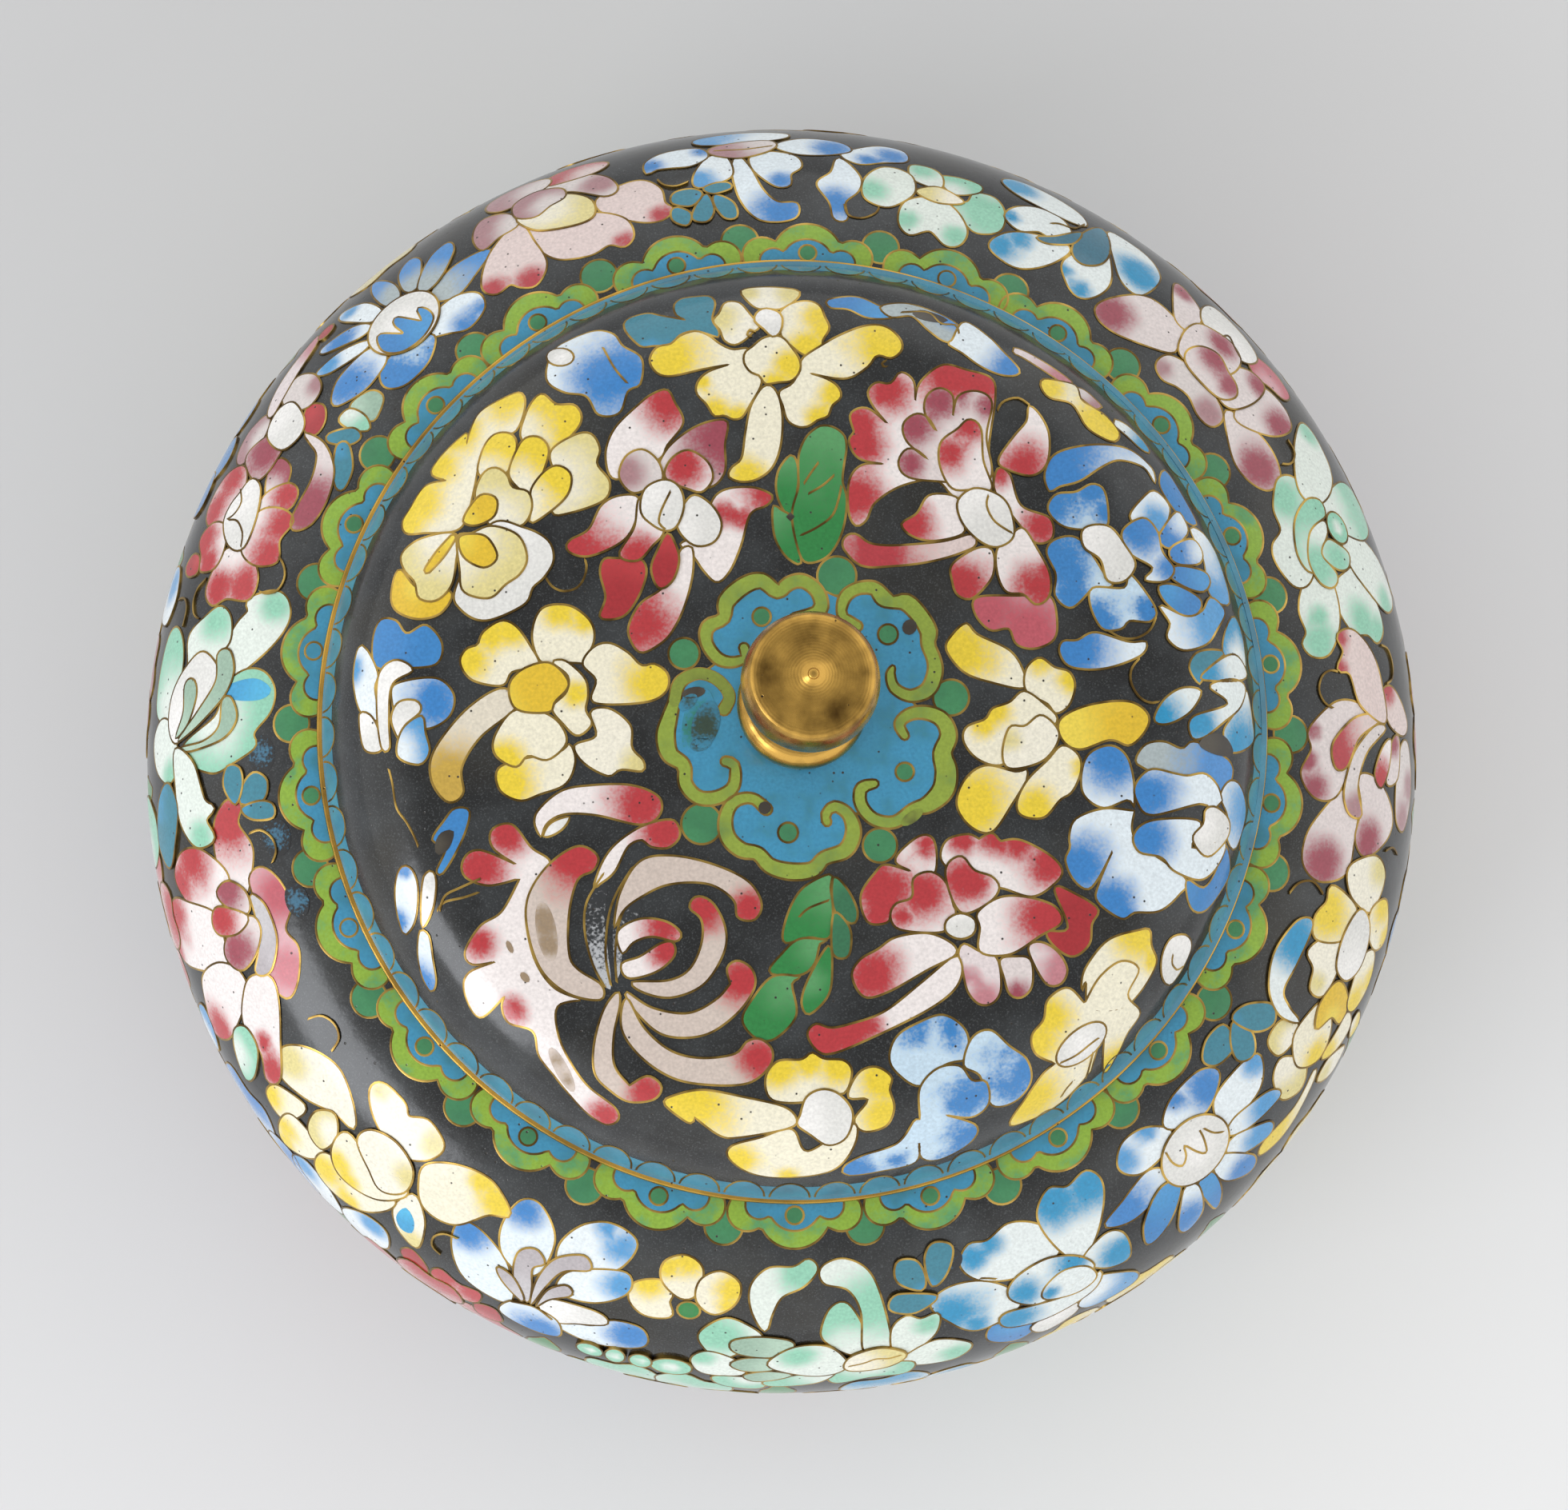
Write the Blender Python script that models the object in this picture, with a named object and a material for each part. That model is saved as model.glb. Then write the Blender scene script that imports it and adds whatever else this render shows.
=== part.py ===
# Cloisonne lidded jar: a squat round jar, its domed lift-off lid and the turned brass knob on top.
# All three are turned shapes about the Z axis. The origin is the middle of the foot's underside.
import math

import bpy

# Driving sizes in metres, angles in degrees

# jar
BELLY_RADIUS = 0.075
SHOULDER_ARC = 0.026      # meridian radius from belly to mouth
LOWER_ARC = 0.032         # meridian radius from belly to foot
LIP_RADIUS = 0.0523       # outer edge of the flat lip that the lid rests on
LIP_WIDTH = 0.0028
WALL = 0.0022             # copper and enamel together
FOOT_JOIN_RADIUS = 0.047  # where the lower arc meets the foot's top
FOOT_HEIGHT = 0.005
FOOT_INSET = 0.0008       # the foot stands back from the lower arc
FOOT_TAPER = 0.0007
FOOT_WALL = 0.0032
FOOT_CHAMFER = 0.0004

# lid
SEAT_GAP = 0.0003         # between the lip and the lid's seat
EDGE_OVERHANG = 0.0003
EDGE_HEIGHT = 0.0014      # bare metal edge
EDGE_WIDTH = 0.0006
BAND_HEIGHT = 0.0036      # steep scalloped band above the edge
BAND_SLOPE = 61.0
CORNER_ARC = 0.013        # tight curve between band and crown
CROWN_SLOPE = 9.0         # slope where the corner meets the crown
SEAT_THICKNESS = 0.0018
PLUG_CLEARANCE = 0.0006   # the plug hangs inside the mouth with this play
PLUG_WALL = 0.0018
PLUG_DEPTH = 0.0045

# knob
KNOB_GAP = 0.0003
KNOB_FLANGE_RADIUS = 0.0069
KNOB_FLANGE_HEIGHT = 0.005
KNOB_FLANGE_RING = 0.6    # where the flange is widest, as a share of its height
KNOB_FLANGE_FOOT = 0.0006  # how far the flange tucks in below its widest ring
KNOB_NECK_FOOT = 0.72     # spread of the neck's foot, as a share of the flange radius
KNOB_NECK_RADIUS = 0.0031
KNOB_NECK_HEIGHT = 0.0097
KNOB_NECK_WAIST = 0.55    # where the neck is narrowest, as a share of its height
KNOB_NECK_SPREAD = 1.15   # how much wider the neck is where it meets the cap
KNOB_CAP_RADIUS = 0.007
KNOB_CAP_UNDER = 0.0044   # height of the cap's rounded underside
KNOB_CAP_SIDE = 0.0053    # height of its rounded side
KNOB_CONE_RADIUS = 0.0059
KNOB_CONE_RISE = 0.0012
KNOB_TIP_RADIUS = 0.0009
KNOB_TIP_RISE = 0.0004
KNOB_TIP_ROUND = 0.6      # flat of the tip, as a share of the tip radius

TURNED_STEPS = 60
KNOB_STEPS = 24
MERGE_DISTANCE = 0.00005


def arc(centre, radius, start, end, steps):
    """Points on a circle in the profile plane, angles in degrees up from the +X side."""
    points = []
    for i in range(steps + 1):
        angle = math.radians(start + (end - start) * i / steps)
        points.append((centre[0] + radius * math.cos(angle), centre[1] + radius * math.sin(angle)))
    return points


def height_on_arc(radius, centre_radius, at_radius):
    """Height above its centre where a meridian arc passes at_radius."""
    return math.sqrt(radius ** 2 - (at_radius - centre_radius) ** 2)


def angle_at(height, radius):
    """Angle on a circle of that radius at that height above its centre."""
    return math.degrees(math.asin(height / radius))


# Heights and radii that follow from the driving sizes

shoulder_centre = BELLY_RADIUS - SHOULDER_ARC
lower_centre = BELLY_RADIUS - LOWER_ARC
lower_drop = height_on_arc(LOWER_ARC, lower_centre, FOOT_JOIN_RADIUS)
lip_rise = height_on_arc(SHOULDER_ARC, shoulder_centre, LIP_RADIUS)
belly_height = FOOT_HEIGHT + lower_drop
lip_height = belly_height + lip_rise
mouth_radius = LIP_RADIUS - LIP_WIDTH


def jar_profile():
    """Closed section of the jar: up the inside, over the lip and down the outside."""
    floor_height = FOOT_HEIGHT + WALL
    inner_lower = LOWER_ARC - WALL
    inner_shoulder = SHOULDER_ARC - WALL
    belly = belly_height
    floor_angle = angle_at(belly - floor_height, inner_lower)
    mouth_rise = height_on_arc(inner_shoulder, shoulder_centre, mouth_radius)
    foot_outer = FOOT_JOIN_RADIUS - FOOT_INSET
    foot_bottom = foot_outer - FOOT_TAPER
    foot_inner = foot_outer - FOOT_WALL
    points = [(0.0, floor_height)]
    points += arc((lower_centre, belly), inner_lower, -floor_angle, 0, 6)
    points += arc((shoulder_centre, belly), inner_shoulder, 0, angle_at(mouth_rise, inner_shoulder), 6)[1:]
    points += [(mouth_radius, lip_height), (LIP_RADIUS, lip_height)]
    points += arc((shoulder_centre, belly), SHOULDER_ARC, angle_at(lip_rise, SHOULDER_ARC), 0, 8)[1:]
    points += arc((lower_centre, belly), LOWER_ARC, 0, -angle_at(lower_drop, LOWER_ARC), 8)[1:]
    points += [
        (foot_outer, FOOT_HEIGHT),
        (foot_bottom, FOOT_CHAMFER),
        (foot_bottom - FOOT_CHAMFER, 0.0),
        (foot_inner + FOOT_CHAMFER, 0.0),
        (foot_inner, FOOT_CHAMFER),
        (foot_inner, FOOT_HEIGHT),
        (0.0, FOOT_HEIGHT),
    ]
    return points


def lid_shape():
    """Centres and sizes of the lid's band, corner and crown, shared by its two sides."""
    band_angle = math.radians(BAND_SLOPE)
    crown_angle = math.radians(CROWN_SLOPE)
    seat = lip_height + SEAT_GAP
    edge_radius = LIP_RADIUS + EDGE_OVERHANG
    band_foot = (edge_radius - EDGE_WIDTH, seat + EDGE_HEIGHT)
    band_top = (band_foot[0] - BAND_HEIGHT / math.tan(band_angle), band_foot[1] + BAND_HEIGHT)
    corner_centre = (
        band_top[0] - CORNER_ARC * math.sin(band_angle),
        band_top[1] - CORNER_ARC * math.cos(band_angle),
    )
    crown_radius = (corner_centre[0] + CORNER_ARC * math.sin(crown_angle)) / math.sin(crown_angle)
    crown_centre = corner_centre[1] + (CORNER_ARC - crown_radius) * math.cos(crown_angle)
    return seat, edge_radius, band_foot, band_top, corner_centre, crown_radius, crown_centre


def lid_top():
    """Height of the lid's outer pole."""
    shape = lid_shape()
    return shape[-1] + shape[-2]


def lid_profile():
    """Section of the lid: down its outside, round the plug and up its inside."""
    seat, edge_radius, band_foot, band_top, corner, crown_radius, crown_centre = lid_shape()
    band_angle = math.radians(BAND_SLOPE)
    plug_outer = mouth_radius - PLUG_CLEARANCE
    plug_inner = plug_outer - PLUG_WALL
    plug_bottom = lip_height - PLUG_DEPTH
    ledge = seat + SEAT_THICKNESS
    inner_band_top = (
        band_top[0] - WALL * math.sin(band_angle),
        band_top[1] - WALL * math.cos(band_angle),
    )
    inner_band_foot = (inner_band_top[0] + (inner_band_top[1] - ledge) / math.tan(band_angle), ledge)
    crown_up = 90 - CROWN_SLOPE
    band_up = 90 - BAND_SLOPE
    points = arc((0.0, crown_centre), crown_radius, 90, crown_up, 6)
    points += arc(corner, CORNER_ARC, crown_up, band_up, 6)[1:]
    points += [
        band_foot,
        (edge_radius, band_foot[1]),
        (edge_radius, seat),
        (plug_outer, seat),
        (plug_outer, plug_bottom),
        (plug_inner, plug_bottom),
        (plug_inner, ledge),
        inner_band_foot,
    ]
    points += arc(corner, CORNER_ARC - WALL, band_up, crown_up, 5)
    points += arc((0.0, crown_centre), crown_radius - WALL, crown_up, 90, 4)[1:]
    return points


def quarter(start, end, bulge_first, steps):
    """Quarter of an ellipse between two points; bulge_first leaves start along X, else along Z."""
    points = []
    for i in range(1, steps + 1):
        angle = math.radians(90 * i / steps)
        along_x = math.sin(angle) if bulge_first else 1 - math.cos(angle)
        along_z = 1 - math.cos(angle) if bulge_first else math.sin(angle)
        points.append((start[0] + (end[0] - start[0]) * along_x, start[1] + (end[1] - start[1]) * along_z))
    return points


def knob_profile():
    """Section of the knob from its tip down: cone, rounded cap, waisted neck and round flange."""
    base = lid_top() + KNOB_GAP
    flange_ring = base + KNOB_FLANGE_HEIGHT * KNOB_FLANGE_RING
    flange_top = base + KNOB_FLANGE_HEIGHT
    cap_bottom = flange_top + KNOB_NECK_HEIGHT
    cap_ring = cap_bottom + KNOB_CAP_UNDER
    cap_top = cap_ring + KNOB_CAP_SIDE
    cone_top = cap_top + KNOB_CONE_RISE
    tip = cone_top + KNOB_TIP_RISE
    tip_edge = cone_top + KNOB_TIP_RISE * KNOB_TIP_ROUND
    neck_waist = flange_top + KNOB_NECK_HEIGHT * KNOB_NECK_WAIST
    neck_foot = KNOB_FLANGE_RADIUS * KNOB_NECK_FOOT
    points = [(0.0, tip), (KNOB_TIP_RADIUS * KNOB_TIP_ROUND, tip_edge), (KNOB_TIP_RADIUS, cone_top)]
    points += [(KNOB_CONE_RADIUS, cap_top)]
    points += quarter(points[-1], (KNOB_CAP_RADIUS, cap_ring), True, 4)
    points += quarter(points[-1], (KNOB_NECK_RADIUS * KNOB_NECK_SPREAD, cap_bottom), False, 3)
    points += [(KNOB_NECK_RADIUS, neck_waist)]
    points += quarter(points[-1], (neck_foot, flange_top), False, 3)
    points += quarter(points[-1], (KNOB_FLANGE_RADIUS, flange_ring), True, 3)
    points += quarter(points[-1], (KNOB_FLANGE_RADIUS - KNOB_FLANGE_FOOT, base), False, 2)
    points += [(0.0, base)]
    return points


def material(name, colour, roughness, metallic):
    made = bpy.data.materials.new(name)
    made.use_nodes = True
    shader = made.node_tree.nodes["Principled BSDF"]
    shader.inputs["Base Color"].default_value = (*colour, 1.0)
    shader.inputs["Roughness"].default_value = roughness
    shader.inputs["Metallic"].default_value = metallic
    return made


def turned(name, profile, steps, finish):
    """A solid turned about Z from a profile at +X, with flat caps closed at the poles."""
    mesh = bpy.data.meshes.new(name)
    vertices = [(radius, 0.0, height) for radius, height in profile]
    edges = [(i, i + 1) for i in range(len(vertices) - 1)]
    mesh.from_pydata(vertices, edges, [])
    made = bpy.data.objects.new(name, mesh)
    bpy.context.scene.collection.objects.link(made)
    mesh.materials.append(finish)
    screw = made.modifiers.new("Turn", "SCREW")
    screw.axis = "Z"
    screw.steps = steps
    screw.render_steps = steps
    screw.use_merge_vertices = True
    screw.merge_threshold = MERGE_DISTANCE
    screw.use_smooth_shade = True
    return made


def build():
    for old in list(bpy.data.objects):
        bpy.data.objects.remove(old, do_unlink=True)
    enamel_black = (0.024, 0.026, 0.03)
    knob_brass = (0.45, 0.27, 0.06)
    turned("jar_body", jar_profile(), TURNED_STEPS, material("jar enamel", enamel_black, 0.2, 0.0))
    turned("lid", lid_profile(), TURNED_STEPS, material("lid enamel", enamel_black, 0.2, 0.0))
    turned("knob", knob_profile(), KNOB_STEPS, material("gilt brass", knob_brass, 0.25, 1.0))


build()
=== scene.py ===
# Cloisonne lidded jar: the looks of every surface, worn as seen from above.
import math
import random

import bmesh
import bpy
import numpy
from mathutils import Matrix, Vector


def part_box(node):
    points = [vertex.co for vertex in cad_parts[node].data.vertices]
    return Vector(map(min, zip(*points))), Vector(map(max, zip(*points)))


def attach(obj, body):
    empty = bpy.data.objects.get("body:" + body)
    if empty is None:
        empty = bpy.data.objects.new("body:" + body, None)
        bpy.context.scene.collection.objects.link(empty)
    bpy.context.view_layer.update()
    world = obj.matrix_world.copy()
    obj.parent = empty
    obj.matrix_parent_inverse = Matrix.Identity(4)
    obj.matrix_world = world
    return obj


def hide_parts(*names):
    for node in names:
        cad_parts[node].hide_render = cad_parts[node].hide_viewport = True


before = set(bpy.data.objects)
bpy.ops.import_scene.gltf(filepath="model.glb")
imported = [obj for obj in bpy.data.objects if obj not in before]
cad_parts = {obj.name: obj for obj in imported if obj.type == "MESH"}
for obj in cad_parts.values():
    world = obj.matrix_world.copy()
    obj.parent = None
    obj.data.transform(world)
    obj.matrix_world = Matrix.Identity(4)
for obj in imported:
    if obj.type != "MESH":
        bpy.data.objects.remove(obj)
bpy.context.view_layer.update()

mm = 0.001
full = 2 * math.pi
tiny = 1e-9

# The view: pixels are those of a 1960 x 1888 picture
camera = {
    "width": 1960,
    "centre": (980, 944),
    "focalPixels": 3996,
    "distance": 380 * mm,
    "tilt": math.radians(7.0),
    "azimuth": math.radians(249.9),
    "aim": (-0.09 * mm, -0.35 * mm),
    "sensor": 36,
    "nearest": 0.01,
}

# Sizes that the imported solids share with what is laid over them
jar = {
    "bellyRadius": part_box("jar_body")[1].x,
    "lipHeight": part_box("jar_body")[1].z,
    "lipRadius": 52.3 * mm,
    "shoulderArc": 26 * mm,
    "lowerArc": 32 * mm,
    "mouthRadius": 49.5 * mm,
    "footJoin": 47 * mm,
    "footHeight": 5 * mm,
    "footOuter": 46.2 * mm,
    "footTaper": 0.7 * mm,
    "footWall": 3.2 * mm,
    "footWaist": 0.7,          # share of the foot's height where it has nearly its full width
    "wall": 2.2 * mm,
    "enamelTop": 0.4 * mm,     # arc lengths under the lip where the enamel and the lining begin
    "liningTop": 1.0 * mm,
}
lid = {
    "plugBottom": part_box("lid")[0].z,
    "top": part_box("lid")[1].z,
    "edgeRadius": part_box("lid")[1].x,
    "edgeHeight": 1.4 * mm,
    "edgeWidth": 0.6 * mm,
    "edgeSink": 0.06 * mm,
    "bandHeight": 3.6 * mm,
    "bandSlope": math.radians(61),
    "cornerArc": 13 * mm,
    "crownSlope": math.radians(9),
    "plugWall": 1.8 * mm,
    "plugPlay": 0.6 * mm,
    "plugDepth": 4.5 * mm,
    "seatLift": 0.3 * mm,
    "seatThickness": 1.8 * mm,
    "wall": 2.2 * mm,
}
skin = {
    "sink": 0.1 * mm,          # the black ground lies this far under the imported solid
    "copper": 1.0 * mm,        # depth where the outer enamel ends
    "liningGap": 0.05 * mm,
    "step": 0.02 * mm,         # each later cell covers the one before it
    "wireWidth": 0.25 * mm,
    "wireRise": 0.014 * mm,
    "wireCrest": 0.7,          # share of a thin wire's half width that its slope takes up
    "root": 0.08 * mm,         # how far a cell reaches down into the ground
    "growShare": 0.13,         # outlines are pushed out by this share of their thickness, up to a limit
    "grow": {"lid": 0.14 * mm, "jar": 0.42 * mm},
    "fine": 1.1 * mm,          # a cell's mesh, where it is shaded in spots or curves strongly
    "coarse": 2.6 * mm,
    "corner": 0.8 * mm,        # on the lid's tight turn, where a wide mesh would dip under the ground
    "spotShade": 0.5,          # how far the shade in a spot's middle lies above the change of colour
    "spotFall": 0.4,           # how much of it is lost over one radius
    "sharpAngle": math.radians(40),
    "weld": 0.002 * mm,
}


# Turned outlines: each gives radius, height and slope at an arc length along the outside

shoulderCentre = jar["bellyRadius"] - jar["shoulderArc"]
lowerCentre = jar["bellyRadius"] - jar["lowerArc"]
lipSlope = math.asin((jar["lipRadius"] - shoulderCentre) / jar["shoulderArc"])
bellyHeight = jar["lipHeight"] - jar["shoulderArc"] * math.cos(lipSlope)
shoulderLength = jar["shoulderArc"] * (math.pi / 2 - lipSlope)
lowerTurn = math.acos((jar["footJoin"] - lowerCentre) / jar["lowerArc"])
jarLength = shoulderLength + jar["lowerArc"] * lowerTurn

seatHeight = lid["plugBottom"] + lid["plugDepth"] + lid["seatLift"]
bandFoot = (lid["edgeRadius"] - lid["edgeWidth"], seatHeight + lid["edgeHeight"])
bandTop = (bandFoot[0] - lid["bandHeight"] / math.tan(lid["bandSlope"]), bandFoot[1] + lid["bandHeight"])
cornerCentre = (
    bandTop[0] - lid["cornerArc"] * math.sin(lid["bandSlope"]),
    bandTop[1] - lid["cornerArc"] * math.cos(lid["bandSlope"]),
)
crownRadius = cornerCentre[0] / math.sin(lid["crownSlope"]) + lid["cornerArc"]
crownCentre = lid["top"] - crownRadius
crownLength = crownRadius * lid["crownSlope"]
cornerLength = lid["cornerArc"] * (lid["bandSlope"] - lid["crownSlope"])
bandStart = crownLength + cornerLength
lidLength = bandStart + lid["bandHeight"] / math.sin(lid["bandSlope"])


def lidAt(s):
    if s <= crownLength:
        slope = s / crownRadius
        return crownRadius * math.sin(slope), crownCentre + crownRadius * math.cos(slope), slope
    if s <= bandStart:
        slope = lid["crownSlope"] + (s - crownLength) / lid["cornerArc"]
        radius = cornerCentre[0] + lid["cornerArc"] * math.sin(slope)
        return radius, cornerCentre[1] + lid["cornerArc"] * math.cos(slope), slope
    slope = lid["bandSlope"]
    along = s - bandStart
    return bandTop[0] + along * math.cos(slope), bandTop[1] - along * math.sin(slope), slope


def jarAt(s):
    if s <= shoulderLength:
        slope = lipSlope + s / jar["shoulderArc"]
        radius = shoulderCentre + jar["shoulderArc"] * math.sin(slope)
        return radius, bellyHeight + jar["shoulderArc"] * math.cos(slope), slope
    slope = math.pi / 2 + (s - shoulderLength) / jar["lowerArc"]
    radius = lowerCentre + jar["lowerArc"] * math.sin(slope)
    return radius, bellyHeight + jar["lowerArc"] * math.cos(slope), slope


# Where a given radius lies on the upper side of each outline

def lidArc(radius):
    if radius <= cornerCentre[0] + lid["cornerArc"] * math.sin(lid["crownSlope"]):
        return crownRadius * math.asin(radius / crownRadius)
    if radius <= bandTop[0]:
        slope = math.asin((radius - cornerCentre[0]) / lid["cornerArc"])
        return crownLength + lid["cornerArc"] * (slope - lid["crownSlope"])
    return bandStart + (radius - bandTop[0]) / math.cos(lid["bandSlope"])


def jarArc(radius):
    share = min(1.0, (radius - shoulderCentre) / jar["shoulderArc"])
    return jar["shoulderArc"] * (math.asin(share) - lipSlope)


# The jar's flat chart keeps shapes true everywhere: along it, each length is divided by its radius
chart = {"start": -4 * mm, "spare": 5 * mm, "steps": 400}
chartSpan = jarLength + chart["spare"]
arcTable = chart["start"] + chartSpan * numpy.arange(chart["steps"] + 1) / chart["steps"]
chartSteps = [(b - a) / jarAt((a + b) / 2)[0] for a, b in zip(arcTable, arcTable[1:])]
chartTable = numpy.concatenate(([0.0], numpy.cumsum(chartSteps)))
chartZero = float(numpy.interp(0.0, arcTable, chartTable))
chartScale = jar["bellyRadius"]


def jarChart(azimuth, s):
    down = float(numpy.interp(s, arcTable, chartTable)) - chartZero
    return Vector((azimuth * chartScale, -down * chartScale))


def lidChart(azimuth, s):
    return Vector((s * math.cos(azimuth), s * math.sin(azimuth)))


def chartArc(y):
    return float(numpy.interp(chartZero - y / chartScale, chartTable, arcTable))


def jarPlace(x, y, height):
    return turnedPoint(jarAt(chartArc(y)), x / chartScale, height)


def lidPlace(x, y, height):
    return turnedPoint(lidAt(math.hypot(x, y)), math.atan2(y, x), height)


def turnedPoint(at, azimuth, height):
    radius, z, slope = at
    radius += math.sin(slope) * height
    return Vector((radius * math.cos(azimuth), radius * math.sin(azimuth), z + math.cos(slope) * height))


# How many chart units a metre on the surface takes up

def jarSize(x, y):
    return chartScale / jarAt(chartArc(y))[0]


def lidSize(x, y):
    return 1.0


carriers = {
    "lid": {"place": lidPlace, "size": lidSize, "arc": lidArc, "chart": lidChart,
            "at": lidAt, "rim": lid["edgeRadius"], "low": bandFoot[1]},
    "jar": {"place": jarPlace, "size": jarSize, "arc": jarArc, "chart": jarChart,
            "at": jarAt, "rim": jar["bellyRadius"], "low": bellyHeight},
}

# The camera, and the way from a pixel to the surface under it
back = Vector((
    math.sin(camera["tilt"]) * math.cos(camera["azimuth"]),
    math.sin(camera["tilt"]) * math.sin(camera["azimuth"]),
    math.cos(camera["tilt"]),
))
sideways = (-back).cross(Vector((0, 1, 0))).normalized()
upwards = back.cross(sideways)
eye = Vector((*camera["aim"], bellyHeight)) + back * camera["distance"]
turn = Matrix((sideways, upwards, back)).transposed()
sight = {"steps": 24, "halvings": 22}


def onSurface(carrier, pixelX, pixelY):
    # Walks along the line of sight until it dips under the surface, then halves the last step
    across = (pixelX - camera["centre"][0]) / camera["focalPixels"]
    up = (camera["centre"][1] - pixelY) / camera["focalPixels"]
    ray = turn @ Vector((across, up, -1))
    at, arc, rim, low = (carriers[carrier][key] for key in ("at", "arc", "rim", "low"))

    def above(reach):
        point = eye + ray * reach
        radius = math.hypot(point.x, point.y)
        if radius >= rim:
            return point.z - low
        return point.z - at(arc(radius))[1]

    near = (eye.z - lid["top"]) / -ray.z
    far = (eye.z - low) / -ray.z
    last = near
    for i in range(1, sight["steps"] + 1):
        reach = near + (far - near) * i / sight["steps"]
        if above(reach) < 0:
            break
        last = reach
    for i in range(sight["halvings"]):
        middle = (last + reach) / 2
        if above(middle) < 0:
            reach = middle
        else:
            last = middle
    point = eye + ray * last
    radius = min(math.hypot(point.x, point.y), rim)
    return math.atan2(point.y, point.x), arc(radius)


def photoChart(carrier, points):
    # Chart places of points given in pixels; azimuths run on past half a turn from the first point
    placed = []
    first = None
    for pixelX, pixelY in points:
        azimuth, s = onSurface(carrier, pixelX, pixelY)
        if first is None:
            first = azimuth
        azimuth += full * round((first - azimuth) / full)
        placed.append(carriers[carrier]["chart"](azimuth, s))
    return placed


# Materials

def linear(hexText):
    # The sRGB curve
    parts = [int(hexText[i:i + 2], 16) / 255 for i in (0, 2, 4)]
    return tuple(c / 12.92 if c <= 0.04045 else ((c + 0.055) / 1.055) ** 2.4 for c in parts) + (1.0,)


def addNode(tree, kind, settings=None, links=None):
    node = tree.nodes.new("ShaderNode" + kind)
    for key, value in (settings or {}).items():
        if isinstance(key, str) and hasattr(node, key):
            setattr(node, key, value)
        else:
            node.inputs[key].default_value = value
    for key, socket in (links or {}).items():
        tree.links.new(socket, node.inputs[key])
    return node


def noise(tree, place, size, detail, roughness=0.5):
    settings = {"Scale": 1 / size, "Detail": detail, "Roughness": roughness}
    return addNode(tree, "TexNoise", settings, {"Vector": place}).outputs[0]


def span(tree, value, low, high, start=0.0, end=1.0, curve="LINEAR"):
    # Stretches the values from low to high over start to end
    settings = {"interpolation_type": curve, "From Min": low, "From Max": high,
                "To Min": start, "To Max": end}
    return addNode(tree, "MapRange", settings, {"Value": value}).outputs[0]


def blend(tree, share, under, over):
    # The colour under may be a socket, the one over it is a text
    settings, links = {"data_type": "RGBA", 7: linear(over)}, {0: share}
    if isinstance(under, str):
        settings[6] = linear(under)
    else:
        links[6] = under
    return addNode(tree, "Mix", settings, links).outputs[2]


def timesPlus(tree, value, factor, added):
    settings = {"operation": "MULTIPLY_ADD", 1: factor}
    return addNode(tree, "Math", settings, {0: value, 2: added}).outputs[0]


def newFinish(name, settings):
    finish = bpy.data.materials.new(name)
    finish.use_nodes = True
    shader = finish.node_tree.nodes["Principled BSDF"]
    for key, value in settings.items():
        shader.inputs[key].default_value = value
    place = addNode(finish.node_tree, "TexCoord").outputs["Object"]
    return finish, finish.node_tree, shader, place


# Noise sizes are those of the real grain, in metres
firing = {
    "gloss": 0.16,
    "index": 1.5,
    "frit": 0.35 * mm,         # grains of glass that show as speckle where two colours meet
    "cloud": 3.5 * mm,         # slow drift of depth of colour
    "grains": (0.25, 0.75, 0.86, 1.08),
    "pitSpacing": 1.2 * mm,    # bubbles broken open by polishing
    "pitSize": 0.14,
    "pitEdge": 0.5,
    "pitShare": 0.66,
    "pitColour": "2A2622",
    "pitDrop": -3.0,           # how deep a pit is against the ripple of the glaze
    "ripple": 1.3 * mm,
    "rippleStrength": 0.35,
    "depth": 0.04 * mm,
}


def addPits(tree, shader, place, colour, share, depth):
    # Small dark pits, and the faint orange peel of a hand polished glaze
    settings = {"Scale": 1 / firing["pitSpacing"], "Randomness": 1.0}
    cells = addNode(tree, "TexVoronoi", settings, {"Vector": place})
    size = firing["pitSize"]
    near = span(tree, cells.outputs["Distance"], size * firing["pitEdge"], size, 1.0, 0.0)
    split = addNode(tree, "SeparateColor", {}, {"Color": cells.outputs["Color"]}).outputs[0]
    chosen = addNode(tree, "Math", {"operation": "GREATER_THAN", 1: share}, {0: split}).outputs[0]
    mask = addNode(tree, "Math", {"operation": "MULTIPLY"}, {0: near, 1: chosen}).outputs[0]
    tree.links.new(blend(tree, mask, colour, firing["pitColour"]), shader.inputs["Base Color"])
    height = timesPlus(tree, mask, firing["pitDrop"], noise(tree, place, firing["ripple"], 2.0))
    settings = {"Strength": firing["rippleStrength"], "Distance": depth}
    bump = addNode(tree, "Bump", settings, {"Height": height})
    tree.links.new(bump.outputs[0], shader.inputs["Normal"])


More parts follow.
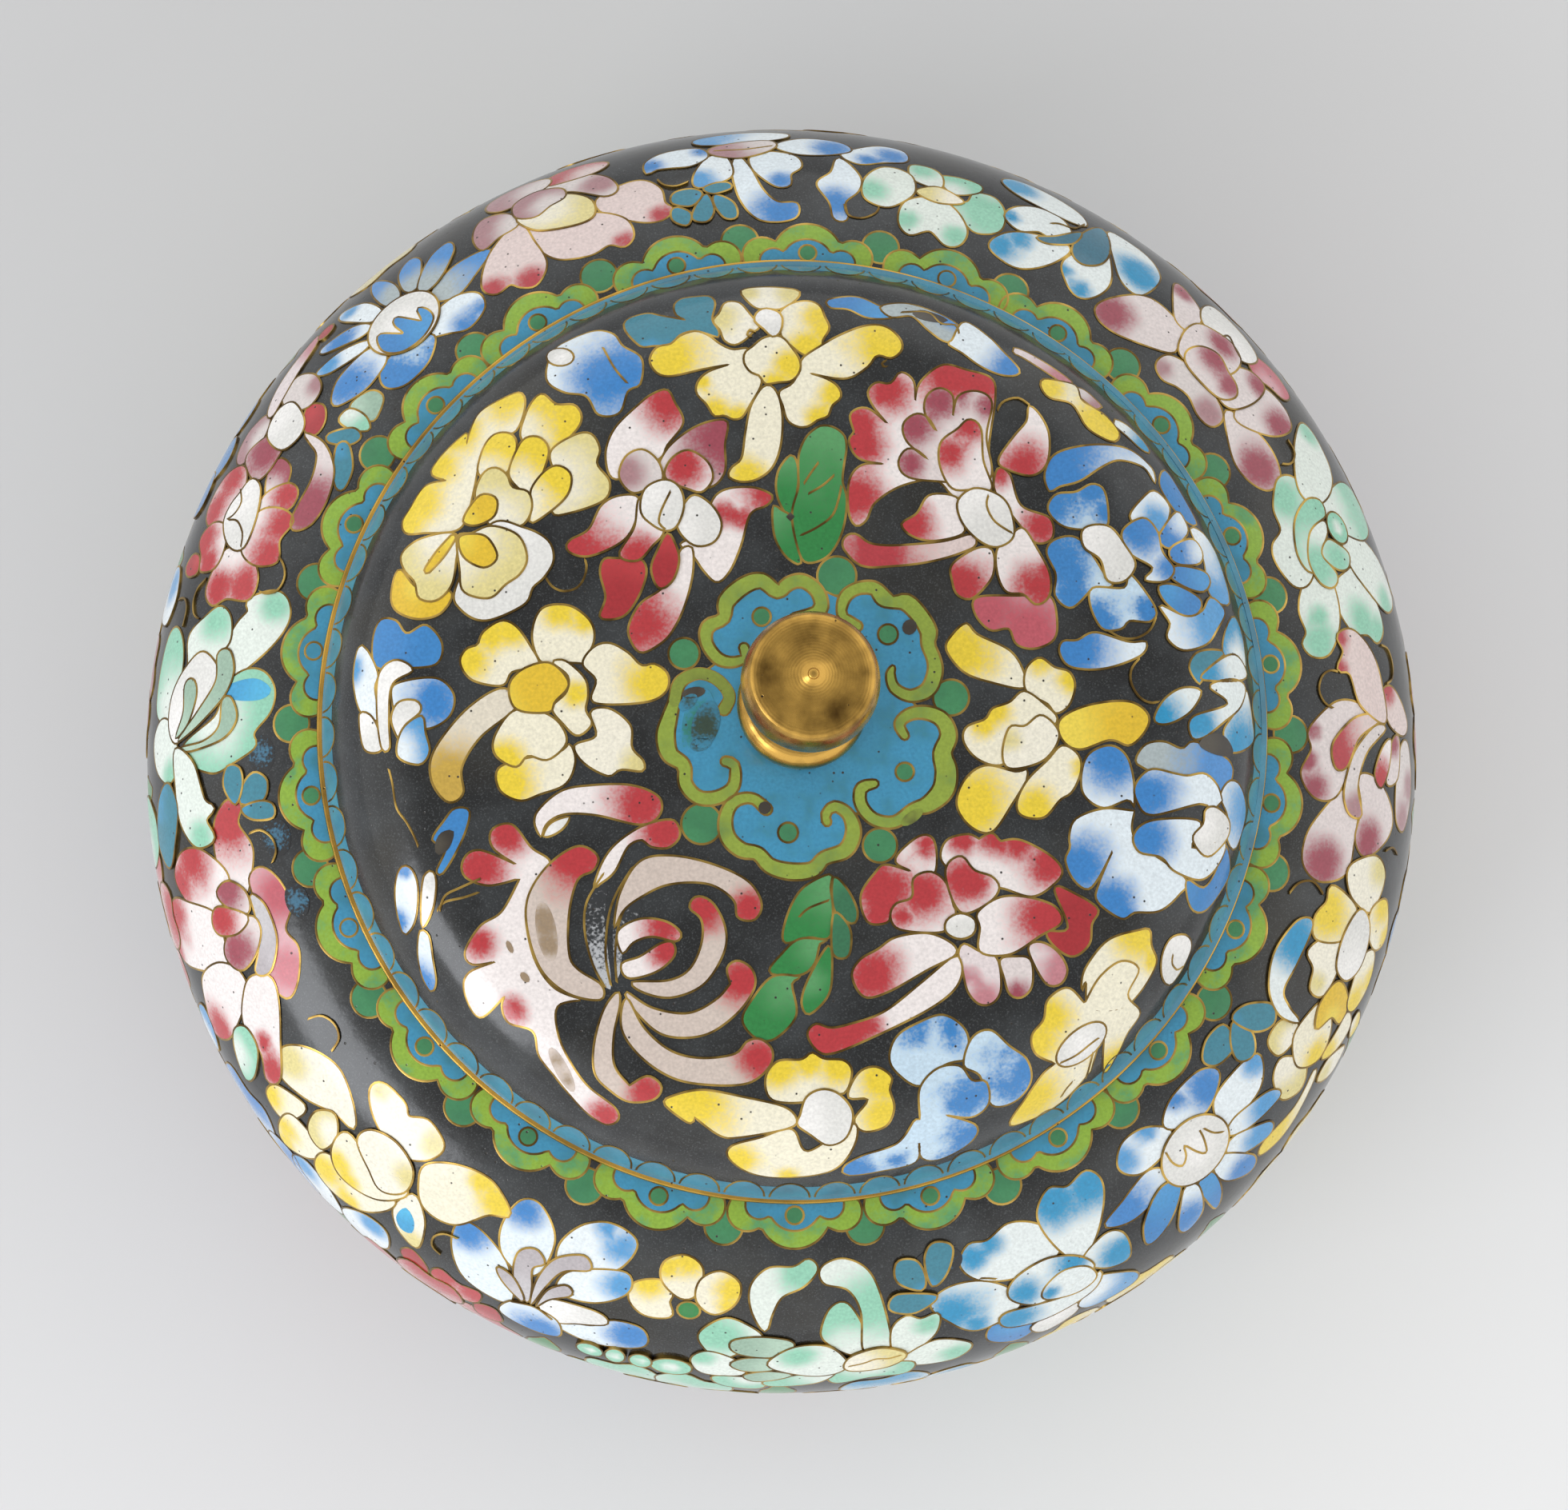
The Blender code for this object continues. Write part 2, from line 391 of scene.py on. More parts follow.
def enamelFinish(name, tint):
    # Opaque fired glass, ground flush and polished: glossy, speckled where white runs into colour
    finish, tree, shader, place = newFinish(name, {"Roughness": firing["gloss"], "IOR": firing["index"]})
    shade = addNode(tree, "Attribute", {"attribute_name": "shade"}).outputs["Fac"]
    frit = noise(tree, place, firing["frit"], 1.0)
    speckled = timesPlus(tree, frit, tint["speckle"], shade)
    drifting = timesPlus(tree, noise(tree, place, firing["cloud"], 3.0), tint["drift"], speckled)
    middle = tint["change"] + (tint["speckle"] + tint["drift"]) / 2
    run = span(tree, drifting, middle - tint["soft"], middle + tint["soft"], curve="SMOOTHSTEP")
    grainy = span(tree, frit, *firing["grains"])
    mixed = blend(tree, run, tint["base"], tint["tip"])
    varied = addNode(tree, "HueSaturation", {}, {"Value": grainy, "Color": mixed}).outputs[0]
    addPits(tree, shader, place, varied, firing["pitShare"], firing["depth"])
    return finish


# Pale base and strong tip of each colour; change is how far along a cell one gives way to the other
tints = {
    "white": {"base": "EFEDEA", "tip": "DFDEDA"},
    "yellow": {"base": "EDE7D0", "tip": "E8CC3A", "change": 0.4},
    "gold": {"base": "EBD250", "tip": "DFBA32", "change": 0.3},
    "amber": {"base": "DDD4C2", "tip": "C2A046", "change": 0.45},
    "cream": {"base": "EEE9D8", "tip": "DCCF8E", "change": 0.55},
    "red": {"base": "ECE4E2", "tip": "B4363C", "change": 0.5},
    "blush": {"base": "DCCAC6", "tip": "B03A42", "change": 0.5},
    "scarlet": {"base": "BA3C40", "tip": "A42C32", "change": 0.4},
    "rose": {"base": "DDD2D0", "tip": "9A4654", "change": 0.5},
    "mauve": {"base": "D8CFCC", "tip": "A98084", "change": 0.5},
    "pink": {"base": "E2D6D6", "tip": "C08088", "change": 0.5},
    "blue": {"base": "E0EAF0", "tip": "3A80C2", "change": 0.42},
    "cloudy": {"base": "C4DAEA", "tip": "3A80C0", "change": 0.35, "drift": 1.2, "speckle": 0.5},
    "azure": {"base": "4A94CC", "tip": "3A80BE"},
    "sky": {"base": "E4ECF0", "tip": "5499CE", "change": 0.5},
    "slate": {"base": "A9B4B6", "tip": "4C8CCB", "change": 0.5},
    "aqua": {"base": "E2E9E8", "tip": "2C90BE", "change": 0.5},
    "turquoise": {"base": "3F90B6", "tip": "3A7F92", "change": 0.12, "drift": 1.1, "soft": 0.2},
    "mint": {"base": "DFE7DF", "tip": "8FC9AE", "change": 0.45},
    "lime": {"base": "8CAF3C", "tip": "5C9A62", "change": 0.1, "drift": 1.3, "soft": 0.18},
    "pear": {"base": "8FA33E", "tip": "6F8A44", "change": 0.15, "drift": 1.2, "soft": 0.2},
    "leaf": {"base": "5A9A62", "tip": "2C8040", "change": 0.4},
    "moss": {"base": "43885A", "tip": "35704E", "change": 0.12, "drift": 1.0},
    "teal": {"base": "4289A2", "tip": "3F7084", "change": 0.1, "drift": 1.2},
    "tan": {"base": "CDBEB4", "tip": "B4343A"},
    "rosy": {"base": "D2A0A6", "tip": "BC5864", "change": 0.5},
    "ash": {"base": "C4C0C2", "tip": "B2ABAE"},
    "sage": {"base": "AEC8B4", "tip": "96B29E"},
    "glaze": {"base": "4FB0DA", "tip": "3F9CCC", "wire": 0},
    "mottled": {"base": "B9BBBE", "tip": "2E3032", "change": 0.45, "speckle": 1.6, "drift": 0.6, "wire": 0},
    "smoke": {"base": "202123", "tip": "3A6A84", "change": 0.7, "speckle": 1.6, "drift": 0.8, "wire": 0},
    "tea": {"base": "CBBCB1", "tip": "9A856C", "change": 0.5, "speckle": 0.5, "drift": 1.0, "wire": 0},
    "umber": {"base": "4C463C", "tip": "36302A", "wire": 0},
    "patina": {"base": "3C86A6", "tip": "33463A", "change": 0.45, "speckle": 0.8, "drift": 1.2, "wire": 0},
    "verdigris": {"base": "3F90B6", "tip": "2F7868", "change": 0.4, "speckle": 0.6, "drift": 1.2,
                  "wire": 0},
    "olive": {"base": "84943A", "tip": "57582E", "change": 0.2, "drift": 1.4, "wire": 0},
}
for tint in tints.values():
    for key, usual in (("change", 0.5), ("speckle", 0.3), ("drift", 0.4), ("soft", 0.3), ("wire", 1)):
        tint.setdefault(key, usual)

groundLook = {
    "gloss": 0.17,
    "deep": "191A1B", "worn": "35383A", "cloud": 9 * mm, "clouds": (0.42, 0.72), "cloudEdge": 0.6,
    "brown": "332E22", "stain": 16 * mm, "stains": (0.5, 0.75, 0.0, 0.5),
    "dust": "6A6E70", "grain": 0.2 * mm, "specks": (0.54, 0.8, 0.0, 0.45),
    "pitShare": 0.7, "depth": 0.05 * mm,
}
wireLook = {"roughness": 0.32, "brown": "66502A", "bright": "CDAA5A", "wear": 4 * mm, "worn": (0.4, 0.7)}
brassLook = {
    "stains": (0.42, 0.76), "scuff": 0.6 * mm, "dulled": (0.0, 1.0, 0.16, 0.4),
    "pitShare": 0.8, "depth": 0.06 * mm,
    "ring": 0.3 * mm, "wave": 0.314, "wander": 2.0, "ringStrength": 0.25, "ringDepth": 0.02 * mm,
}


def groundFinish():
    # Black enamel: deep and glossy, with bluish clouds, fine specks and pits from years of polishing
    look = groundLook
    settings = {"Roughness": look["gloss"], "IOR": firing["index"]}
    finish, tree, shader, place = newFinish("polished black enamel", settings)
    worn = span(tree, noise(tree, place, look["cloud"], 5.0, look["cloudEdge"]), *look["clouds"])
    base = blend(tree, worn, look["deep"], look["worn"])
    stained = span(tree, noise(tree, place, look["stain"], 2.0), *look["stains"])
    toned = blend(tree, stained, base, look["brown"])
    dusted = span(tree, noise(tree, place, look["grain"], 2.0), *look["specks"])
    specked = blend(tree, dusted, toned, look["dust"])
    addPits(tree, shader, place, specked, look["pitShare"], look["depth"])
    return finish


def wireFinish():
    # Drawn brass wire, gilt once, worn bright in some patches and brown in others
    look = wireLook
    settings = {"Metallic": 1.0, "Roughness": look["roughness"]}
    finish, tree, shader, place = newFinish("gilt brass wire", settings)
    worn = span(tree, noise(tree, place, look["wear"], 3.0), *look["worn"])
    tree.links.new(blend(tree, worn, look["brown"], look["bright"]), shader.inputs["Base Color"])
    return finish


def brassFinish(name, bright, brown, patch):
    # Turned brass, lacquer gone: bright in some patches, olive brown in others
    look = brassLook
    finish, tree, shader, place = newFinish(name, {"Metallic": 1.0})
    stained = span(tree, noise(tree, place, patch, 4.0), *look["stains"])
    dulled = span(tree, noise(tree, place, look["scuff"], 4.0), *look["dulled"])
    tree.links.new(dulled, shader.inputs["Roughness"])
    addPits(tree, shader, place, blend(tree, stained, bright, brown), look["pitShare"], look["depth"])
    pitted = shader.inputs["Normal"].links[0].from_socket
    settings = {"wave_type": "RINGS", "rings_direction": "Z", "Scale": look["wave"] / look["ring"],
                "Distortion": look["wander"]}
    rings = addNode(tree, "TexWave", settings, {"Vector": place}).outputs["Fac"]
    settings = {"Strength": look["ringStrength"], "Distance": look["ringDepth"]}
    turning = addNode(tree, "Bump", settings, {"Height": rings, "Normal": pitted})
    tree.links.new(turning.outputs[0], shader.inputs["Normal"])
    return finish


finishes = {name + " enamel": enamelFinish(name + " enamel", tint) for name, tint in tints.items()}
finishes["ground"] = groundFinish()
finishes["wire"] = wireFinish()
finishes["knob"] = brassFinish("turned brass", "CBA050", "5A4220", 4 * mm)
finishes["rim"] = brassFinish("gilt brass rim", "D0A44C", "7A5E30", 9 * mm)
print("finishes made")


# Making pieces

def finishPiece(name, bm, finish):
    mesh = bpy.data.meshes.new(name)
    bm.to_mesh(mesh)
    bm.free()
    mesh.shade_smooth()
    mesh.set_sharp_from_angle(angle=skin["sharpAngle"])
    mesh.materials.append(finish)
    piece = bpy.data.objects.new(name, mesh)
    bpy.context.scene.collection.objects.link(piece)
    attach(piece, "root")
    return piece


def turnedPiece(name, section, steps, finish):
    # Sections run from axis to axis, or are closed loops
    bm = bmesh.new()
    verts = [bm.verts.new((radius, 0, height)) for radius, height in section]
    edges = [bm.edges.new(pair) for pair in zip(verts, verts[1:])]
    if section[0][0] > 0:
        edges.append(bm.edges.new((verts[-1], verts[0])))
    bmesh.ops.spin(bm, geom=verts + edges, cent=(0, 0, 0), axis=(0, 0, 1), angle=full, steps=steps,
                   use_merge=True)
    bmesh.ops.remove_doubles(bm, verts=bm.verts, dist=skin["weld"])
    bmesh.ops.recalc_face_normals(bm, faces=bm.faces)
    return finishPiece(name, bm, finish)


def offsetLine(at, start, end, count, depth):
    # Points under an outline, pushed in by depth along its slope
    line = []
    for i in range(count + 1):
        radius, height, slope = at(start + (end - start) * i / count)
        line.append((radius - math.sin(slope) * depth, height - math.cos(slope) * depth))
    return line


def toAxis(line, end):
    # The point at that end of the line is set on the axis
    line[end] = (0, line[end][1])
    return line


def measured(marks, rows):
    # A section from rows of a marked radius, mm outwards, a marked height and mm upwards
    return [(marks[side] + out * mm, marks[level] + up * mm) for side, out, level, up in rows]


turnSteps = 192
lineSteps = {"outer": 80, "inner": 60, "jar": 110}

# Lid: black enamel outside, turquoise inside, a gilt edge with the plug that drops into the mouth
ledge = seatHeight + lid["seatThickness"]
liningDrop = bandTop[1] - seatHeight - lid["seatThickness"] - lid["wall"] * math.cos(lid["bandSlope"])
liningEnd = bandStart + liningDrop / math.sin(lid["bandSlope"])
outerLid = toAxis(offsetLine(lidAt, 0, lidLength, lineSteps["outer"], skin["sink"]), 0)
innerLid = toAxis(offsetLine(lidAt, lidLength, 0, lineSteps["inner"], skin["copper"]), -1)
lidShell = turnedPiece("lid_black_enamel", outerLid + innerLid, turnSteps, finishes["ground"])
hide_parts("lid")
liningDepth = skin["copper"] + skin["liningGap"]
upperLining = toAxis(offsetLine(lidAt, 0, liningEnd, lineSteps["inner"], liningDepth), 0)
lowerLining = toAxis(offsetLine(lidAt, liningEnd, 0, lineSteps["inner"], lid["wall"]), -1)
turnedPiece("lid_lining", upperLining + lowerLining, turnSteps, finishes["turquoise enamel"])
plugOuter = jar["mouthRadius"] - lid["plugPlay"]
edgeMarks = {
    "plug in": plugOuter - lid["plugWall"], "plug out": plugOuter,
    "edge": lid["edgeRadius"], "band": bandFoot[0],
    "bottom": lid["plugBottom"], "seat": seatHeight, "ledge": ledge,
    "top": bandFoot[1] - lid["edgeSink"], "band foot": bandFoot[1],
}
edgeSection = measured(edgeMarks, [
    ("plug in", 0, "ledge", 0), ("plug in", 0, "bottom", 0.3), ("plug in", 0.3, "bottom", 0),
    ("plug out", -0.3, "bottom", 0), ("plug out", 0, "bottom", 0.3), ("plug out", 0, "seat", 0),
    ("edge", -0.2, "seat", 0), ("edge", 0, "seat", 0.2), ("edge", 0, "top", -0.35),
    ("edge", -0.1, "top", -0.1), ("edge", -0.35, "top", 0), ("band", -0.4, "top", 0),
    ("plug out", 0, "ledge", 0),
])
turnedPiece("lid_gilt_edge", edgeSection, turnSteps, finishes["rim"])
filletSection = measured(edgeMarks, [
    ("band", -0.45, "top", -0.1), ("band", -0.45, "band foot", 0.3),
    ("band", 0.2, "top", 0.04), ("band", 0.2, "top", -0.1),
])
filletShift = (0.23 * mm, 0.08 * mm, 0)    # the gilt edge shows wider on one side
fillet = turnedPiece("lid_edge_fillet", filletSection, turnSteps, finishes["teal enamel"])
fillet.data.transform(Matrix.Translation(filletShift))
backing = {"height": 2.5 * mm, "steps": 3, "rise": 0.015 * mm, "depth": 0.1 * mm}
backStart = lidLength - backing["height"]
backOuter = offsetLine(lidAt, backStart, lidLength, backing["steps"], skin["sink"] - backing["rise"])
backInner = offsetLine(lidAt, lidLength, backStart, backing["steps"], skin["sink"] + backing["depth"])
turnedPiece("lid_scallop_back", backOuter + backInner, turnSteps, finishes["teal enamel"])

# Jar: the same make, on a gilt foot ring
outerJar = offsetLine(jarAt, jar["enamelTop"], jarLength, lineSteps["jar"], skin["sink"])
innerJar = offsetLine(jarAt, jarLength, jar["enamelTop"], lineSteps["outer"], skin["copper"])
jarShell = turnedPiece("jar_black_enamel", outerJar + innerJar, turnSteps, finishes["ground"])
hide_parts("jar_body")
floorHeight = jar["footHeight"] + jar["wall"]
floorTurn = math.acos((bellyHeight - floorHeight) / (jar["lowerArc"] - jar["wall"]))
floorArc = shoulderLength + jar["lowerArc"] * (math.pi / 2 - floorTurn)
innerWall = offsetLine(jarAt, floorArc, jar["liningTop"], lineSteps["outer"], jar["wall"])
outerWall = offsetLine(jarAt, jar["liningTop"], jarLength, lineSteps["outer"], liningDepth)
wallFoot = [(outerWall[-1][0], jar["footHeight"]), (0, jar["footHeight"])]
liningSection = [(0, floorHeight)] + innerWall + outerWall + wallFoot
turnedPiece("jar_lining", liningSection, turnSteps, finishes["turquoise enamel"])
jarMarks = {
    "mouth": jar["mouthRadius"], "lip": jar["lipRadius"], "top": jar["lipHeight"],
    "foot in": jar["footOuter"] - jar["footWall"], "foot": jar["footOuter"] - jar["footTaper"],
    "foot out": jar["footOuter"], "ground": 0, "waist": jar["footHeight"] * jar["footWaist"],
    "join": jar["footHeight"],
}
lipSection = measured(jarMarks, [
    ("mouth", 0, "top", -1.6), ("mouth", 0, "top", -0.25), ("mouth", 0.25, "top", 0),
    ("lip", -0.2, "top", 0), ("lip", 0, "top", -0.15),
    ("lip", 0.2, "top", -0.5), ("lip", -0.6, "top", -1.2),
])
turnedPiece("jar_lip", lipSection, turnSteps, finishes["rim"])
footSection = measured(jarMarks, [
    ("foot in", 0, "join", 0.6), ("foot in", 0, "ground", 0.4), ("foot in", 0.4, "ground", 0),
    ("foot", -0.4, "ground", 0), ("foot", -0.1, "ground", 0.1), ("foot", 0, "ground", 0.4),
    ("foot out", -0.1, "waist", 0), ("foot out", 0, "join", 0), ("foot out", -0.2, "join", 0.6),
])
turnedPiece("jar_foot_ring", footSection, turnSteps, finishes["rim"])
print("jar and lid turned")


# Knob: one brass turning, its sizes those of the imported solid
knob = {
    "flangeRadius": 6.9 * mm, "flangeHeight": 5 * mm, "flangeRing": 0.6, "flangeFoot": 0.6 * mm,
    "neckFoot": 0.72, "neckRadius": 3.1 * mm, "neckHeight": 9.7 * mm, "neckWaist": 0.55, "neckSpread": 1.15,
    "capRadius": 7 * mm, "capUnder": 4.4 * mm, "capSide": 5.3 * mm, "capEdge": 0.1 * mm,
    "coneRadius": 5.9 * mm, "coneRise": 1.2 * mm, "coneEdge": 0.3 * mm, "coneRun": 5 * mm,
    "coneLift": 0.06 * mm, "coneSweep": (0.55, 0.45, 5), "coneSteps": 8,
    "tipRadius": 0.9 * mm, "tipShare": 0.6, "tipLift": 0.15 * mm,
    "steps": 96, "tipSteps": 6, "capSteps": 12, "neckSteps": 10, "flangeSteps": 8,
}


def quarterTurn(start, end, acrossFirst, count):
    line = []
    for i in range(1, count + 1):
        angle = math.pi / 2 * i / count
        across = math.sin(angle) if acrossFirst else 1 - math.cos(angle)
        along = 1 - math.cos(angle) if acrossFirst else math.sin(angle)
        line.append((start[0] + (end[0] - start[0]) * across, start[1] + (end[1] - start[1]) * along))
    return line


def knobOutline():
    low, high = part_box("knob")[0].z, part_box("knob")[1].z
    flangeTop = low + knob["flangeHeight"]
    capBottom = flangeTop + knob["neckHeight"]
    capRing = capBottom + knob["capUnder"]
    capTop = capRing + knob["capSide"]
    coneTop = capTop + knob["coneRise"]
    evenly, steeply, power = knob["coneSweep"]
    line = [(0, high)]
    tipFoot = (knob["tipRadius"] * knob["tipShare"], coneTop + knob["tipLift"])
    line += quarterTurn(line[-1], tipFoot, True, knob["tipSteps"])
    for i in range(knob["coneSteps"] + 1):
        inwards = 1 - i / knob["coneSteps"]        # the cone sweeps up to its point
        sweep = evenly * inwards + steeply * inwards ** power
        radius = knob["coneRadius"] - knob["coneEdge"] - knob["coneRun"] * inwards
        line.append((radius, capTop + knob["coneLift"] + knob["coneRise"] * sweep))
    line.append((knob["coneRadius"], capTop - knob["capEdge"]))
    line += quarterTurn(line[-1], (knob["capRadius"], capRing), True, knob["capSteps"])
    neckTop = (knob["neckRadius"] * knob["neckSpread"], capBottom)
    line += quarterTurn(line[-1], neckTop, False, knob["capSteps"])
    line.append((knob["neckRadius"], flangeTop + knob["neckHeight"] * knob["neckWaist"]))
    neckFoot = (knob["flangeRadius"] * knob["neckFoot"], flangeTop)
    line += quarterTurn(line[-1], neckFoot, False, knob["neckSteps"])
    flangeRing = (knob["flangeRadius"], low + knob["flangeHeight"] * knob["flangeRing"])
    line += quarterTurn(line[-1], flangeRing, True, knob["flangeSteps"])
    flangeFoot = (knob["flangeRadius"] - knob["flangeFoot"], low)
    line += quarterTurn(line[-1], flangeFoot, False, knob["tipSteps"])
    return line + [(0, low)]


knobPiece = turnedPiece("knob_turned", knobOutline(), knob["steps"], finishes["knob"])
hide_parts("knob")
print("knob turned")


# Outlines of the enamel cells, in any flat unit, as closed loops of points
leastPoints = 8
leastOval = 10


def crossing(first, second):
    # Where two circles cross on the loop's outer side
    across, up = second[0] - first[0], second[1] - first[1]
    apart = math.hypot(across, up)
    along = (apart ** 2 + first[2] ** 2 - second[2] ** 2) / (2 * apart)
    aside = math.sqrt(max(0.0, first[2] ** 2 - along ** 2))
    x = first[0] + (across * along + up * aside) / apart
    y = first[1] + (up * along - across * aside) / apart
    return x, y


def evenLoop(points, spacing):
    # The same closed loop with its points evenly spaced
    kept = [Vector(point) for point in points]
    lengths = [0.0]
    for a, b in zip(kept, kept[1:] + kept[:1]):
        lengths.append(lengths[-1] + (b - a).length)
    count = max(leastPoints, round(lengths[-1] / spacing))
    even = []
    at = 0
    for i in range(count):
        wanted = lengths[-1] * i / count
        while lengths[at + 1] < wanted:
            at += 1
        share = (wanted - lengths[at]) / max(lengths[at + 1] - lengths[at], tiny)
        even.append(kept[at].lerp(kept[(at + 1) % len(kept)], share))
    return even


def curveValue(t, a, b, c, d):
    # Catmull-Rom: runs from b to c, led in by a and out by d
    return 0.5 * (2 * b + (c - a) * t + (2 * a - 5 * b + 4 * c - d) * t ** 2
                  + (3 * b - a - 3 * c + d) * t ** 3)


def smoothLine(points, spacing, closed=False):
    # Curve through the points
    count = len(points)
    line = []
    for i in range(count if closed else count - 1):
        around = [i + k for k in (-1, 0, 1, 2)]
        if not closed:
            around = [min(max(k, 0), count - 1) for k in around]
        around = [points[k % count] for k in around]
        steps = max(1, round(math.dist(around[1][:2], around[2][:2]) / spacing))
        for k in range(steps):
            line.append(tuple(curveValue(k / steps, *values) for values in zip(*around)))
    if not closed:
        line.append(tuple(points[-1]))
    return line


def outlineLoop(points, spacing):
    # A smooth closed outline through its points; a third value of 1 marks a corner or a slit's end
    corners = [i for i, point in enumerate(points) if len(point) > 2]
    if not corners:
        return evenLoop(smoothLine(points, spacing, closed=True), spacing)
    ordered = points[corners[0]:] + points[:corners[0] + 1]
    line = []
    run = [ordered[0][:2]]
    for point in ordered[1:]:
        run.append(point[:2])
        if len(point) > 2:
            line += smoothLine(run, spacing)[:-1]
            run = [point[:2]]
    return evenLoop(line, spacing)


def spineLoop(spine, spacing):
    # A leaf, stem or curl: half widths along a curved spine, with round ends
    line = smoothLine(spine, spacing)
    left, right = [], []
    for i, (x, y, half) in enumerate(line):
        ahead, behind = line[min(i + 1, len(line) - 1)], line[max(i - 1, 0)]
        away = Vector((ahead[0] - behind[0], ahead[1] - behind[1])).normalized()
        side = Vector((-away.y, away.x)) * half
        left.append(Vector((x, y)) + side)
        right.append(Vector((x, y)) - side)
    points = right + capArc(line[-1], right[-1], spacing) + left[::-1] + capArc(line[0], left[0], spacing)
    return evenLoop(points, spacing)


def capArc(centre, start, spacing):
    middle = Vector(centre[:2])
    arm = start - middle
    steps = max(1, math.ceil(math.pi * arm.length / spacing))
    return [middle + Matrix.Rotation(math.pi * i / steps, 2) @ arm for i in range(1, steps)]


def ovalLoop(oval, spacing):
    # Centre, two half lengths and the tilt of the first, in degrees
    x, y, half, cross, tilt = oval
    steps = max(leastOval, math.ceil(full * math.sqrt(half * cross) / spacing))
    arms = Matrix.Rotation(math.radians(tilt), 2)
    loop = []
    for i in range(steps):
        angle = full * i / steps
        loop.append(Vector((x, y)) + arms @ Vector((half * math.cos(angle), cross * math.sin(angle))))
    return loop


# Cells laid into the enamel

groups = {}


def group(name):
    if name not in groups:
        groups[name] = bmesh.new()
        groups[name].verts.layers.float.new("shade")
    return groups[name]


def onGrid(bm, spacing):
    # Cuts a flat cell along a grid, so that it follows the curved surface
    for axis, normal in ((0, (1, 0, 0)), (1, (0, 1, 0))):
        values = [vert.co[axis] for vert in bm.verts]
        first, last = math.ceil(min(values) / spacing), math.floor(max(values) / spacing)
        for i in range(first, last + 1):
            spot = [0, 0, 0]
            spot[axis] = i * spacing
            bmesh.ops.bisect_plane(bm, geom=bm.verts[:] + bm.edges[:] + bm.faces[:], dist=tiny,
                                   plane_co=spot, plane_no=normal)


def settle(bm, carrier, height, into):
    # Carries a flat cell to its place on the turned surface and adds it to its piece
    place = carriers[carrier]["place"]
    bmesh.ops.recalc_face_normals(bm, faces=bm.faces)
    for vert in bm.verts:
        vert.co = place(vert.co.x, vert.co.y, vert.co.z + height)
    mesh = bpy.data.meshes.new("cell")
    bm.to_mesh(mesh)
    group(into).from_mesh(mesh)
    bpy.data.meshes.remove(mesh)
    bm.free()


def flatFace(loop):
    bm = bmesh.new()
    bm.verts.layers.float.new("shade")
    face = bm.faces.new([bm.verts.new((point[0], point[1], 0)) for point in loop])
    bm.normal_update()
    if face.normal.z < 0:
        face.normal_flip()
        bm.normal_update()
    return bm, face


def inset(bm, face, thickness, rise):
    bmesh.ops.inset_region(bm, faces=[face], thickness=thickness, use_even_offset=False, use_boundary=True)
    for vert in face.verts:
        vert.co.z = rise


def closeBelow(bm, depth):
    # Walls down from an open sheet's edge, and a bottom
    edges = [edge for edge in bm.edges if edge.is_boundary]
    made = bmesh.ops.extrude_edge_only(bm, edges=edges)["geom"]
    for part in made:
        if isinstance(part, bmesh.types.BMVert):
            part.co.z = -depth
    rims = [part for part in made if isinstance(part, bmesh.types.BMEdge) and part.is_boundary]
    bmesh.ops.edgeloop_fill(bm, edges=rims)


def wireRound(bm, face, thickness, root):
    # Insets the cell's wire, a ring of four sided faces, and returns it as a solid of its own
    for rise in (skin["wireRise"], 0.0):
        inset(bm, face, thickness, rise)
    wire = bm.copy()
    bmesh.ops.delete(wire, geom=[part for part in wire.faces if len(part.verts) > 4], context="FACES_ONLY")
    bmesh.ops.delete(bm, geom=[part for part in bm.faces if len(part.verts) <= 4], context="FACES")
    grown = bmesh.ops.extrude_face_region(wire, geom=wire.faces[:], use_keep_orig=True)["geom"]
    for part in grown:
        if isinstance(part, bmesh.types.BMVert):
            part.co.z = -root
    return wire


def inlay(zone, carrier, loop, layer, tint, ends=None, spots=()):
    # One cell: a wire round its edge and enamel inside, shaded from its base to its tip or round its spots
    centre = sum(loop, Vector((0, 0))) / len(loop)
    size = carriers[carrier]["size"](*centre)
    height = skin["step"] * (layer + 1) - skin["sink"]
    root = skin["step"] * (layer + 1) + skin["root"]
    bm, face = flatFace(loop)
    if tints[tint]["wire"]:
        wire = wireRound(bm, face, skin["wireWidth"] * size / 2, root)
        settle(wire, carrier, height, zone + "_wires")
    if carrier == "lid" and max(point.length for point in loop) > crownLength:
        onGrid(bm, skin["corner"])
    else:
        onGrid(bm, skin["fine"] * size if spots or carrier == "jar" else skin["coarse"])
    shade = bm.verts.layers.float["shade"]
    most, fall = tints[tint]["change"] + skin["spotShade"], skin["spotFall"]
    for vert in bm.verts:
        here = Vector(vert.co.xy)
        if spots:
            vert[shade] = max(most - fall * (here - spot).length / reach for spot, reach in spots)
        elif ends:
            vert[shade] = (here - ends[0]).length / max((ends[1] - ends[0]).length, tiny)
    closeBelow(bm, root)
    settle(bm, carrier, height, zone + "_" + tint)


def lineWire(zone, carrier, line, layer):
    # An open wire: a thin strip with a raised middle
    size = carriers[carrier]["size"](*line[0][:2])
    half = skin["wireWidth"] * size / 2
    loop = spineLoop([(point[0], point[1], half) for point in line], wireStep * size)
    bm, face = flatFace(loop)
    inset(bm, face, half * skin["wireCrest"], skin["wireRise"])
    closeBelow(bm, skin["step"] * (layer + 1) + skin["root"])
    settle(bm, carrier, skin["step"] * (layer + 1) - skin["sink"], zone + "_wires")


def flipped(points):
    # Pixels count downwards, outlines upwards
    return [(point[0], -point[1], *point[2:]) for point in points]


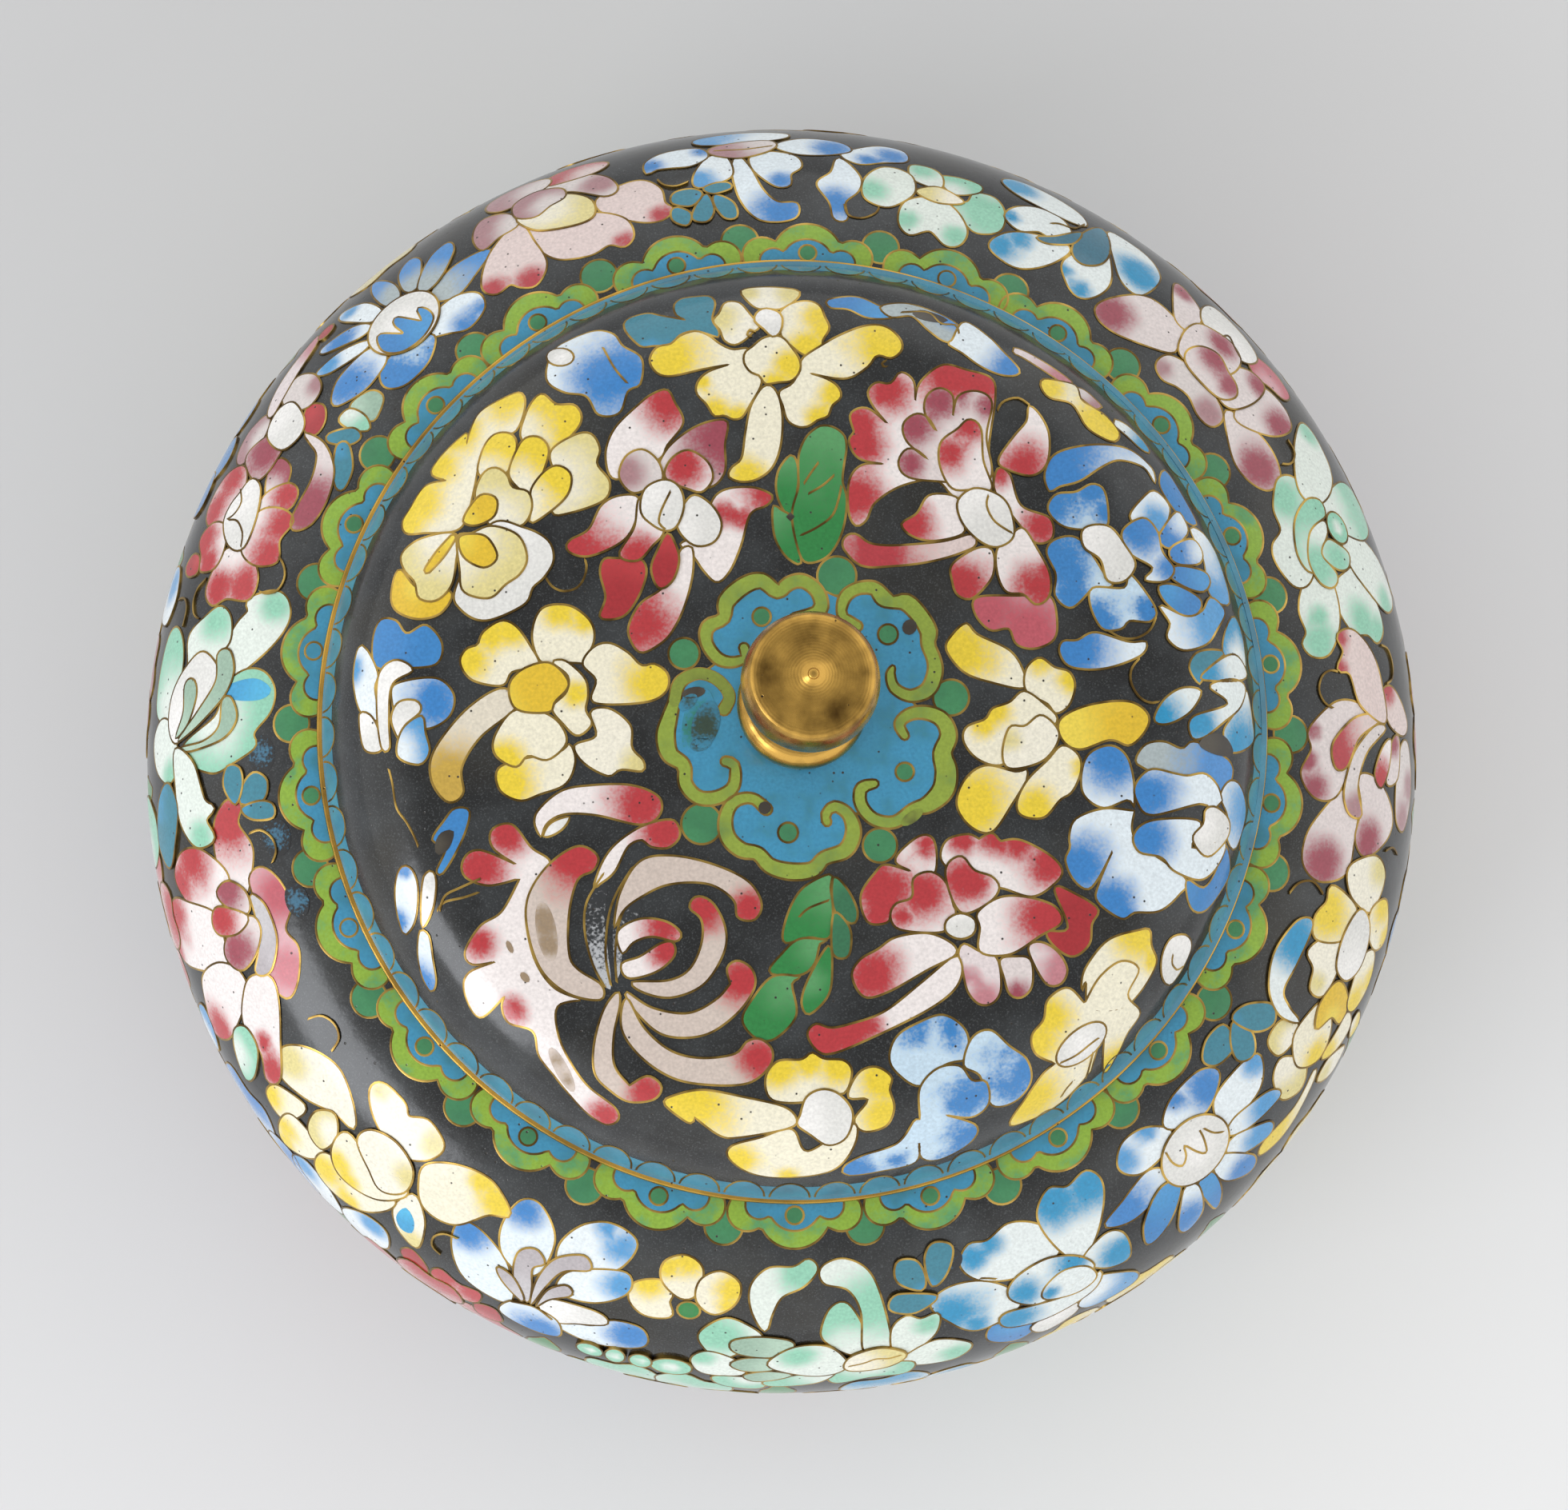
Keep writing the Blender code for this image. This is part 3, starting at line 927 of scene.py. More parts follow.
loopMakers = {"spine": spineLoop, "loop": outlineLoop}
wireStep = 0.5 * mm
pixelStep = 5.0
degreeStep = 0.4


def fromPixels(carrier, points):
    return photoChart(carrier, [(point[0], -point[1]) for point in points])


def widened(loop, share, most):
    # Pushes an outline out by a share of its own thickness, so that neighbours meet wire to wire
    ends = list(zip(loop, loop[1:] + loop[:1]))
    turned = sum(a.x * b.y - b.x * a.y for a, b in ends)
    by = min(most, share * abs(turned) / sum((a - b).length for a, b in ends))
    wider = []
    for i, point in enumerate(loop):
        along = (loop[(i + 1) % len(loop)] - loop[i - 1]).normalized()
        wider.append(point + Vector((along.y, -along.x)) * math.copysign(by, turned))
    return wider


def drawFlower(zone, carrier, petals, place, step):
    # Later petals lie over earlier ones; each has a shape, a tint, an outline and spots (x, y, radius)
    layer = 0
    for shape, tint, outline, *rest in petals.values():
        if shape == "wire":
            lineWire(zone, carrier, place(smoothLine(outline, step)), layer)
            continue
        if shape == "oval":
            x, y, *oval = outline
            loop = ovalLoop((x, -y, *oval), step)
        else:
            x, y = outline[0][:2]
            loop = loopMakers[shape](flipped(outline), step)
        base = Vector((x, -y))
        tip = max(loop, key=lambda point: (point - base).length)
        base, tip, *placed = place([(point[0], -point[1]) for point in [base, tip, *loop]])
        spots = []
        for x, y, radius in (rest[0] if rest else ()):
            middle, side = place([(x, y), (x + radius, y)])
            spots.append((middle, (side - middle).length))
        size = carriers[carrier]["size"](*placed[0])
        grown = widened(placed, skin["growShare"], skin["grow"][carrier] * size)
        inlay(zone, carrier, grown, layer, tint, (base, tip), spots)
        layer += 1


# Lappets round the jar's mouth: lime over turquoise, with a green bead.
# Beads in degrees round the jar; circles in mm: aside, outwards from the rim, and radius
lappets = {
    "beads": [7.7, 23.8, 39.7, 56.4, 71.3, 88.4, 104.3, 122.4, 138.2, 155.5, 171.4,
              188.6, 204.8, 221.3, 237.3, 254, 270, 286, 302.5, 318.2, 335.3, 351],
    "rings": (71.3, 171.4, 204.8),
    "mouthLevel": -4 * mm,     # where on the chart the size of those round the mouth is taken
    "footCount": 20,
    "footLift": 0.5 * mm,
    "rim": 0.1,
    "lime": ((5.3, 1.4, 2.4), (0, 1.4, 4.1)),
    "blue": ((4.0, 0.6, 1.75), (0, 0.35, 3.15)),
    "bead": (0.0, 1.6, 1.15),
    "disc": (0.0, 3.4, 2.2),
    "spacing": 0.55 * mm,
    "fineShare": 0.8,
}


def rimLoop(side, middle, size, spacing):
    # Three lobes that stand on a straight rim, outwards being down in the chart
    circles = [(x * size * mm, -out * size * mm, radius * size * mm)
               for x, out, radius in ((-side[0], *side[1:]), middle, side)]
    rim = lappets["rim"] * (-size * mm)
    first, last = circles[0], circles[-1]
    enters = [math.pi - math.asin((rim - first[1]) / first[2])]
    leaves = []
    for a, b in zip(circles, circles[1:]):
        spot = crossing(a, b)
        leaves.append(math.atan2(spot[1] - a[1], spot[0] - a[0]))
        enters.append(math.atan2(spot[1] - b[1], spot[0] - b[0]))
    leaves.append(math.asin((rim - last[1]) / last[2]))
    points = []
    for (x, y, radius), start, end in zip(circles, enters, leaves):
        sweep = (end - start) % full
        steps = math.ceil(radius * sweep / spacing)
        for i in range(steps + 1):
            angle = start + sweep * i / steps
            points.append((x + radius * math.cos(angle), y + radius * math.sin(angle)))
    return evenLoop(points, spacing)


def rimCircle(circle, size, spacing):
    x, out, radius = (value * size * mm for value in circle)
    return ovalLoop((x, -out, radius, radius, 0), spacing)


def jarLappets(zone, places, flip, startY, level):
    # flip turns them round to stand on the foot and point up
    size = carriers["jar"]["size"](0, level)
    spacing = lappets["spacing"] * size
    fine = spacing * lappets["fineShare"]
    between = [(a + b) / 2 for a, b in zip(places, places[1:] + [places[0] + 360])]
    layers = (
        (rimCircle(lappets["disc"], size, spacing), "moss", between),
        (rimLoop(*lappets["lime"], size, spacing), "lime", places),
        (rimLoop(*lappets["blue"], size, fine), "turquoise", places),
        (rimCircle(lappets["bead"], size, fine), "moss", places),
    )
    for layer, (loop, tint, azimuths) in enumerate(layers):
        for azimuth in azimuths:
            middle = math.radians(azimuth) * chartScale
            placed = [Vector((middle + point.x * flip, startY + point.y * flip)) for point in loop]
            plain = layer == len(layers) - 1 and azimuth in lappets["rings"]
            inlay(zone, "jar", placed, layer, "turquoise" if plain else tint)


jarLappets("lappet", lappets["beads"], 1, 0, lappets["mouthLevel"])
footY = jarChart(0, jarLength - lappets["footLift"]).y
footPlaces = [360 * i / lappets["footCount"] for i in range(lappets["footCount"])]
jarLappets("foot", footPlaces, -1, footY, footY)
print("lappets laid round the mouth and the foot")

# Scallops on the steep band of the lid
scallops = {
    "count": 66, "halfWidth": 2.55 * mm, "height": 3.7 * mm, "rim": -0.3 * mm, "first": math.radians(2),
    "steps": 14, "spacing": 0.55 * mm,
}


def lidScallops():
    rim = lidLength - scallops["rim"]
    arc = []
    for k in range(scallops["steps"] + 1):
        angle = math.pi * k / scallops["steps"]
        aside = scallops["halfWidth"] * math.cos(angle)
        arc.append(Vector((rim - scallops["height"] * math.sin(angle), aside)))
    loop = evenLoop(arc, scallops["spacing"])
    for i in range(scallops["count"]):
        spin = Matrix.Rotation(scallops["first"] + full * i / scallops["count"], 2)
        inlay("scallop", "lid", [spin @ point for point in loop], i % 2, "teal")


lidScallops()
print("scallops laid on the lid's band")

# Rosette round the knob: five ruyi heads over turquoise, each a lime band with curled ends and a bead.
# In pixels: spines (x, y, half width), round cells (x, y, radius) and stains (x, y, half lengths, tilt)
rosette = {
    "bands": [
        [(1131, 920, 7), (1124, 905, 8), (1137, 893, 9), (1158, 891, 10), (1178, 900, 11), (1186, 920, 12),
         (1178, 942, 13), (1183, 964, 15), (1179, 988, 15), (1160, 1006, 12), (1141, 1012, 9),
         (1118, 1028, 9), (1092, 1024, 9), (1076, 1005, 9), (1077, 985, 9), (1093, 980, 7)],
        [(1072, 783, 8), (1063, 775, 6), (1052, 768, 7), (1056, 747, 9), (1071, 736, 9), (1092, 735, 10),
         (1105, 748, 12), (1117, 753, 9), (1133, 753, 12), (1150, 770, 12), (1161, 790, 12),
         (1160, 805, 10), (1167, 823, 10), (1169, 840, 11), (1160, 862, 11), (1138, 870, 9), (1118, 860, 8),
         (1113, 843, 7), (1116, 835, 5)],
        [(993, 773, 8), (1025, 763, 10), (1022, 740, 10), (1003, 726, 10), (985, 730, 10), (972, 740, 10),
         (952, 726, 11), (930, 732, 12), (908, 752, 12), (905, 773, 9), (885, 783, 10), (883, 803, 9),
         (897, 823, 9), (915, 828, 8), (932, 822, 7), (930, 810, 8)],
        [(905, 887, 9), (912, 870, 8), (897, 850, 8), (873, 842, 8), (850, 853, 9), (843, 877, 9),
         (837, 897, 11), (832, 920, 13), (837, 943, 12), (855, 957, 10), (857, 980, 10), (873, 997, 10),
         (897, 997, 10), (917, 983, 9), (918, 957, 8), (907, 952, 8)],
        [(958, 1012, 9), (940, 998, 8), (917, 1003, 9), (907, 1023, 10), (910, 1047, 11), (927, 1063, 11),
         (947, 1067, 10), (963, 1083, 11), (990, 1090, 12), (1017, 1087, 11), (1030, 1073, 10),
         (1057, 1063, 11), (1067, 1040, 11), (1060, 1018, 9), (1043, 1008, 8), (1032, 1018, 7),
         (1034, 1028, 7)],
    ],
    "beads": [(952, 771, 13), (1110, 793, 14), (1131, 965, 13), (985, 1041, 14)],
    "discs": [(1046, 720, 26), (1189, 872, 24), (1100, 1057, 23), (877, 1030, 27), (855, 817, 21)],
    "stains": [(1137, 784, 10, 9, 60, "umber"), (956, 1010, 8, 8, 0, "umber"),
               (867, 866, 15, 7, 10, "umber"), (882, 906, 30, 17, 75, "patina"),
               (876, 930, 14, 9, 20, "patina"), (860, 878, 14, 8, 40, "patina"),
               (1140, 1022, 16, 7, 35, "olive")],
    "haze": (873, 904, 44, 20, 80, "verdigris"),
    "middle": (1011, 893),
    "fieldEnds": 3,            # points left out at each end of a band where the turquoise runs under it
    "tarnished": {"band": 3, "points": 6, "half": 7},    # the part of one band that has gone brown
}


def rosetteCell(loop, layer, tint, spots=()):
    inlay("rosette", "lid", fromPixels("lid", loop), layer, tint, None, spots)


def roundCell(x, y, radius, layer, tint):
    rosetteCell(ovalLoop((x, -y, radius, radius, 0), pixelStep), layer, tint)


def lidRosette():
    for disc in rosette["discs"]:
        roundCell(*disc, 0, "moss")
    field = []
    for band in rosette["bands"]:
        field += [(x, -y) for x, y, half in band[rosette["fieldEnds"]:-rosette["fieldEnds"]]]
    middle = Vector((rosette["middle"][0], -rosette["middle"][1]))
    field.sort(key=lambda point: math.atan2(point[1] - middle.y, point[0] - middle.x))
    rosetteCell(evenLoop(smoothLine(field, pixelStep, closed=True), pixelStep), 1, "turquoise")
    for band in rosette["bands"]:
        rosetteCell(spineLoop(flipped(band), pixelStep), 2, "pear")
    for bead in rosette["beads"]:
        roundCell(*bead, 3, "moss")
    brown = rosette["tarnished"]
    spine = [(x, y, brown["half"]) for x, y, half in rosette["bands"][brown["band"]][:brown["points"]]]
    rosetteCell(spineLoop(flipped(spine), pixelStep), 3, "olive")
    stains = [(2, *rosette["haze"])] + [(4, *stain) for stain in rosette["stains"]]
    for layer, x, y, half, cross, tilt, tint in stains:
        spot, side = fromPixels("lid", [(x, -y), (x + cross, -y)])
        loop = ovalLoop((x, -y, half, cross, tilt), pixelStep)
        rosetteCell(loop, layer, tint, [(spot, (side - spot).length)])


lidRosette()
print("rosette laid round the knob")

# Flowers on the lid, in pixels. Each cell: shape, tint and outline from its pale end, where a third value
# marks a corner or gives half the width. Spots (x, y, radius), where given, say where the tint is strongest
lidFlowers = {
    "yellow peony": {
        "leaf": ("loop", "yellow", [(582, 650), (592, 612), (600, 575), (617, 545), (644, 539), (656, 507),
            (650, 490), (625, 499), (600, 514), (589, 533), (582, 557, 1), (584, 540), (564, 556),
            (547, 574), (538, 590), (545, 597), (560, 600, 1), (531, 607), (512, 635), (502, 653),
            (507, 667), (529, 666, 1), (567, 664)], [(640, 495, 26), (575, 545, 20), (545, 585, 22),
            (520, 625, 26), (506, 658, 20)]),
        "upper": ("loop", "yellow", [(652, 549), (656, 520), (667, 499), (679, 492), (695, 505), (718, 506),
            (727, 522), (717, 541), (686, 564)]),
        "right": ("loop", "cream", [(695, 600), (688, 565), (720, 543), (740, 543), (750, 562), (746, 580),
            (762, 602), (755, 625), (712, 641), (690, 640)]),
        "finger left": ("loop", "yellow", [(610, 598), (597, 590), (604, 560), (618, 543), (638, 542),
            (646, 557), (634, 590)]),
        "finger middle": ("loop", "yellow", [(650, 612), (636, 592), (647, 560), (658, 547), (675, 547),
            (686, 563), (676, 597), (662, 619)]),
        "finger right": ("loop", "yellow", [(665, 632), (664, 612), (680, 590), (697, 582), (713, 592),
            (712, 613), (697, 632), (664, 654)]),
        "grey lobes": ("loop", "cream", [(612, 656), (594, 622), (604, 592), (620, 585), (634, 594),
            (640, 609), (660, 615), (665, 635), (655, 655), (635, 660)]),
        "small finger": ("loop", "gold", [(579, 652), (590, 630), (604, 618), (621, 624), (618, 645),
            (596, 657)]),
        "under left": ("loop", "gold", [(522, 735), (500, 712), (490, 738), (494, 762), (522, 774),
            (552, 766), (564, 740)]),
        "under right": ("loop", "white", [(612, 657), (655, 660), (685, 676), (692, 700), (680, 722),
            (666, 735), (655, 756), (607, 776), (576, 762), (570, 735)]),
        "ring left": ("loop", "cream", [(570, 668), (527, 674), (503, 693), (506, 713), (519, 728),
            (524, 748), (545, 751), (564, 733), (570, 703)]),
        "ring left heart": ("spine", "gold", [(567, 672, 4), (550, 694, 6), (534, 714, 4)]),
        "ring right": ("loop", "cream", [(572, 672), (575, 712), (580, 740), (612, 748), (632, 731),
            (650, 718), (659, 698), (648, 670), (615, 658), (590, 667)]),
        "ring right heart": ("loop", "gold", [(574, 673), (580, 697), (605, 710), (622, 697), (610, 673),
            (592, 668)]),
    },
    "blue butterfly": {
        "cloud": ("loop", "turquoise", [(815, 432), (800, 432), (781, 412), (783, 399), (808, 391),
            (826, 394), (859, 400, 1), (845, 393), (842, 381), (851, 373), (870, 370), (888, 370),
            (894, 379), (890, 399), (898, 412), (898, 421), (884, 417), (868, 413), (850, 418),
            (838, 430)]),
        "wings": ("loop", "blue", [(690, 440), (713, 424), (745, 413), (768, 418), (778, 432), (802, 448),
            (800, 480), (785, 488), (774, 516), (748, 518), (733, 495), (705, 490), (683, 474)],
            [(770, 470, 48)]),
        "eye": ("oval", "white", (700, 446, 17, 11, 0)),
        "feeler": ("wire", "", [(753, 433), (768, 460), (785, 480)]),
    },
    "red and white": {
        "upper": ("loop", "red", [(770, 599), (757, 570), (768, 536), (800, 504), (816, 492), (834, 487),
            (843, 502), (854, 528), (834, 556), (822, 575)], [(834, 505, 28)]),
        "upper right": ("loop", "rose", [(827, 590), (832, 564), (858, 540), (886, 527), (909, 527),
            (906, 556), (905, 592), (880, 610)], [(905, 545, 42)]),
        "far right": ("loop", "red", [(875, 665), (896, 618), (936, 609), (965, 619), (958, 632),
            (938, 642), (926, 682), (912, 714), (896, 728), (880, 714), (871, 701), (862, 690), (850, 680)],
            [(955, 620, 24), (930, 648, 12), (905, 640, 14)]),
        "lowest right": ("loop", "red", [(865, 685), (866, 715), (858, 750), (846, 779), (830, 801),
            (802, 816), (788, 800), (786, 782), (800, 755), (825, 738), (846, 716), (850, 688)],
            [(806, 783, 34)]),
        "lowest left": ("loop", "scarlet", [(770, 698), (800, 699), (808, 716), (797, 748), (778, 771),
            (750, 772), (757, 747), (750, 716), (755, 699)], [(768, 760, 38)]),
        "right": ("loop", "white", [(846, 655), (864, 620), (888, 630), (902, 655), (892, 678),
            (866, 681)]),
        "cap left": ("loop", "mauve", [(812, 610), (790, 616), (774, 596), (782, 571), (803, 562),
            (823, 577), (828, 600)], [(783, 592, 18)]),
        "cap right": ("loop", "red", [(862, 612), (832, 598), (838, 575), (860, 563), (884, 577),
            (891, 598), (878, 615)], [(855, 582, 24)]),
        "left": ("loop", "red", [(799, 624), (775, 620), (752, 632), (736, 662), (712, 676), (709, 688),
            (733, 696), (770, 682), (790, 662)]),
        "lower": ("loop", "red", [(800, 622), (793, 660), (774, 694), (797, 701), (816, 682), (830, 664),
            (828, 625)], [(795, 695, 24)]),
        "heart": ("loop", "white", [(806, 612), (830, 600), (849, 609), (855, 632), (846, 658), (832, 664),
            (815, 656), (801, 640)]),
        "heart fold": ("wire", "", [(839, 613), (826, 640), (824, 655), (833, 663)]),
        "drop": ("loop", "scarlet", [(834, 667), (822, 688), (814, 712), (824, 736), (841, 726), (849, 700),
            (843, 678)], [(830, 718, 26)]),
    },
    "carnation": {
        "outer": ("loop", "red", [(1170, 600), (1127, 607), (1094, 628), (1083, 650), (1070, 657),
            (1061, 640), (1062, 600), (1078, 581), (1107, 580, 1), (1074, 573), (1061, 552), (1068, 540, 1),
            (1063, 517), (1084, 510), (1111, 531, 1), (1092, 508), (1085, 490), (1095, 478), (1113, 479),
            (1126, 465), (1142, 476), (1144, 503, 1), (1150, 478), (1178, 456), (1208, 462), (1240, 473),
            (1244, 500), (1236, 560), (1240, 610), (1197, 622)], [(1070, 620, 28), (1075, 555, 26),
            (1078, 530, 24), (1110, 488, 26), (1185, 470, 34), (1225, 480, 30)]),
        "inner": ("loop", "rose", [(1168, 601), (1133, 595), (1123, 578), (1132, 562), (1145, 562),
            (1160, 574, 1), (1134, 552), (1129, 530), (1145, 517), (1160, 522), (1171, 540, 1), (1156, 515),
            (1159, 494), (1175, 485), (1191, 495), (1191, 522, 1), (1198, 495), (1222, 489), (1240, 503),
            (1233, 545), (1236, 600)], [(1137, 580, 16), (1145, 533, 20), (1173, 500, 20), (1204, 495, 10),
            (1235, 508, 14)]),
        "finger": ("loop", "red", [(1215, 612), (1190, 610), (1175, 582), (1176, 553), (1197, 536),
            (1211, 524), (1226, 535), (1229, 575), (1240, 611)], [(1186, 568, 20), (1210, 533, 18)]),
        "stem": ("spine", "blush", [(1212, 677, 9), (1185, 686, 10), (1150, 692, 12), (1110, 695, 13),
            (1082, 693, 15), (1066, 680, 13)], [(1095, 693, 42)]),
        "left": ("loop", "red", [(1200, 645), (1196, 622), (1162, 619), (1146, 642), (1127, 655),
            (1140, 670), (1168, 676), (1205, 666)], [(1140, 657, 24)]),
        "rose": ("loop", "rosy", [(1275, 745), (1221, 747), (1219, 768), (1238, 788), (1261, 786),
            (1270, 805), (1292, 811), (1317, 800), (1321, 775), (1312, 745)], [(1230, 768, 34),
            (1290, 790, 38)]),
        "lower left": ("loop", "red", [(1240, 688), (1220, 686), (1190, 706), (1190, 725), (1196, 743),
            (1213, 749), (1232, 733), (1242, 715)], [(1205, 732, 30)]),
        "right": ("loop", "red", [(1262, 640), (1243, 612), (1247, 586), (1262, 593), (1276, 632),
            (1312, 648), (1315, 673), (1295, 679), (1276, 658)], [(1250, 592, 14), (1300, 660, 22)]),
        "lower right": ("loop", "red", [(1262, 672), (1278, 660), (1296, 686), (1312, 718), (1311, 746),
            (1295, 756), (1279, 743), (1258, 740), (1247, 718), (1246, 688)], [(1300, 738, 28),
            (1312, 715, 14)]),
        "heart": ("loop", "white", [(1217, 611), (1197, 627), (1203, 654), (1225, 677), (1247, 684),
            (1267, 670), (1262, 636), (1246, 618)]),
        "heart fold": ("wire", "", [(1236, 618), (1233, 632), (1243, 652), (1267, 668)]),
        "curl": ("loop", "red", [(1286, 508), (1300, 520), (1311, 545), (1308, 580), (1288, 595),
            (1252, 584), (1249, 572), (1268, 545), (1283, 527)], [(1278, 582, 27)]),
        "curl stem": ("wire", "", [(1246, 515), (1253, 503), (1272, 498), (1288, 508)]),
    },
    "blue flower": {
        "edge high": ("loop", "azure", [(1450, 604), (1456, 587), (1474, 611), (1497, 655), (1481, 650),
            (1462, 628)], [(1488, 637, 20)]),
        "edge low": ("loop", "sky", [(1488, 661), (1504, 666), (1522, 695), (1537, 745), (1533, 757),
            (1512, 742), (1505, 700)]),
        "curl": ("loop", "blue", [(1444, 604), (1430, 584), (1400, 575), (1378, 583), (1350, 601),
            (1325, 608), (1312, 614), (1306, 592), (1320, 567), (1365, 556), (1410, 561), (1440, 585)]),
        "upper": ("loop", "cloudy", [(1370, 662), (1330, 658), (1310, 637), (1320, 618), (1345, 615),
            (1365, 605), (1381, 615), (1385, 655)], [(1320, 630, 24), (1370, 612, 20), (1380, 640, 12)]),
        "left": ("loop", "cloudy", [(1385, 725), (1350, 675), (1320, 674), (1308, 690), (1320, 718),
            (1319, 745), (1339, 760), (1363, 738, 1), (1390, 733)], [(1328, 695, 34), (1338, 742, 24)]),
        "lower": ("loop", "cloudy", [(1405, 735), (1366, 735), (1363, 757), (1378, 786), (1402, 786),
            (1412, 776), (1438, 777), (1444, 760), (1413, 718)], [(1378, 780, 24), (1440, 765, 18)]),
        "finger 1": ("loop", "sky", [(1445, 665), (1412, 648), (1430, 621), (1444, 614), (1462, 635),
            (1455, 662)], [(1445, 650, 14)]),
        "finger 2": ("loop", "blue", [(1480, 650), (1470, 640), (1454, 660), (1448, 675), (1462, 686),
            (1484, 668)]),
        "finger 3": ("loop", "blue", [(1502, 690), (1489, 674), (1464, 684), (1462, 697), (1474, 706),
            (1499, 705)]),
        "finger 4": ("loop", "azure", [(1512, 728), (1503, 714), (1468, 708), (1463, 722), (1485, 736),
            (1504, 740)]),
        "finger 5": ("loop", "azure", [(1448, 733), (1470, 732), (1500, 750), (1496, 768), (1478, 770),
            (1455, 752)]),
        "tail": ("loop", "sky", [(1462, 780), (1449, 757), (1482, 771), (1502, 764), (1512, 747),
            (1530, 765), (1520, 788), (1507, 806), (1478, 813), (1458, 797)], [(1520, 775, 22)]),
        "right": ("loop", "blue", [(1440, 710), (1412, 692), (1402, 665), (1428, 648), (1446, 665),
            (1452, 690), (1467, 712), (1456, 727), (1430, 725)], [(1425, 660, 24), (1462, 712, 14)]),
        "heart": ("loop", "white", [(1352, 665), (1365, 657), (1388, 660), (1407, 684), (1419, 707),
            (1405, 727), (1384, 726), (1375, 700), (1355, 685)]),
        "arc": ("wire", "", [(1385, 789), (1402, 798), (1420, 798), (1437, 788), (1445, 770)]),
        "leaf": ("loop", "blue", [(1432, 803), (1410, 803), (1368, 791), (1346, 801), (1328, 802),
            (1324, 816), (1338, 834), (1380, 836), (1425, 820)], [(1345, 815, 36)]),
        "loop": ("wire", "", [(1425, 822), (1414, 836), (1413, 853), (1423, 871), (1437, 879),
            (1450, 877)]),
    },
    "yellow right": {
        "upper left": ("loop", "yellow", [(1280, 860), (1240, 853), (1205, 840), (1183, 812), (1190, 794),
            (1208, 779), (1222, 793), (1262, 813), (1279, 838)], [(1203, 812, 36)]),
        "upper right": ("loop", "yellow", [(1310, 880), (1283, 864), (1283, 836), (1300, 822), (1318, 834),
            (1337, 840), (1344, 858), (1336, 882), (1320, 892)], [(1300, 826, 14), (1340, 850, 16)]),
        "lower left": ("loop", "yellow", [(1270, 965), (1232, 957), (1206, 975), (1196, 1006), (1213, 1033),
            (1240, 1040), (1266, 1004), (1283, 976, 1), (1284, 962)], [(1212, 1005, 42)]),
        "lower right": ("loop", "yellow", [(1310, 950), (1328, 932), (1348, 944), (1351, 965), (1340, 990),
            (1325, 1000), (1305, 1022), (1278, 1020), (1271, 1004), (1284, 976)], [(1292, 1015, 26),
            (1350, 960, 10)]),
        "back": ("loop", "yellow", [(1305, 880), (1280, 864), (1262, 878), (1240, 886), (1232, 899),
            (1208, 909), (1205, 928), (1224, 950), (1256, 955), (1300, 920), (1322, 900)], [(1245, 888, 16),
            (1228, 905, 14)]),
        "right": ("loop", "gold", [(1328, 925), (1325, 900), (1360, 882), (1410, 877), (1435, 893),
            (1432, 913), (1412, 932), (1388, 925), (1350, 937)], [(1412, 905, 36)]),
        "heart": ("loop", "cream", [(1305, 950), (1263, 961), (1253, 942), (1262, 909), (1281, 908),
            (1302, 894), (1324, 918)], [(1262, 925, 12)]),
    },
    "blue right": {
        "back": ("loop", "slate", [(1430, 960), (1420, 950), (1432, 931), (1455, 927), (1478, 936),
            (1494, 927), (1536, 950), (1541, 972), (1528, 992), (1490, 990)], [(1530, 960, 26)]),
        "edge": ("loop", "sky", [(1535, 1020), (1526, 995), (1538, 976), (1552, 984), (1558, 1018),
            (1545, 1062), (1535, 1050)], [(1556, 1010, 12)]),
        "left": ("loop", "blue", [(1410, 1000), (1380, 1010), (1356, 995), (1352, 970), (1361, 943),
            (1388, 932), (1408, 945), (1417, 975), (1418, 1010, 1)], [(1385, 950, 30)]),
        "middle": ("loop", "blue", [(1500, 1005), (1440, 1019), (1422, 1003), (1419, 982), (1438, 962),
            (1468, 967), (1485, 970), (1506, 967), (1522, 982), (1528, 1001, 1), (1516, 1012)],
            [(1438, 992, 28)]),
        "low": ("loop", "blue", [(1490, 1060), (1500, 1027), (1440, 1026), (1417, 1044), (1424, 1065),
            (1452, 1072), (1468, 1089), (1502, 1100), (1525, 1078), (1530, 1052)], [(1433, 1050, 26)]),
        "heart": ("loop", "white", [(1504, 1030), (1507, 1012), (1520, 1009), (1536, 1025), (1534, 1048),
            (1512, 1071), (1498, 1063), (1491, 1046)]),
    },
    "turquoise edge": {
        "leaf": ("loop", "aqua", [(1502, 864), (1478, 860), (1455, 875), (1443, 900), (1460, 905),
            (1488, 890)], [(1452, 895, 22)]),
        "low": ("loop", "aqua", [(1545, 890), (1558, 862), (1566, 900), (1566, 930), (1540, 941),
            (1530, 915)], [(1556, 936, 14)]),
        "middle": ("loop", "aqua", [(1535, 880), (1512, 858), (1540, 849), (1557, 858), (1551, 884),
            (1530, 903), (1505, 922), (1490, 922), (1490, 897)], [(1500, 905, 18)]),
        "shadow": ("loop", "umber", [(1500, 930), (1518, 918), (1533, 924), (1541, 943), (1520, 942)]),
    },
    "blue far left": {
        "heart": ("loop", "azure", [(505, 835), (470, 834), (465, 802), (475, 775), (495, 776), (508, 792),
            (532, 781), (552, 804), (545, 830)], [(508, 808, 60)]),
        "left": ("loop", "sky", [(468, 860), (472, 900), (450, 890), (441, 850), (447, 810), (458, 812),
            (472, 842)], [(441, 840, 10)]),
        "lower left": ("loop", "white", [(449, 893), (466, 898), (478, 936), (455, 937)]),
        "blue": ("loop", "blue", [(489, 866), (500, 853), (545, 848), (567, 868), (562, 895), (535, 911),
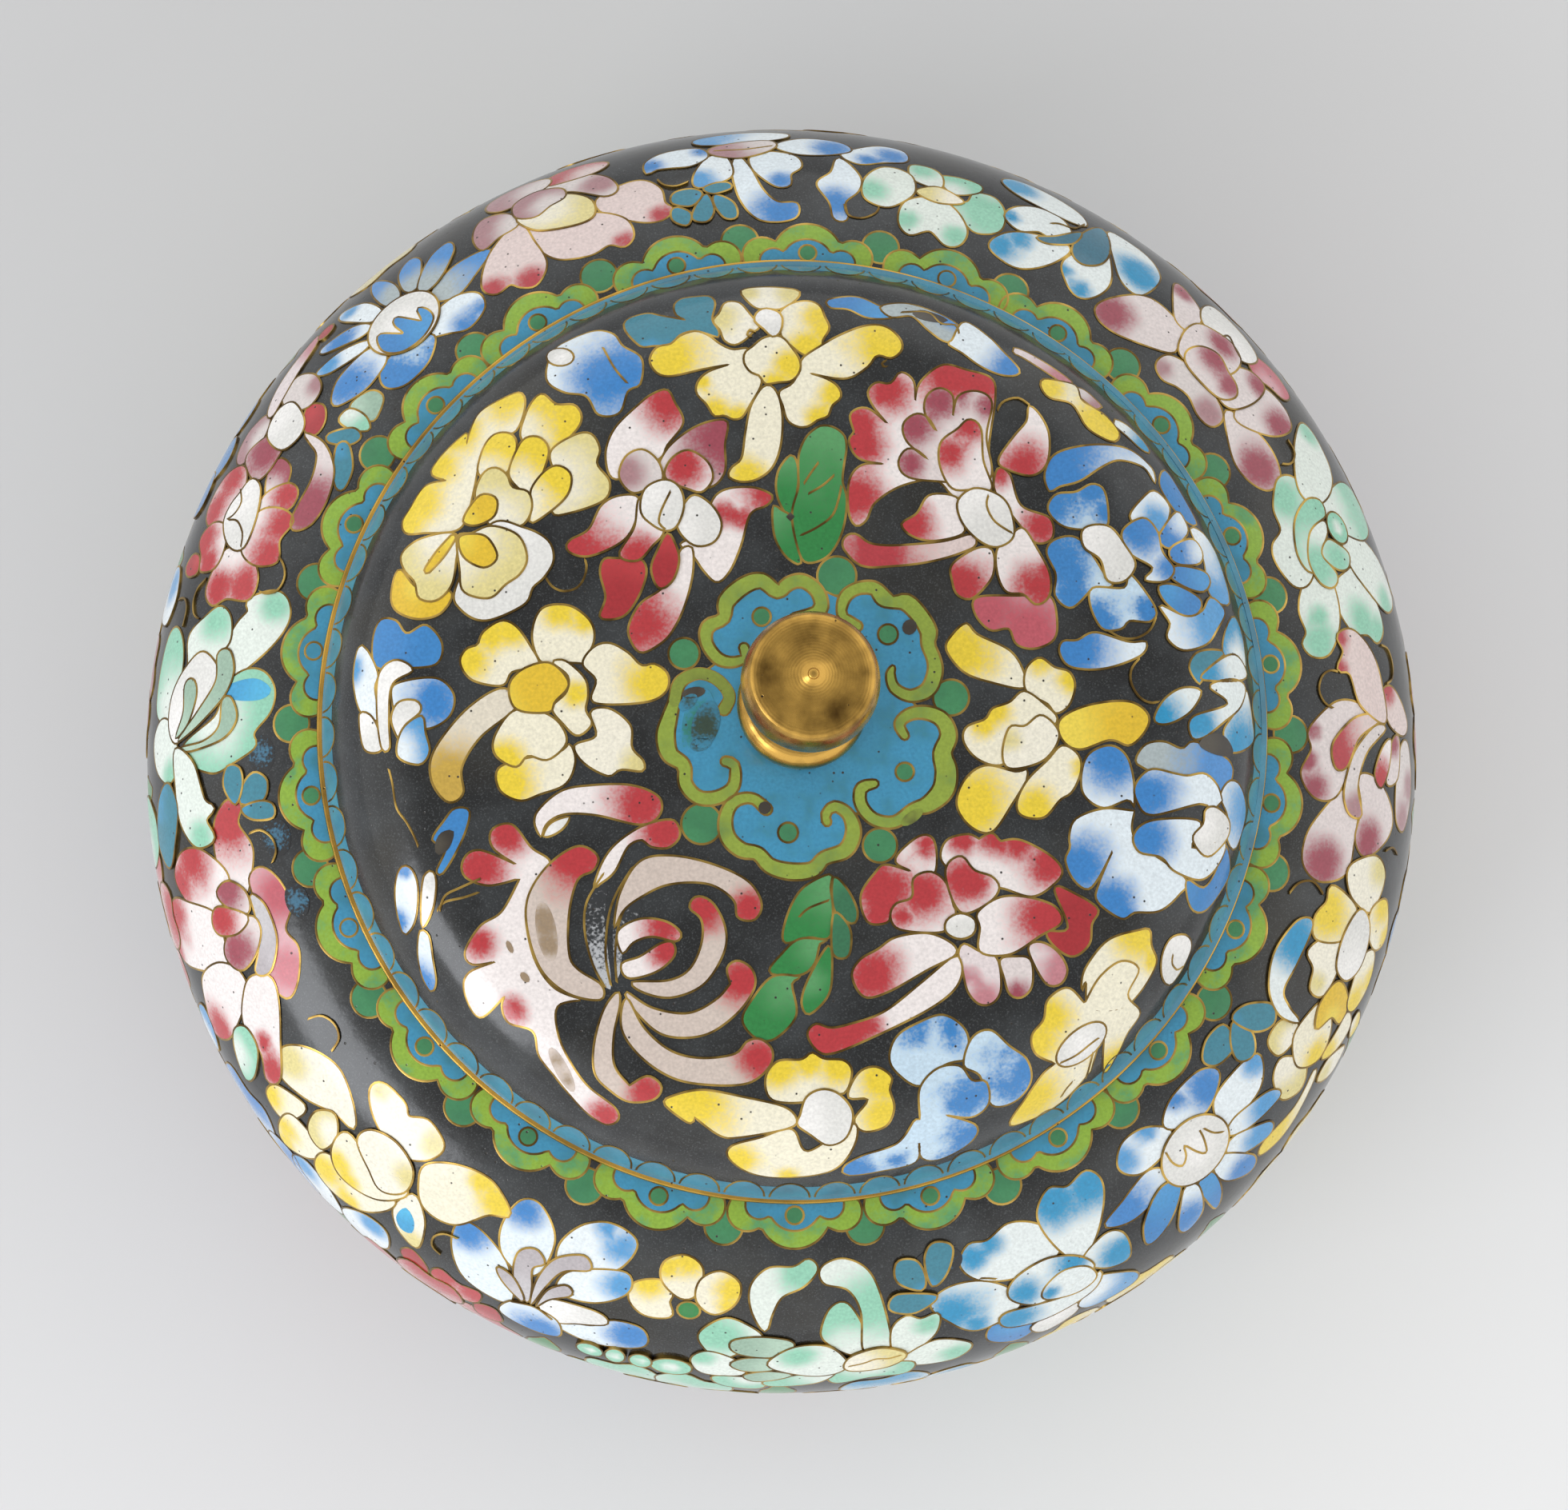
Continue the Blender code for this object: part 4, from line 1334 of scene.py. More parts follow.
            (500, 905)], [(545, 878, 30)]),
        "white": ("loop", "white", [(474, 842), (495, 825), (516, 838), (490, 856), (486, 900), (487, 936),
            (477, 936), (471, 890)]),
        "curl": ("loop", "white", [(500, 926), (489, 900), (498, 878), (520, 876), (526, 889), (505, 908)]),
        "low": ("loop", "sky", [(497, 945), (503, 912), (527, 895), (532, 917), (537, 940), (524, 956)]),
    },
    "yellow left": {
        "upper": ("loop", "yellow", [(705, 828), (677, 828), (665, 795), (677, 761), (711, 757), (738, 777),
            (742, 802), (728, 829, 1)], [(700, 763, 18), (730, 775, 14)]),
        "right": ("loop", "yellow", [(745, 850), (728, 830), (742, 809), (762, 804), (785, 816), (802, 832),
            (818, 830), (835, 843), (832, 865), (805, 878), (742, 878)], [(822, 850, 32)]),
        "upper left": ("loop", "yellow", [(640, 840), (628, 857), (590, 850), (575, 828), (583, 811),
            (597, 806), (603, 791), (626, 776), (645, 783), (663, 808), (673, 832)], [(585, 825, 22),
            (612, 792, 20), (640, 785, 18)]),
        "long": ("loop", "amber", [(635, 862), (645, 884), (600, 922), (577, 960), (579, 992), (560, 1003),
            (540, 978), (541, 942), (575, 895), (612, 866)], [(557, 985, 42)]),
        "low": ("loop", "yellow", [(700, 940), (712, 930), (719, 952), (707, 980), (675, 993), (650, 1001),
            (625, 988), (622, 962), (650, 950)], [(632, 982, 28)]),
        "lower": ("loop", "yellow", [(670, 888), (697, 902), (708, 928), (685, 950), (660, 945), (645, 959),
            (620, 945), (618, 922), (640, 890)], [(632, 950, 20)]),
        "side": ("loop", "yellow", [(715, 832), (732, 850), (735, 870), (732, 888), (740, 905), (722, 920),
            (704, 905), (690, 885), (708, 866), (710, 845), (690, 828), (702, 825)], [(722, 868, 14)]),
        "heart": ("loop", "gold", [(640, 880), (637, 855), (655, 836), (688, 829), (711, 855), (693, 878),
            (688, 890), (655, 890)], [(680, 855, 42)]),
    },
    "coral": {
        "branch": ("loop", "red", [(697, 1258), (696, 1288), (708, 1320), (733, 1357), (768, 1385),
            (773, 1400), (758, 1407), (733, 1392), (708, 1365), (692, 1345), (673, 1320), (666, 1290),
            (635, 1279), (627, 1258), (632, 1244, 1), (600, 1273), (581, 1245), (584, 1218), (621, 1202, 1),
            (590, 1206), (581, 1190), (600, 1158), (627, 1140), (650, 1098, 1), (610, 1107), (580, 1095),
            (580, 1073), (600, 1063), (647, 1082, 1), (616, 1060), (615, 1037), (640, 1031), (664, 1060),
            (688, 1080), (662, 1118), (657, 1150), (668, 1200), (692, 1235), (727, 1250, 1)],
            [(634, 1045, 24), (602, 1085, 30), (600, 1178, 17), (641, 1264, 14), (757, 1394, 20)]),
        "tea stain": ("oval", "tea", (702, 1338, 30, 7, -62), [(696, 1326, 7), (708, 1350, 7)]),
        "fleck": ("oval", "tea", (637, 1184, 8, 3, -65), [(637, 1184, 9)]),
        "low fleck": ("oval", "tea", (656, 1222, 7, 4, -50), [(656, 1222, 9)]),
        "arm": ("loop", "tan", [(750, 1250), (710, 1242), (677, 1213), (660, 1165), (660, 1122),
            (685, 1082), (722, 1058), (747, 1070), (742, 1088), (722, 1100), (711, 1142), (711, 1192),
            (722, 1212), (752, 1232)], [(722, 1075, 34)]),
        "long tea stain": ("oval", "tea", (683, 1165, 36, 11, -80), [(681, 1150, 11), (687, 1180, 11)]),
        "horn": ("loop", "red", [(676, 1046), (669, 1020), (700, 990), (740, 982), (790, 982), (824, 997),
            (824, 1020), (800, 1031), (745, 1019), (705, 1018), (683, 1030)], [(804, 1005, 34)]),
    },
    "chrysanthemum": {
        "stamens": ("loop", "mottled", [(762, 1236), (746, 1212), (736, 1180), (732, 1140), (742, 1112),
            (752, 1098), (757, 1112), (754, 1150), (758, 1190)]),
        "haze": ("loop", "mottled", [(772, 1222), (768, 1190), (768, 1160), (778, 1134), (800, 1126),
            (796, 1145), (780, 1165), (776, 1195)]),
        "outer thread": ("wire", "", [(757, 1236), (741, 1206), (731, 1166), (732, 1132), (744, 1108),
            (756, 1090)]),
        "middle thread": ("wire", "", [(764, 1234), (757, 1196), (760, 1150), (770, 1118), (792, 1082)]),
        "inner thread": ("wire", "", [(771, 1230), (769, 1190), (775, 1150), (790, 1124), (816, 1108)]),
        "stalk": ("loop", "red", [(750, 1105), (742, 1110), (752, 1080), (768, 1057), (795, 1037),
            (820, 1027), (843, 1026), (850, 1045), (835, 1060), (812, 1058), (803, 1050), (785, 1058),
            (768, 1090)], [(830, 1043, 27)]),
        "arch": ("loop", "tan", [(768, 1160), (775, 1117), (800, 1077), (840, 1070), (892, 1081),
            (935, 1102), (952, 1130), (943, 1150), (922, 1147), (917, 1125), (885, 1105), (835, 1106),
            (797, 1124), (778, 1140)], [(935, 1135, 20)]),
        "loop high": ("loop", "red", [(778, 1192), (772, 1165), (800, 1149), (832, 1152), (851, 1166),
            (845, 1177), (815, 1171), (792, 1178)], [(828, 1158, 22)]),
        "loop low": ("loop", "red", [(777, 1205), (800, 1196), (825, 1180), (841, 1178), (843, 1195),
            (820, 1215), (785, 1223)], [(834, 1190, 18)]),
        "hook": ("loop", "tan", [(790, 1228), (835, 1226), (862, 1212), (877, 1180), (877, 1150),
            (862, 1135), (870, 1121), (890, 1128), (906, 1158), (905, 1190), (880, 1230), (840, 1247),
            (805, 1241)], [(880, 1138, 24)]),
        "sickle": ("loop", "tan", [(782, 1240), (815, 1260), (860, 1267), (895, 1250), (913, 1230, 1),
            (909, 1210), (922, 1201), (940, 1212), (943, 1235), (920, 1268), (880, 1294), (830, 1294),
            (795, 1265)], [(926, 1225, 25)]),
        "foot": ("loop", "tan", [(783, 1248), (777, 1285), (800, 1320), (840, 1347), (885, 1356),
            (935, 1354), (962, 1333), (965, 1312), (950, 1299), (934, 1302), (918, 1318), (875, 1323),
            (837, 1313), (805, 1285)], [(948, 1323, 22)]),
        "left hook": ("loop", "tan", [(772, 1240), (755, 1262), (743, 1305), (744, 1342), (763, 1363),
            (787, 1377), (818, 1374), (827, 1358), (810, 1345), (787, 1357, 1), (768, 1332), (767, 1295),
            (775, 1255)], [(807, 1364, 21)]),
    },
    "peony": {
        "upper left": ("loop", "red", [(1141, 1090), (1120, 1079), (1125, 1065), (1150, 1045), (1166, 1048),
            (1171, 1072), (1166, 1095), (1142, 1097), (1140, 1122), (1115, 1140), (1110, 1153),
            (1085, 1153), (1076, 1120), (1095, 1090), (1108, 1081)], [(1158, 1058, 14), (1103, 1112, 34),
            (1098, 1140, 20)]),
        "back": ("loop", "red", [(1250, 1110), (1222, 1115), (1190, 1090), (1176, 1072), (1184, 1050),
            (1210, 1043), (1224, 1049, 1), (1240, 1041), (1250, 1052, 1), (1275, 1050), (1312, 1069),
            (1328, 1088), (1318, 1105), (1290, 1121)], [(1205, 1052, 16), (1240, 1050, 16),
            (1275, 1056, 18), (1308, 1080, 24)]),
        "far right": ("loop", "scarlet", [(1335, 1160), (1318, 1110), (1345, 1118), (1373, 1137),
            (1365, 1155), (1362, 1180), (1342, 1196), (1320, 1185), (1308, 1165)], [(1345, 1150, 34),
            (1335, 1180, 20)]),
        "heart left": ("loop", "red", [(1178, 1165), (1125, 1162), (1113, 1145), (1120, 1130), (1140, 1122),
            (1142, 1098), (1163, 1090), (1182, 1103), (1192, 1133, 1), (1195, 1145)], [(1153, 1115, 28),
            (1128, 1145, 14)]),
        "heart right": ("loop", "red", [(1208, 1142), (1193, 1130), (1182, 1095), (1187, 1077),
            (1203, 1071), (1218, 1088), (1240, 1096), (1249, 1110), (1238, 1127)], [(1204, 1098, 26),
            (1222, 1108, 13)]),
        "pink drop": ("loop", "pink", [(1290, 1200), (1286, 1182), (1302, 1178), (1322, 1190), (1334, 1212),
            (1326, 1230), (1308, 1230)]),
        "finger right": ("loop", "rose", [(1268, 1196), (1288, 1200), (1290, 1232), (1277, 1247),
            (1262, 1243), (1255, 1222), (1250, 1200)], [(1272, 1244, 13)]),
        "finger": ("loop", "pink", [(1205, 1180), (1225, 1190), (1246, 1198), (1251, 1235), (1242, 1253),
            (1225, 1256), (1210, 1240), (1203, 1212), (1198, 1192)], [(1232, 1248, 16), (1212, 1220, 9)]),
        "right": ("loop", "red", [(1225, 1160), (1222, 1141), (1250, 1122), (1285, 1122), (1318, 1133),
            (1327, 1153), (1300, 1170), (1262, 1193), (1225, 1190)], [(1312, 1147, 34)]),
        "lower left": ("loop", "red", [(1190, 1180), (1160, 1167), (1120, 1172), (1097, 1187), (1075, 1200),
            (1065, 1220), (1080, 1246), (1110, 1240), (1160, 1212), (1194, 1194)], [(1088, 1222, 32)]),
        "tail": ("loop", "red", [(1200, 1200), (1190, 1197), (1150, 1230), (1105, 1265), (1060, 1281),
            (1037, 1285), (1020, 1280), (1009, 1292), (1020, 1312), (1040, 1317), (1090, 1297),
            (1155, 1265), (1190, 1240), (1202, 1218)], [(1030, 1298, 30), (1062, 1290, 28),
            (1082, 1283, 18)]),
        "eye": ("loop", "white", [(1200, 1142), (1218, 1150), (1217, 1167), (1200, 1174), (1183, 1166),
            (1183, 1151)]),
    },
    "blue low": {
        "left": ("loop", "cloudy", [(1150, 1358), (1120, 1340), (1112, 1320), (1122, 1295), (1148, 1279),
            (1178, 1269), (1203, 1283), (1211, 1303), (1204, 1326, 1), (1180, 1332)], [(1150, 1288, 16),
            (1185, 1282, 20)]),
        "right": ("loop", "cloudy", [(1225, 1345), (1205, 1332), (1215, 1298), (1238, 1288), (1262, 1308),
            (1284, 1325), (1289, 1352), (1270, 1377), (1240, 1382)], [(1278, 1345, 28)]),
        "middle": ("loop", "cloudy", [(1150, 1400), (1150, 1361), (1172, 1336), (1200, 1333), (1215, 1351),
            (1233, 1353), (1236, 1380), (1215, 1397), (1180, 1394, 1), (1221, 1408), (1212, 1430),
            (1175, 1450), (1152, 1448), (1149, 1427, 1), (1145, 1453), (1100, 1465), (1060, 1470),
            (1054, 1460), (1077, 1446), (1122, 1430), (1144, 1400)], [(1215, 1376, 26), (1205, 1430, 20),
            (1066, 1462, 26), (1120, 1452, 12)]),
    },
    "yellow oval flower": {
        "leaf": ("loop", "yellow", [(1358, 1225), (1353, 1240), (1356, 1213), (1385, 1176), (1425, 1163),
            (1438, 1163), (1440, 1183), (1446, 1205), (1425, 1242), (1400, 1262), (1362, 1260)],
            [(1425, 1172, 24), (1442, 1200, 10)]),
        "body": ("loop", "yellow", [(1380, 1290), (1364, 1340, 1), (1330, 1376), (1295, 1398), (1262, 1407),
            (1285, 1370), (1305, 1342), (1320, 1330, 1), (1295, 1318), (1290, 1295), (1305, 1275),
            (1310, 1250), (1335, 1235), (1356, 1255, 1), (1375, 1222), (1402, 1202), (1424, 1212),
            (1410, 1245), (1426, 1266), (1410, 1292), (1398, 1318), (1380, 1342)], [(1310, 1270, 24),
            (1300, 1305, 22), (1284, 1378, 30), (1388, 1330, 14)]),
        "oval": ("oval", "white", (1352, 1306, 38, 18, 40)),
        "fold": ("wire", "", [(1324, 1330), (1345, 1320), (1364, 1305), (1375, 1297)]),
        "slit": ("wire", "", [(1342, 1352), (1333, 1362), (1326, 1373)]),
        "slit high": ("wire", "", [(1367, 1315), (1361, 1338), (1357, 1350)]),
        "bubble": ("loop", "white", [(1482, 1169), (1490, 1182), (1480, 1208), (1463, 1232), (1453, 1222),
            (1453, 1195), (1464, 1173)]),
        "bubble curl": ("wire", "", [(1467, 1192), (1465, 1204), (1472, 1213), (1480, 1207)]),
    },
    "yellow low": {
        "upper": ("loop", "yellow", [(1005, 1378), (965, 1375), (957, 1348), (972, 1327), (1002, 1325),
            (1015, 1316), (1030, 1324), (1055, 1326), (1065, 1340), (1055, 1367), (1025, 1365)],
            [(975, 1335, 20), (1010, 1325, 18), (1048, 1335, 20)]),
        "right": ("loop", "yellow", [(1085, 1375), (1060, 1372), (1073, 1342), (1095, 1334), (1115, 1347),
            (1112, 1362), (1118, 1385), (1108, 1408), (1080, 1415), (1068, 1400)], [(1105, 1352, 26),
            (1108, 1395, 24)]),
        "bottom": ("loop", "yellow", [(1010, 1440), (990, 1412), (950, 1423), (915, 1433), (910, 1447),
            (935, 1466), (978, 1473), (1040, 1464), (1068, 1432), (1066, 1405)], [(922, 1450, 22),
            (985, 1470, 12)]),
        "long": ("loop", "yellow", [(996, 1400), (980, 1384), (930, 1372), (880, 1363), (845, 1369),
            (830, 1380), (862, 1405), (868, 1397, 1), (900, 1420), (925, 1422), (985, 1411)],
            [(858, 1385, 44)]),
        "heart": ("loop", "white", [(1000, 1395), (1008, 1372), (1028, 1362), (1050, 1369), (1066, 1392),
            (1058, 1422), (1035, 1432), (1012, 1418), (996, 1406)]),
    },
    "turquoise top edge": {
        "tall": ("loop", "aqua", [(1550, 824), (1530, 818), (1532, 790), (1543, 770), (1554, 796),
            (1558, 835)]),
        "low": ("loop", "turquoise", [(1500, 855), (1487, 835), (1495, 817), (1515, 812), (1531, 817),
            (1508, 838)]),
        "side": ("loop", "aqua", [(1554, 850), (1515, 851), (1501, 846), (1528, 823), (1546, 819),
            (1558, 838)], [(1508, 845, 18)]),
    },
    "small blue": {
        "leaf": ("loop", "azure", [(540, 1050), (555, 1026), (568, 1011), (586, 1013), (583, 1035),
            (570, 1065), (553, 1092), (545, 1090), (557, 1060)], [(570, 1040, 40)]),
        "chip": ("loop", "umber", [(545, 1055), (552, 1042), (566, 1040), (560, 1060), (547, 1068)]),
        "edge leaf": ("loop", "blue", [(503, 1166), (494, 1130), (495, 1098), (503, 1083), (515, 1088),
            (522, 1110), (520, 1145), (512, 1164)], [(500, 1152, 9), (505, 1090, 7)]),
        "edge strip": ("loop", "white", [(528, 1160), (526, 1126), (530, 1095), (540, 1089), (545, 1103),
            (541, 1136)]),
        "edge drop": ("loop", "blue", [(525, 1164), (536, 1170), (541, 1200), (545, 1228), (539, 1240),
            (528, 1222), (522, 1192)], [(528, 1230, 16)]),
        "stalk": ("wire", "", [(549, 1140), (556, 1120), (575, 1110), (602, 1098)]),
    },
    "left pieces": {
        "side": ("loop", "cream", [(745, 920), (738, 890), (762, 886), (788, 907), (790, 935), (804, 951),
            (803, 964), (776, 962), (760, 970), (730, 954), (718, 932)], [(796, 956, 16)]),
    },
    "foot right": {
        "left": ("loop", "blue", [(1420, 1050), (1418, 1014, 1), (1380, 1011), (1345, 1024), (1337, 1045),
            (1338, 1060), (1332, 1075), (1341, 1098), (1358, 1112), (1372, 1100), (1392, 1062, 1),
            (1374, 1105), (1372, 1127), (1403, 1149), (1418, 1141), (1450, 1139), (1475, 1118),
            (1482, 1098)], [(1350, 1082, 32), (1388, 1125, 24), (1405, 1142, 14)]),
        "edge": ("loop", "azure", [(1505, 1110), (1484, 1100), (1486, 1128), (1496, 1141), (1512, 1135),
            (1535, 1100), (1538, 1075), (1531, 1056), (1520, 1090)], [(1530, 1095, 26)]),
    },
    "leaf low": {
        "one": ("loop", "leaf", [(1038, 1110), (1038, 1093), (1003, 1111), (984, 1145), (980, 1178),
            (1010, 1172), (1037, 1172), (1041, 1135)]),
        "two": ("loop", "leaf", [(1025, 1180), (1034, 1176), (1000, 1174), (978, 1192), (962, 1216),
            (1000, 1219), (1018, 1205)]),
        "three": ("loop", "leaf", [(990, 1230), (1001, 1222), (966, 1221), (940, 1250), (928, 1276),
            (945, 1298), (968, 1299), (995, 1270)]),
        "four": ("loop", "leaf", [(1010, 1225), (1036, 1182), (1040, 1215), (1035, 1245), (1012, 1268),
            (1002, 1255)]),
        "five": ("loop", "moss", [(1042, 1097), (1060, 1113), (1072, 1140), (1066, 1155), (1043, 1138)]),
        "six": ("loop", "moss", [(1042, 1142), (1058, 1153), (1064, 1170), (1060, 1196), (1041, 1192)]),
    },
    "yellow top": {
        "fan": ("loop", "cream", [(960, 385), (944, 384), (926, 366), (932, 360), (960, 358), (994, 361),
            (1000, 368), (990, 378), (974, 386)], [(990, 366, 16), (934, 366, 12)]),
        "upper left": ("loop", "cream", [(950, 408), (938, 393), (924, 378), (906, 378), (899, 391),
            (891, 401), (900, 412), (905, 425), (918, 431), (932, 424), (942, 414)], [(900, 396, 18)]),
        "upper right": ("loop", "yellow", [(975, 405), (975, 390), (990, 379), (1010, 376), (1025, 382),
            (1031, 396), (1037, 410), (1028, 426), (1029, 440), (1019, 447), (1004, 443), (989, 432),
            (977, 420)], [(1027, 395, 20), (1010, 436, 20), (1034, 414, 18)]),
        "left": ("loop", "yellow", [(945, 455), (936, 436), (916, 437), (900, 430), (885, 419), (869, 414),
            (850, 420), (838, 430), (821, 434), (812, 450), (820, 465), (838, 470), (880, 461),
            (914, 455, 1), (885, 465), (872, 478), (871, 492), (883, 505), (893, 520), (906, 519),
            (915, 524), (927, 522), (938, 505), (952, 478)], [(835, 448, 36), (877, 478, 9), (893, 515, 17),
            (924, 522, 14)]),
        "right": ("loop", "yellow", [(990, 480), (1000, 462), (1003, 448), (1030, 430), (1050, 419),
            (1075, 409), (1095, 406), (1112, 411), (1126, 425), (1127, 438), (1114, 448), (1097, 444),
            (1085, 458), (1065, 471), (1045, 473), (1010, 466, 1), (1034, 474), (1048, 484), (1051, 497),
            (1040, 507), (1035, 520), (1022, 525), (1012, 532), (1000, 534), (985, 526), (979, 508),
            (974, 490)], [(1106, 426, 36), (1046, 492, 18), (1024, 522, 14)]),
        "stem": ("loop", "yellow", [(958, 482), (966, 484), (974, 498), (978, 525), (975, 560), (964, 586),
            (944, 600), (924, 602), (910, 595), (915, 584), (927, 573), (932, 540), (938, 510), (950, 488)],
            [(935, 596, 20)]),
        "heart": ("loop", "yellow", [(952, 424), (940, 434), (931, 441), (930, 453), (938, 465), (950, 470),
            (956, 480), (972, 478), (990, 476), (1000, 463), (999, 449), (989, 434), (978, 422),
            (965, 420)], [(990, 458, 18), (968, 480, 14)]),
        "centre": ("loop", "white", [(958, 386), (946, 391), (943, 401), (954, 411), (965, 421), (974, 417),
            (978, 404), (975, 392)]),
        "curl": ("wire", "", [(940, 422), (933, 418), (937, 412), (945, 416)]),
    },
    "blue top edge": {
        "left": ("loop", "azure", [(1120, 395), (1102, 398), (1082, 396), (1060, 386), (1038, 384),
            (1033, 375), (1058, 370), (1078, 372), (1100, 382), (1118, 388)]),
        "middle": ("loop", "slate", [(1140, 395), (1114, 396), (1100, 384), (1115, 379), (1140, 380),
            (1175, 392), (1200, 408), (1202, 424), (1182, 427), (1160, 412)], [(1190, 398, 14)]),
        "right": ("loop", "blue", [(1190, 425), (1205, 402), (1235, 420), (1252, 437), (1274, 461),
            (1270, 469), (1250, 468), (1225, 457), (1203, 441), (1184, 429)], [(1268, 462, 24)]),
        "slit": ("wire", "", [(1125, 390), (1160, 390), (1176, 404), (1195, 406), (1199, 418)]),
        "chip": ("loop", "umber", [(1142, 392), (1152, 388), (1170, 393), (1184, 400), (1172, 402),
            (1152, 398)]),
    },
    "rim slivers": {
        "pink": ("loop", "pink", [(1268, 434), (1285, 440), (1315, 458), (1342, 478), (1338, 484),
            (1310, 466), (1280, 447), (1266, 440)], [(1335, 478, 20)]),
        "grey": ("loop", "mauve", [(1348, 484), (1360, 490), (1378, 508), (1372, 512), (1355, 500),
            (1345, 490)]),
        "aqua": ("loop", "aqua", [(1394, 524), (1410, 532), (1430, 552), (1438, 566), (1428, 562),
            (1408, 544), (1392, 530)]),
        "yellow": ("loop", "yellow", [(1340, 505), (1312, 497), (1301, 483), (1303, 474), (1318, 475),
            (1345, 482), (1352, 500), (1368, 510), (1384, 521), (1400, 542), (1394, 552), (1378, 547),
            (1358, 533)], [(1385, 535, 26), (1312, 484, 16)]),
    },
    "leaf high": {
        "left high": ("loop", "leaf", [(988, 569), (974, 586), (970, 606), (973, 624), (982, 641),
            (992, 640), (996, 615), (998, 598), (996, 577)]),
        "left low": ("loop", "leaf", [(967, 632), (966, 655), (971, 678), (985, 698), (1001, 705),
            (998, 684), (992, 665), (988, 645), (977, 638)]),
        "blade": ("loop", "leaf", [(1030, 532), (1022, 534), (1008, 546), (999, 567), (998, 592),
            (998, 610), (991, 635), (991, 655), (996, 680), (1004, 701), (1018, 703), (1036, 694),
            (1050, 672), (1057, 645), (1058, 620), (1053, 602), (1055, 580), (1058, 560), (1055, 544),
            (1042, 534)], [(1010, 690, 85)]),
        "vein 1": ("wire", "", [(1024, 577), (1013, 592), (1004, 606)]),
        "vein 2": ("wire", "", [(1044, 593), (1028, 607), (1009, 618)]),
        "vein 3": ("wire", "", [(1052, 606), (1048, 625), (1040, 645), (1020, 660), (999, 670)]),
        "pit": ("loop", "umber", [(988, 641), (993, 646), (988, 651), (983, 646)]),
    },
    "curls": {
        "top": ("wire", "", [(1110, 450), (1102, 453), (1104, 459), (1111, 457)]),
        "left top": ("wire", "", [(681, 720), (690, 733), (705, 739), (722, 734), (731, 720), (733, 706),
            (730, 697)]),
        "middle top": ("wire", "", [(768, 722), (772, 734), (782, 738), (792, 732), (796, 722)]),
        "left bow": ("wire", "", [(485, 960), (490, 980), (495, 1010), (507, 1027), (517, 1045),
            (523, 1060)]),
        "left thin": ("wire", "", [(545, 1140), (555, 1128), (580, 1122), (600, 1115)]),
        "leaf stalk": ("wire", "", [(1038, 1125), (1010, 1136), (998, 1148)]),
        "pale patch": ("loop", "white", [(679, 1046), (684, 1033), (695, 1025), (712, 1021), (705, 1035),
            (690, 1045)]),
    },
}

for petals in lidFlowers.values():
    drawFlower("lid", "lid", petals, lambda points: photoChart("lid", points), pixelStep)
print("flowers laid on the lid")

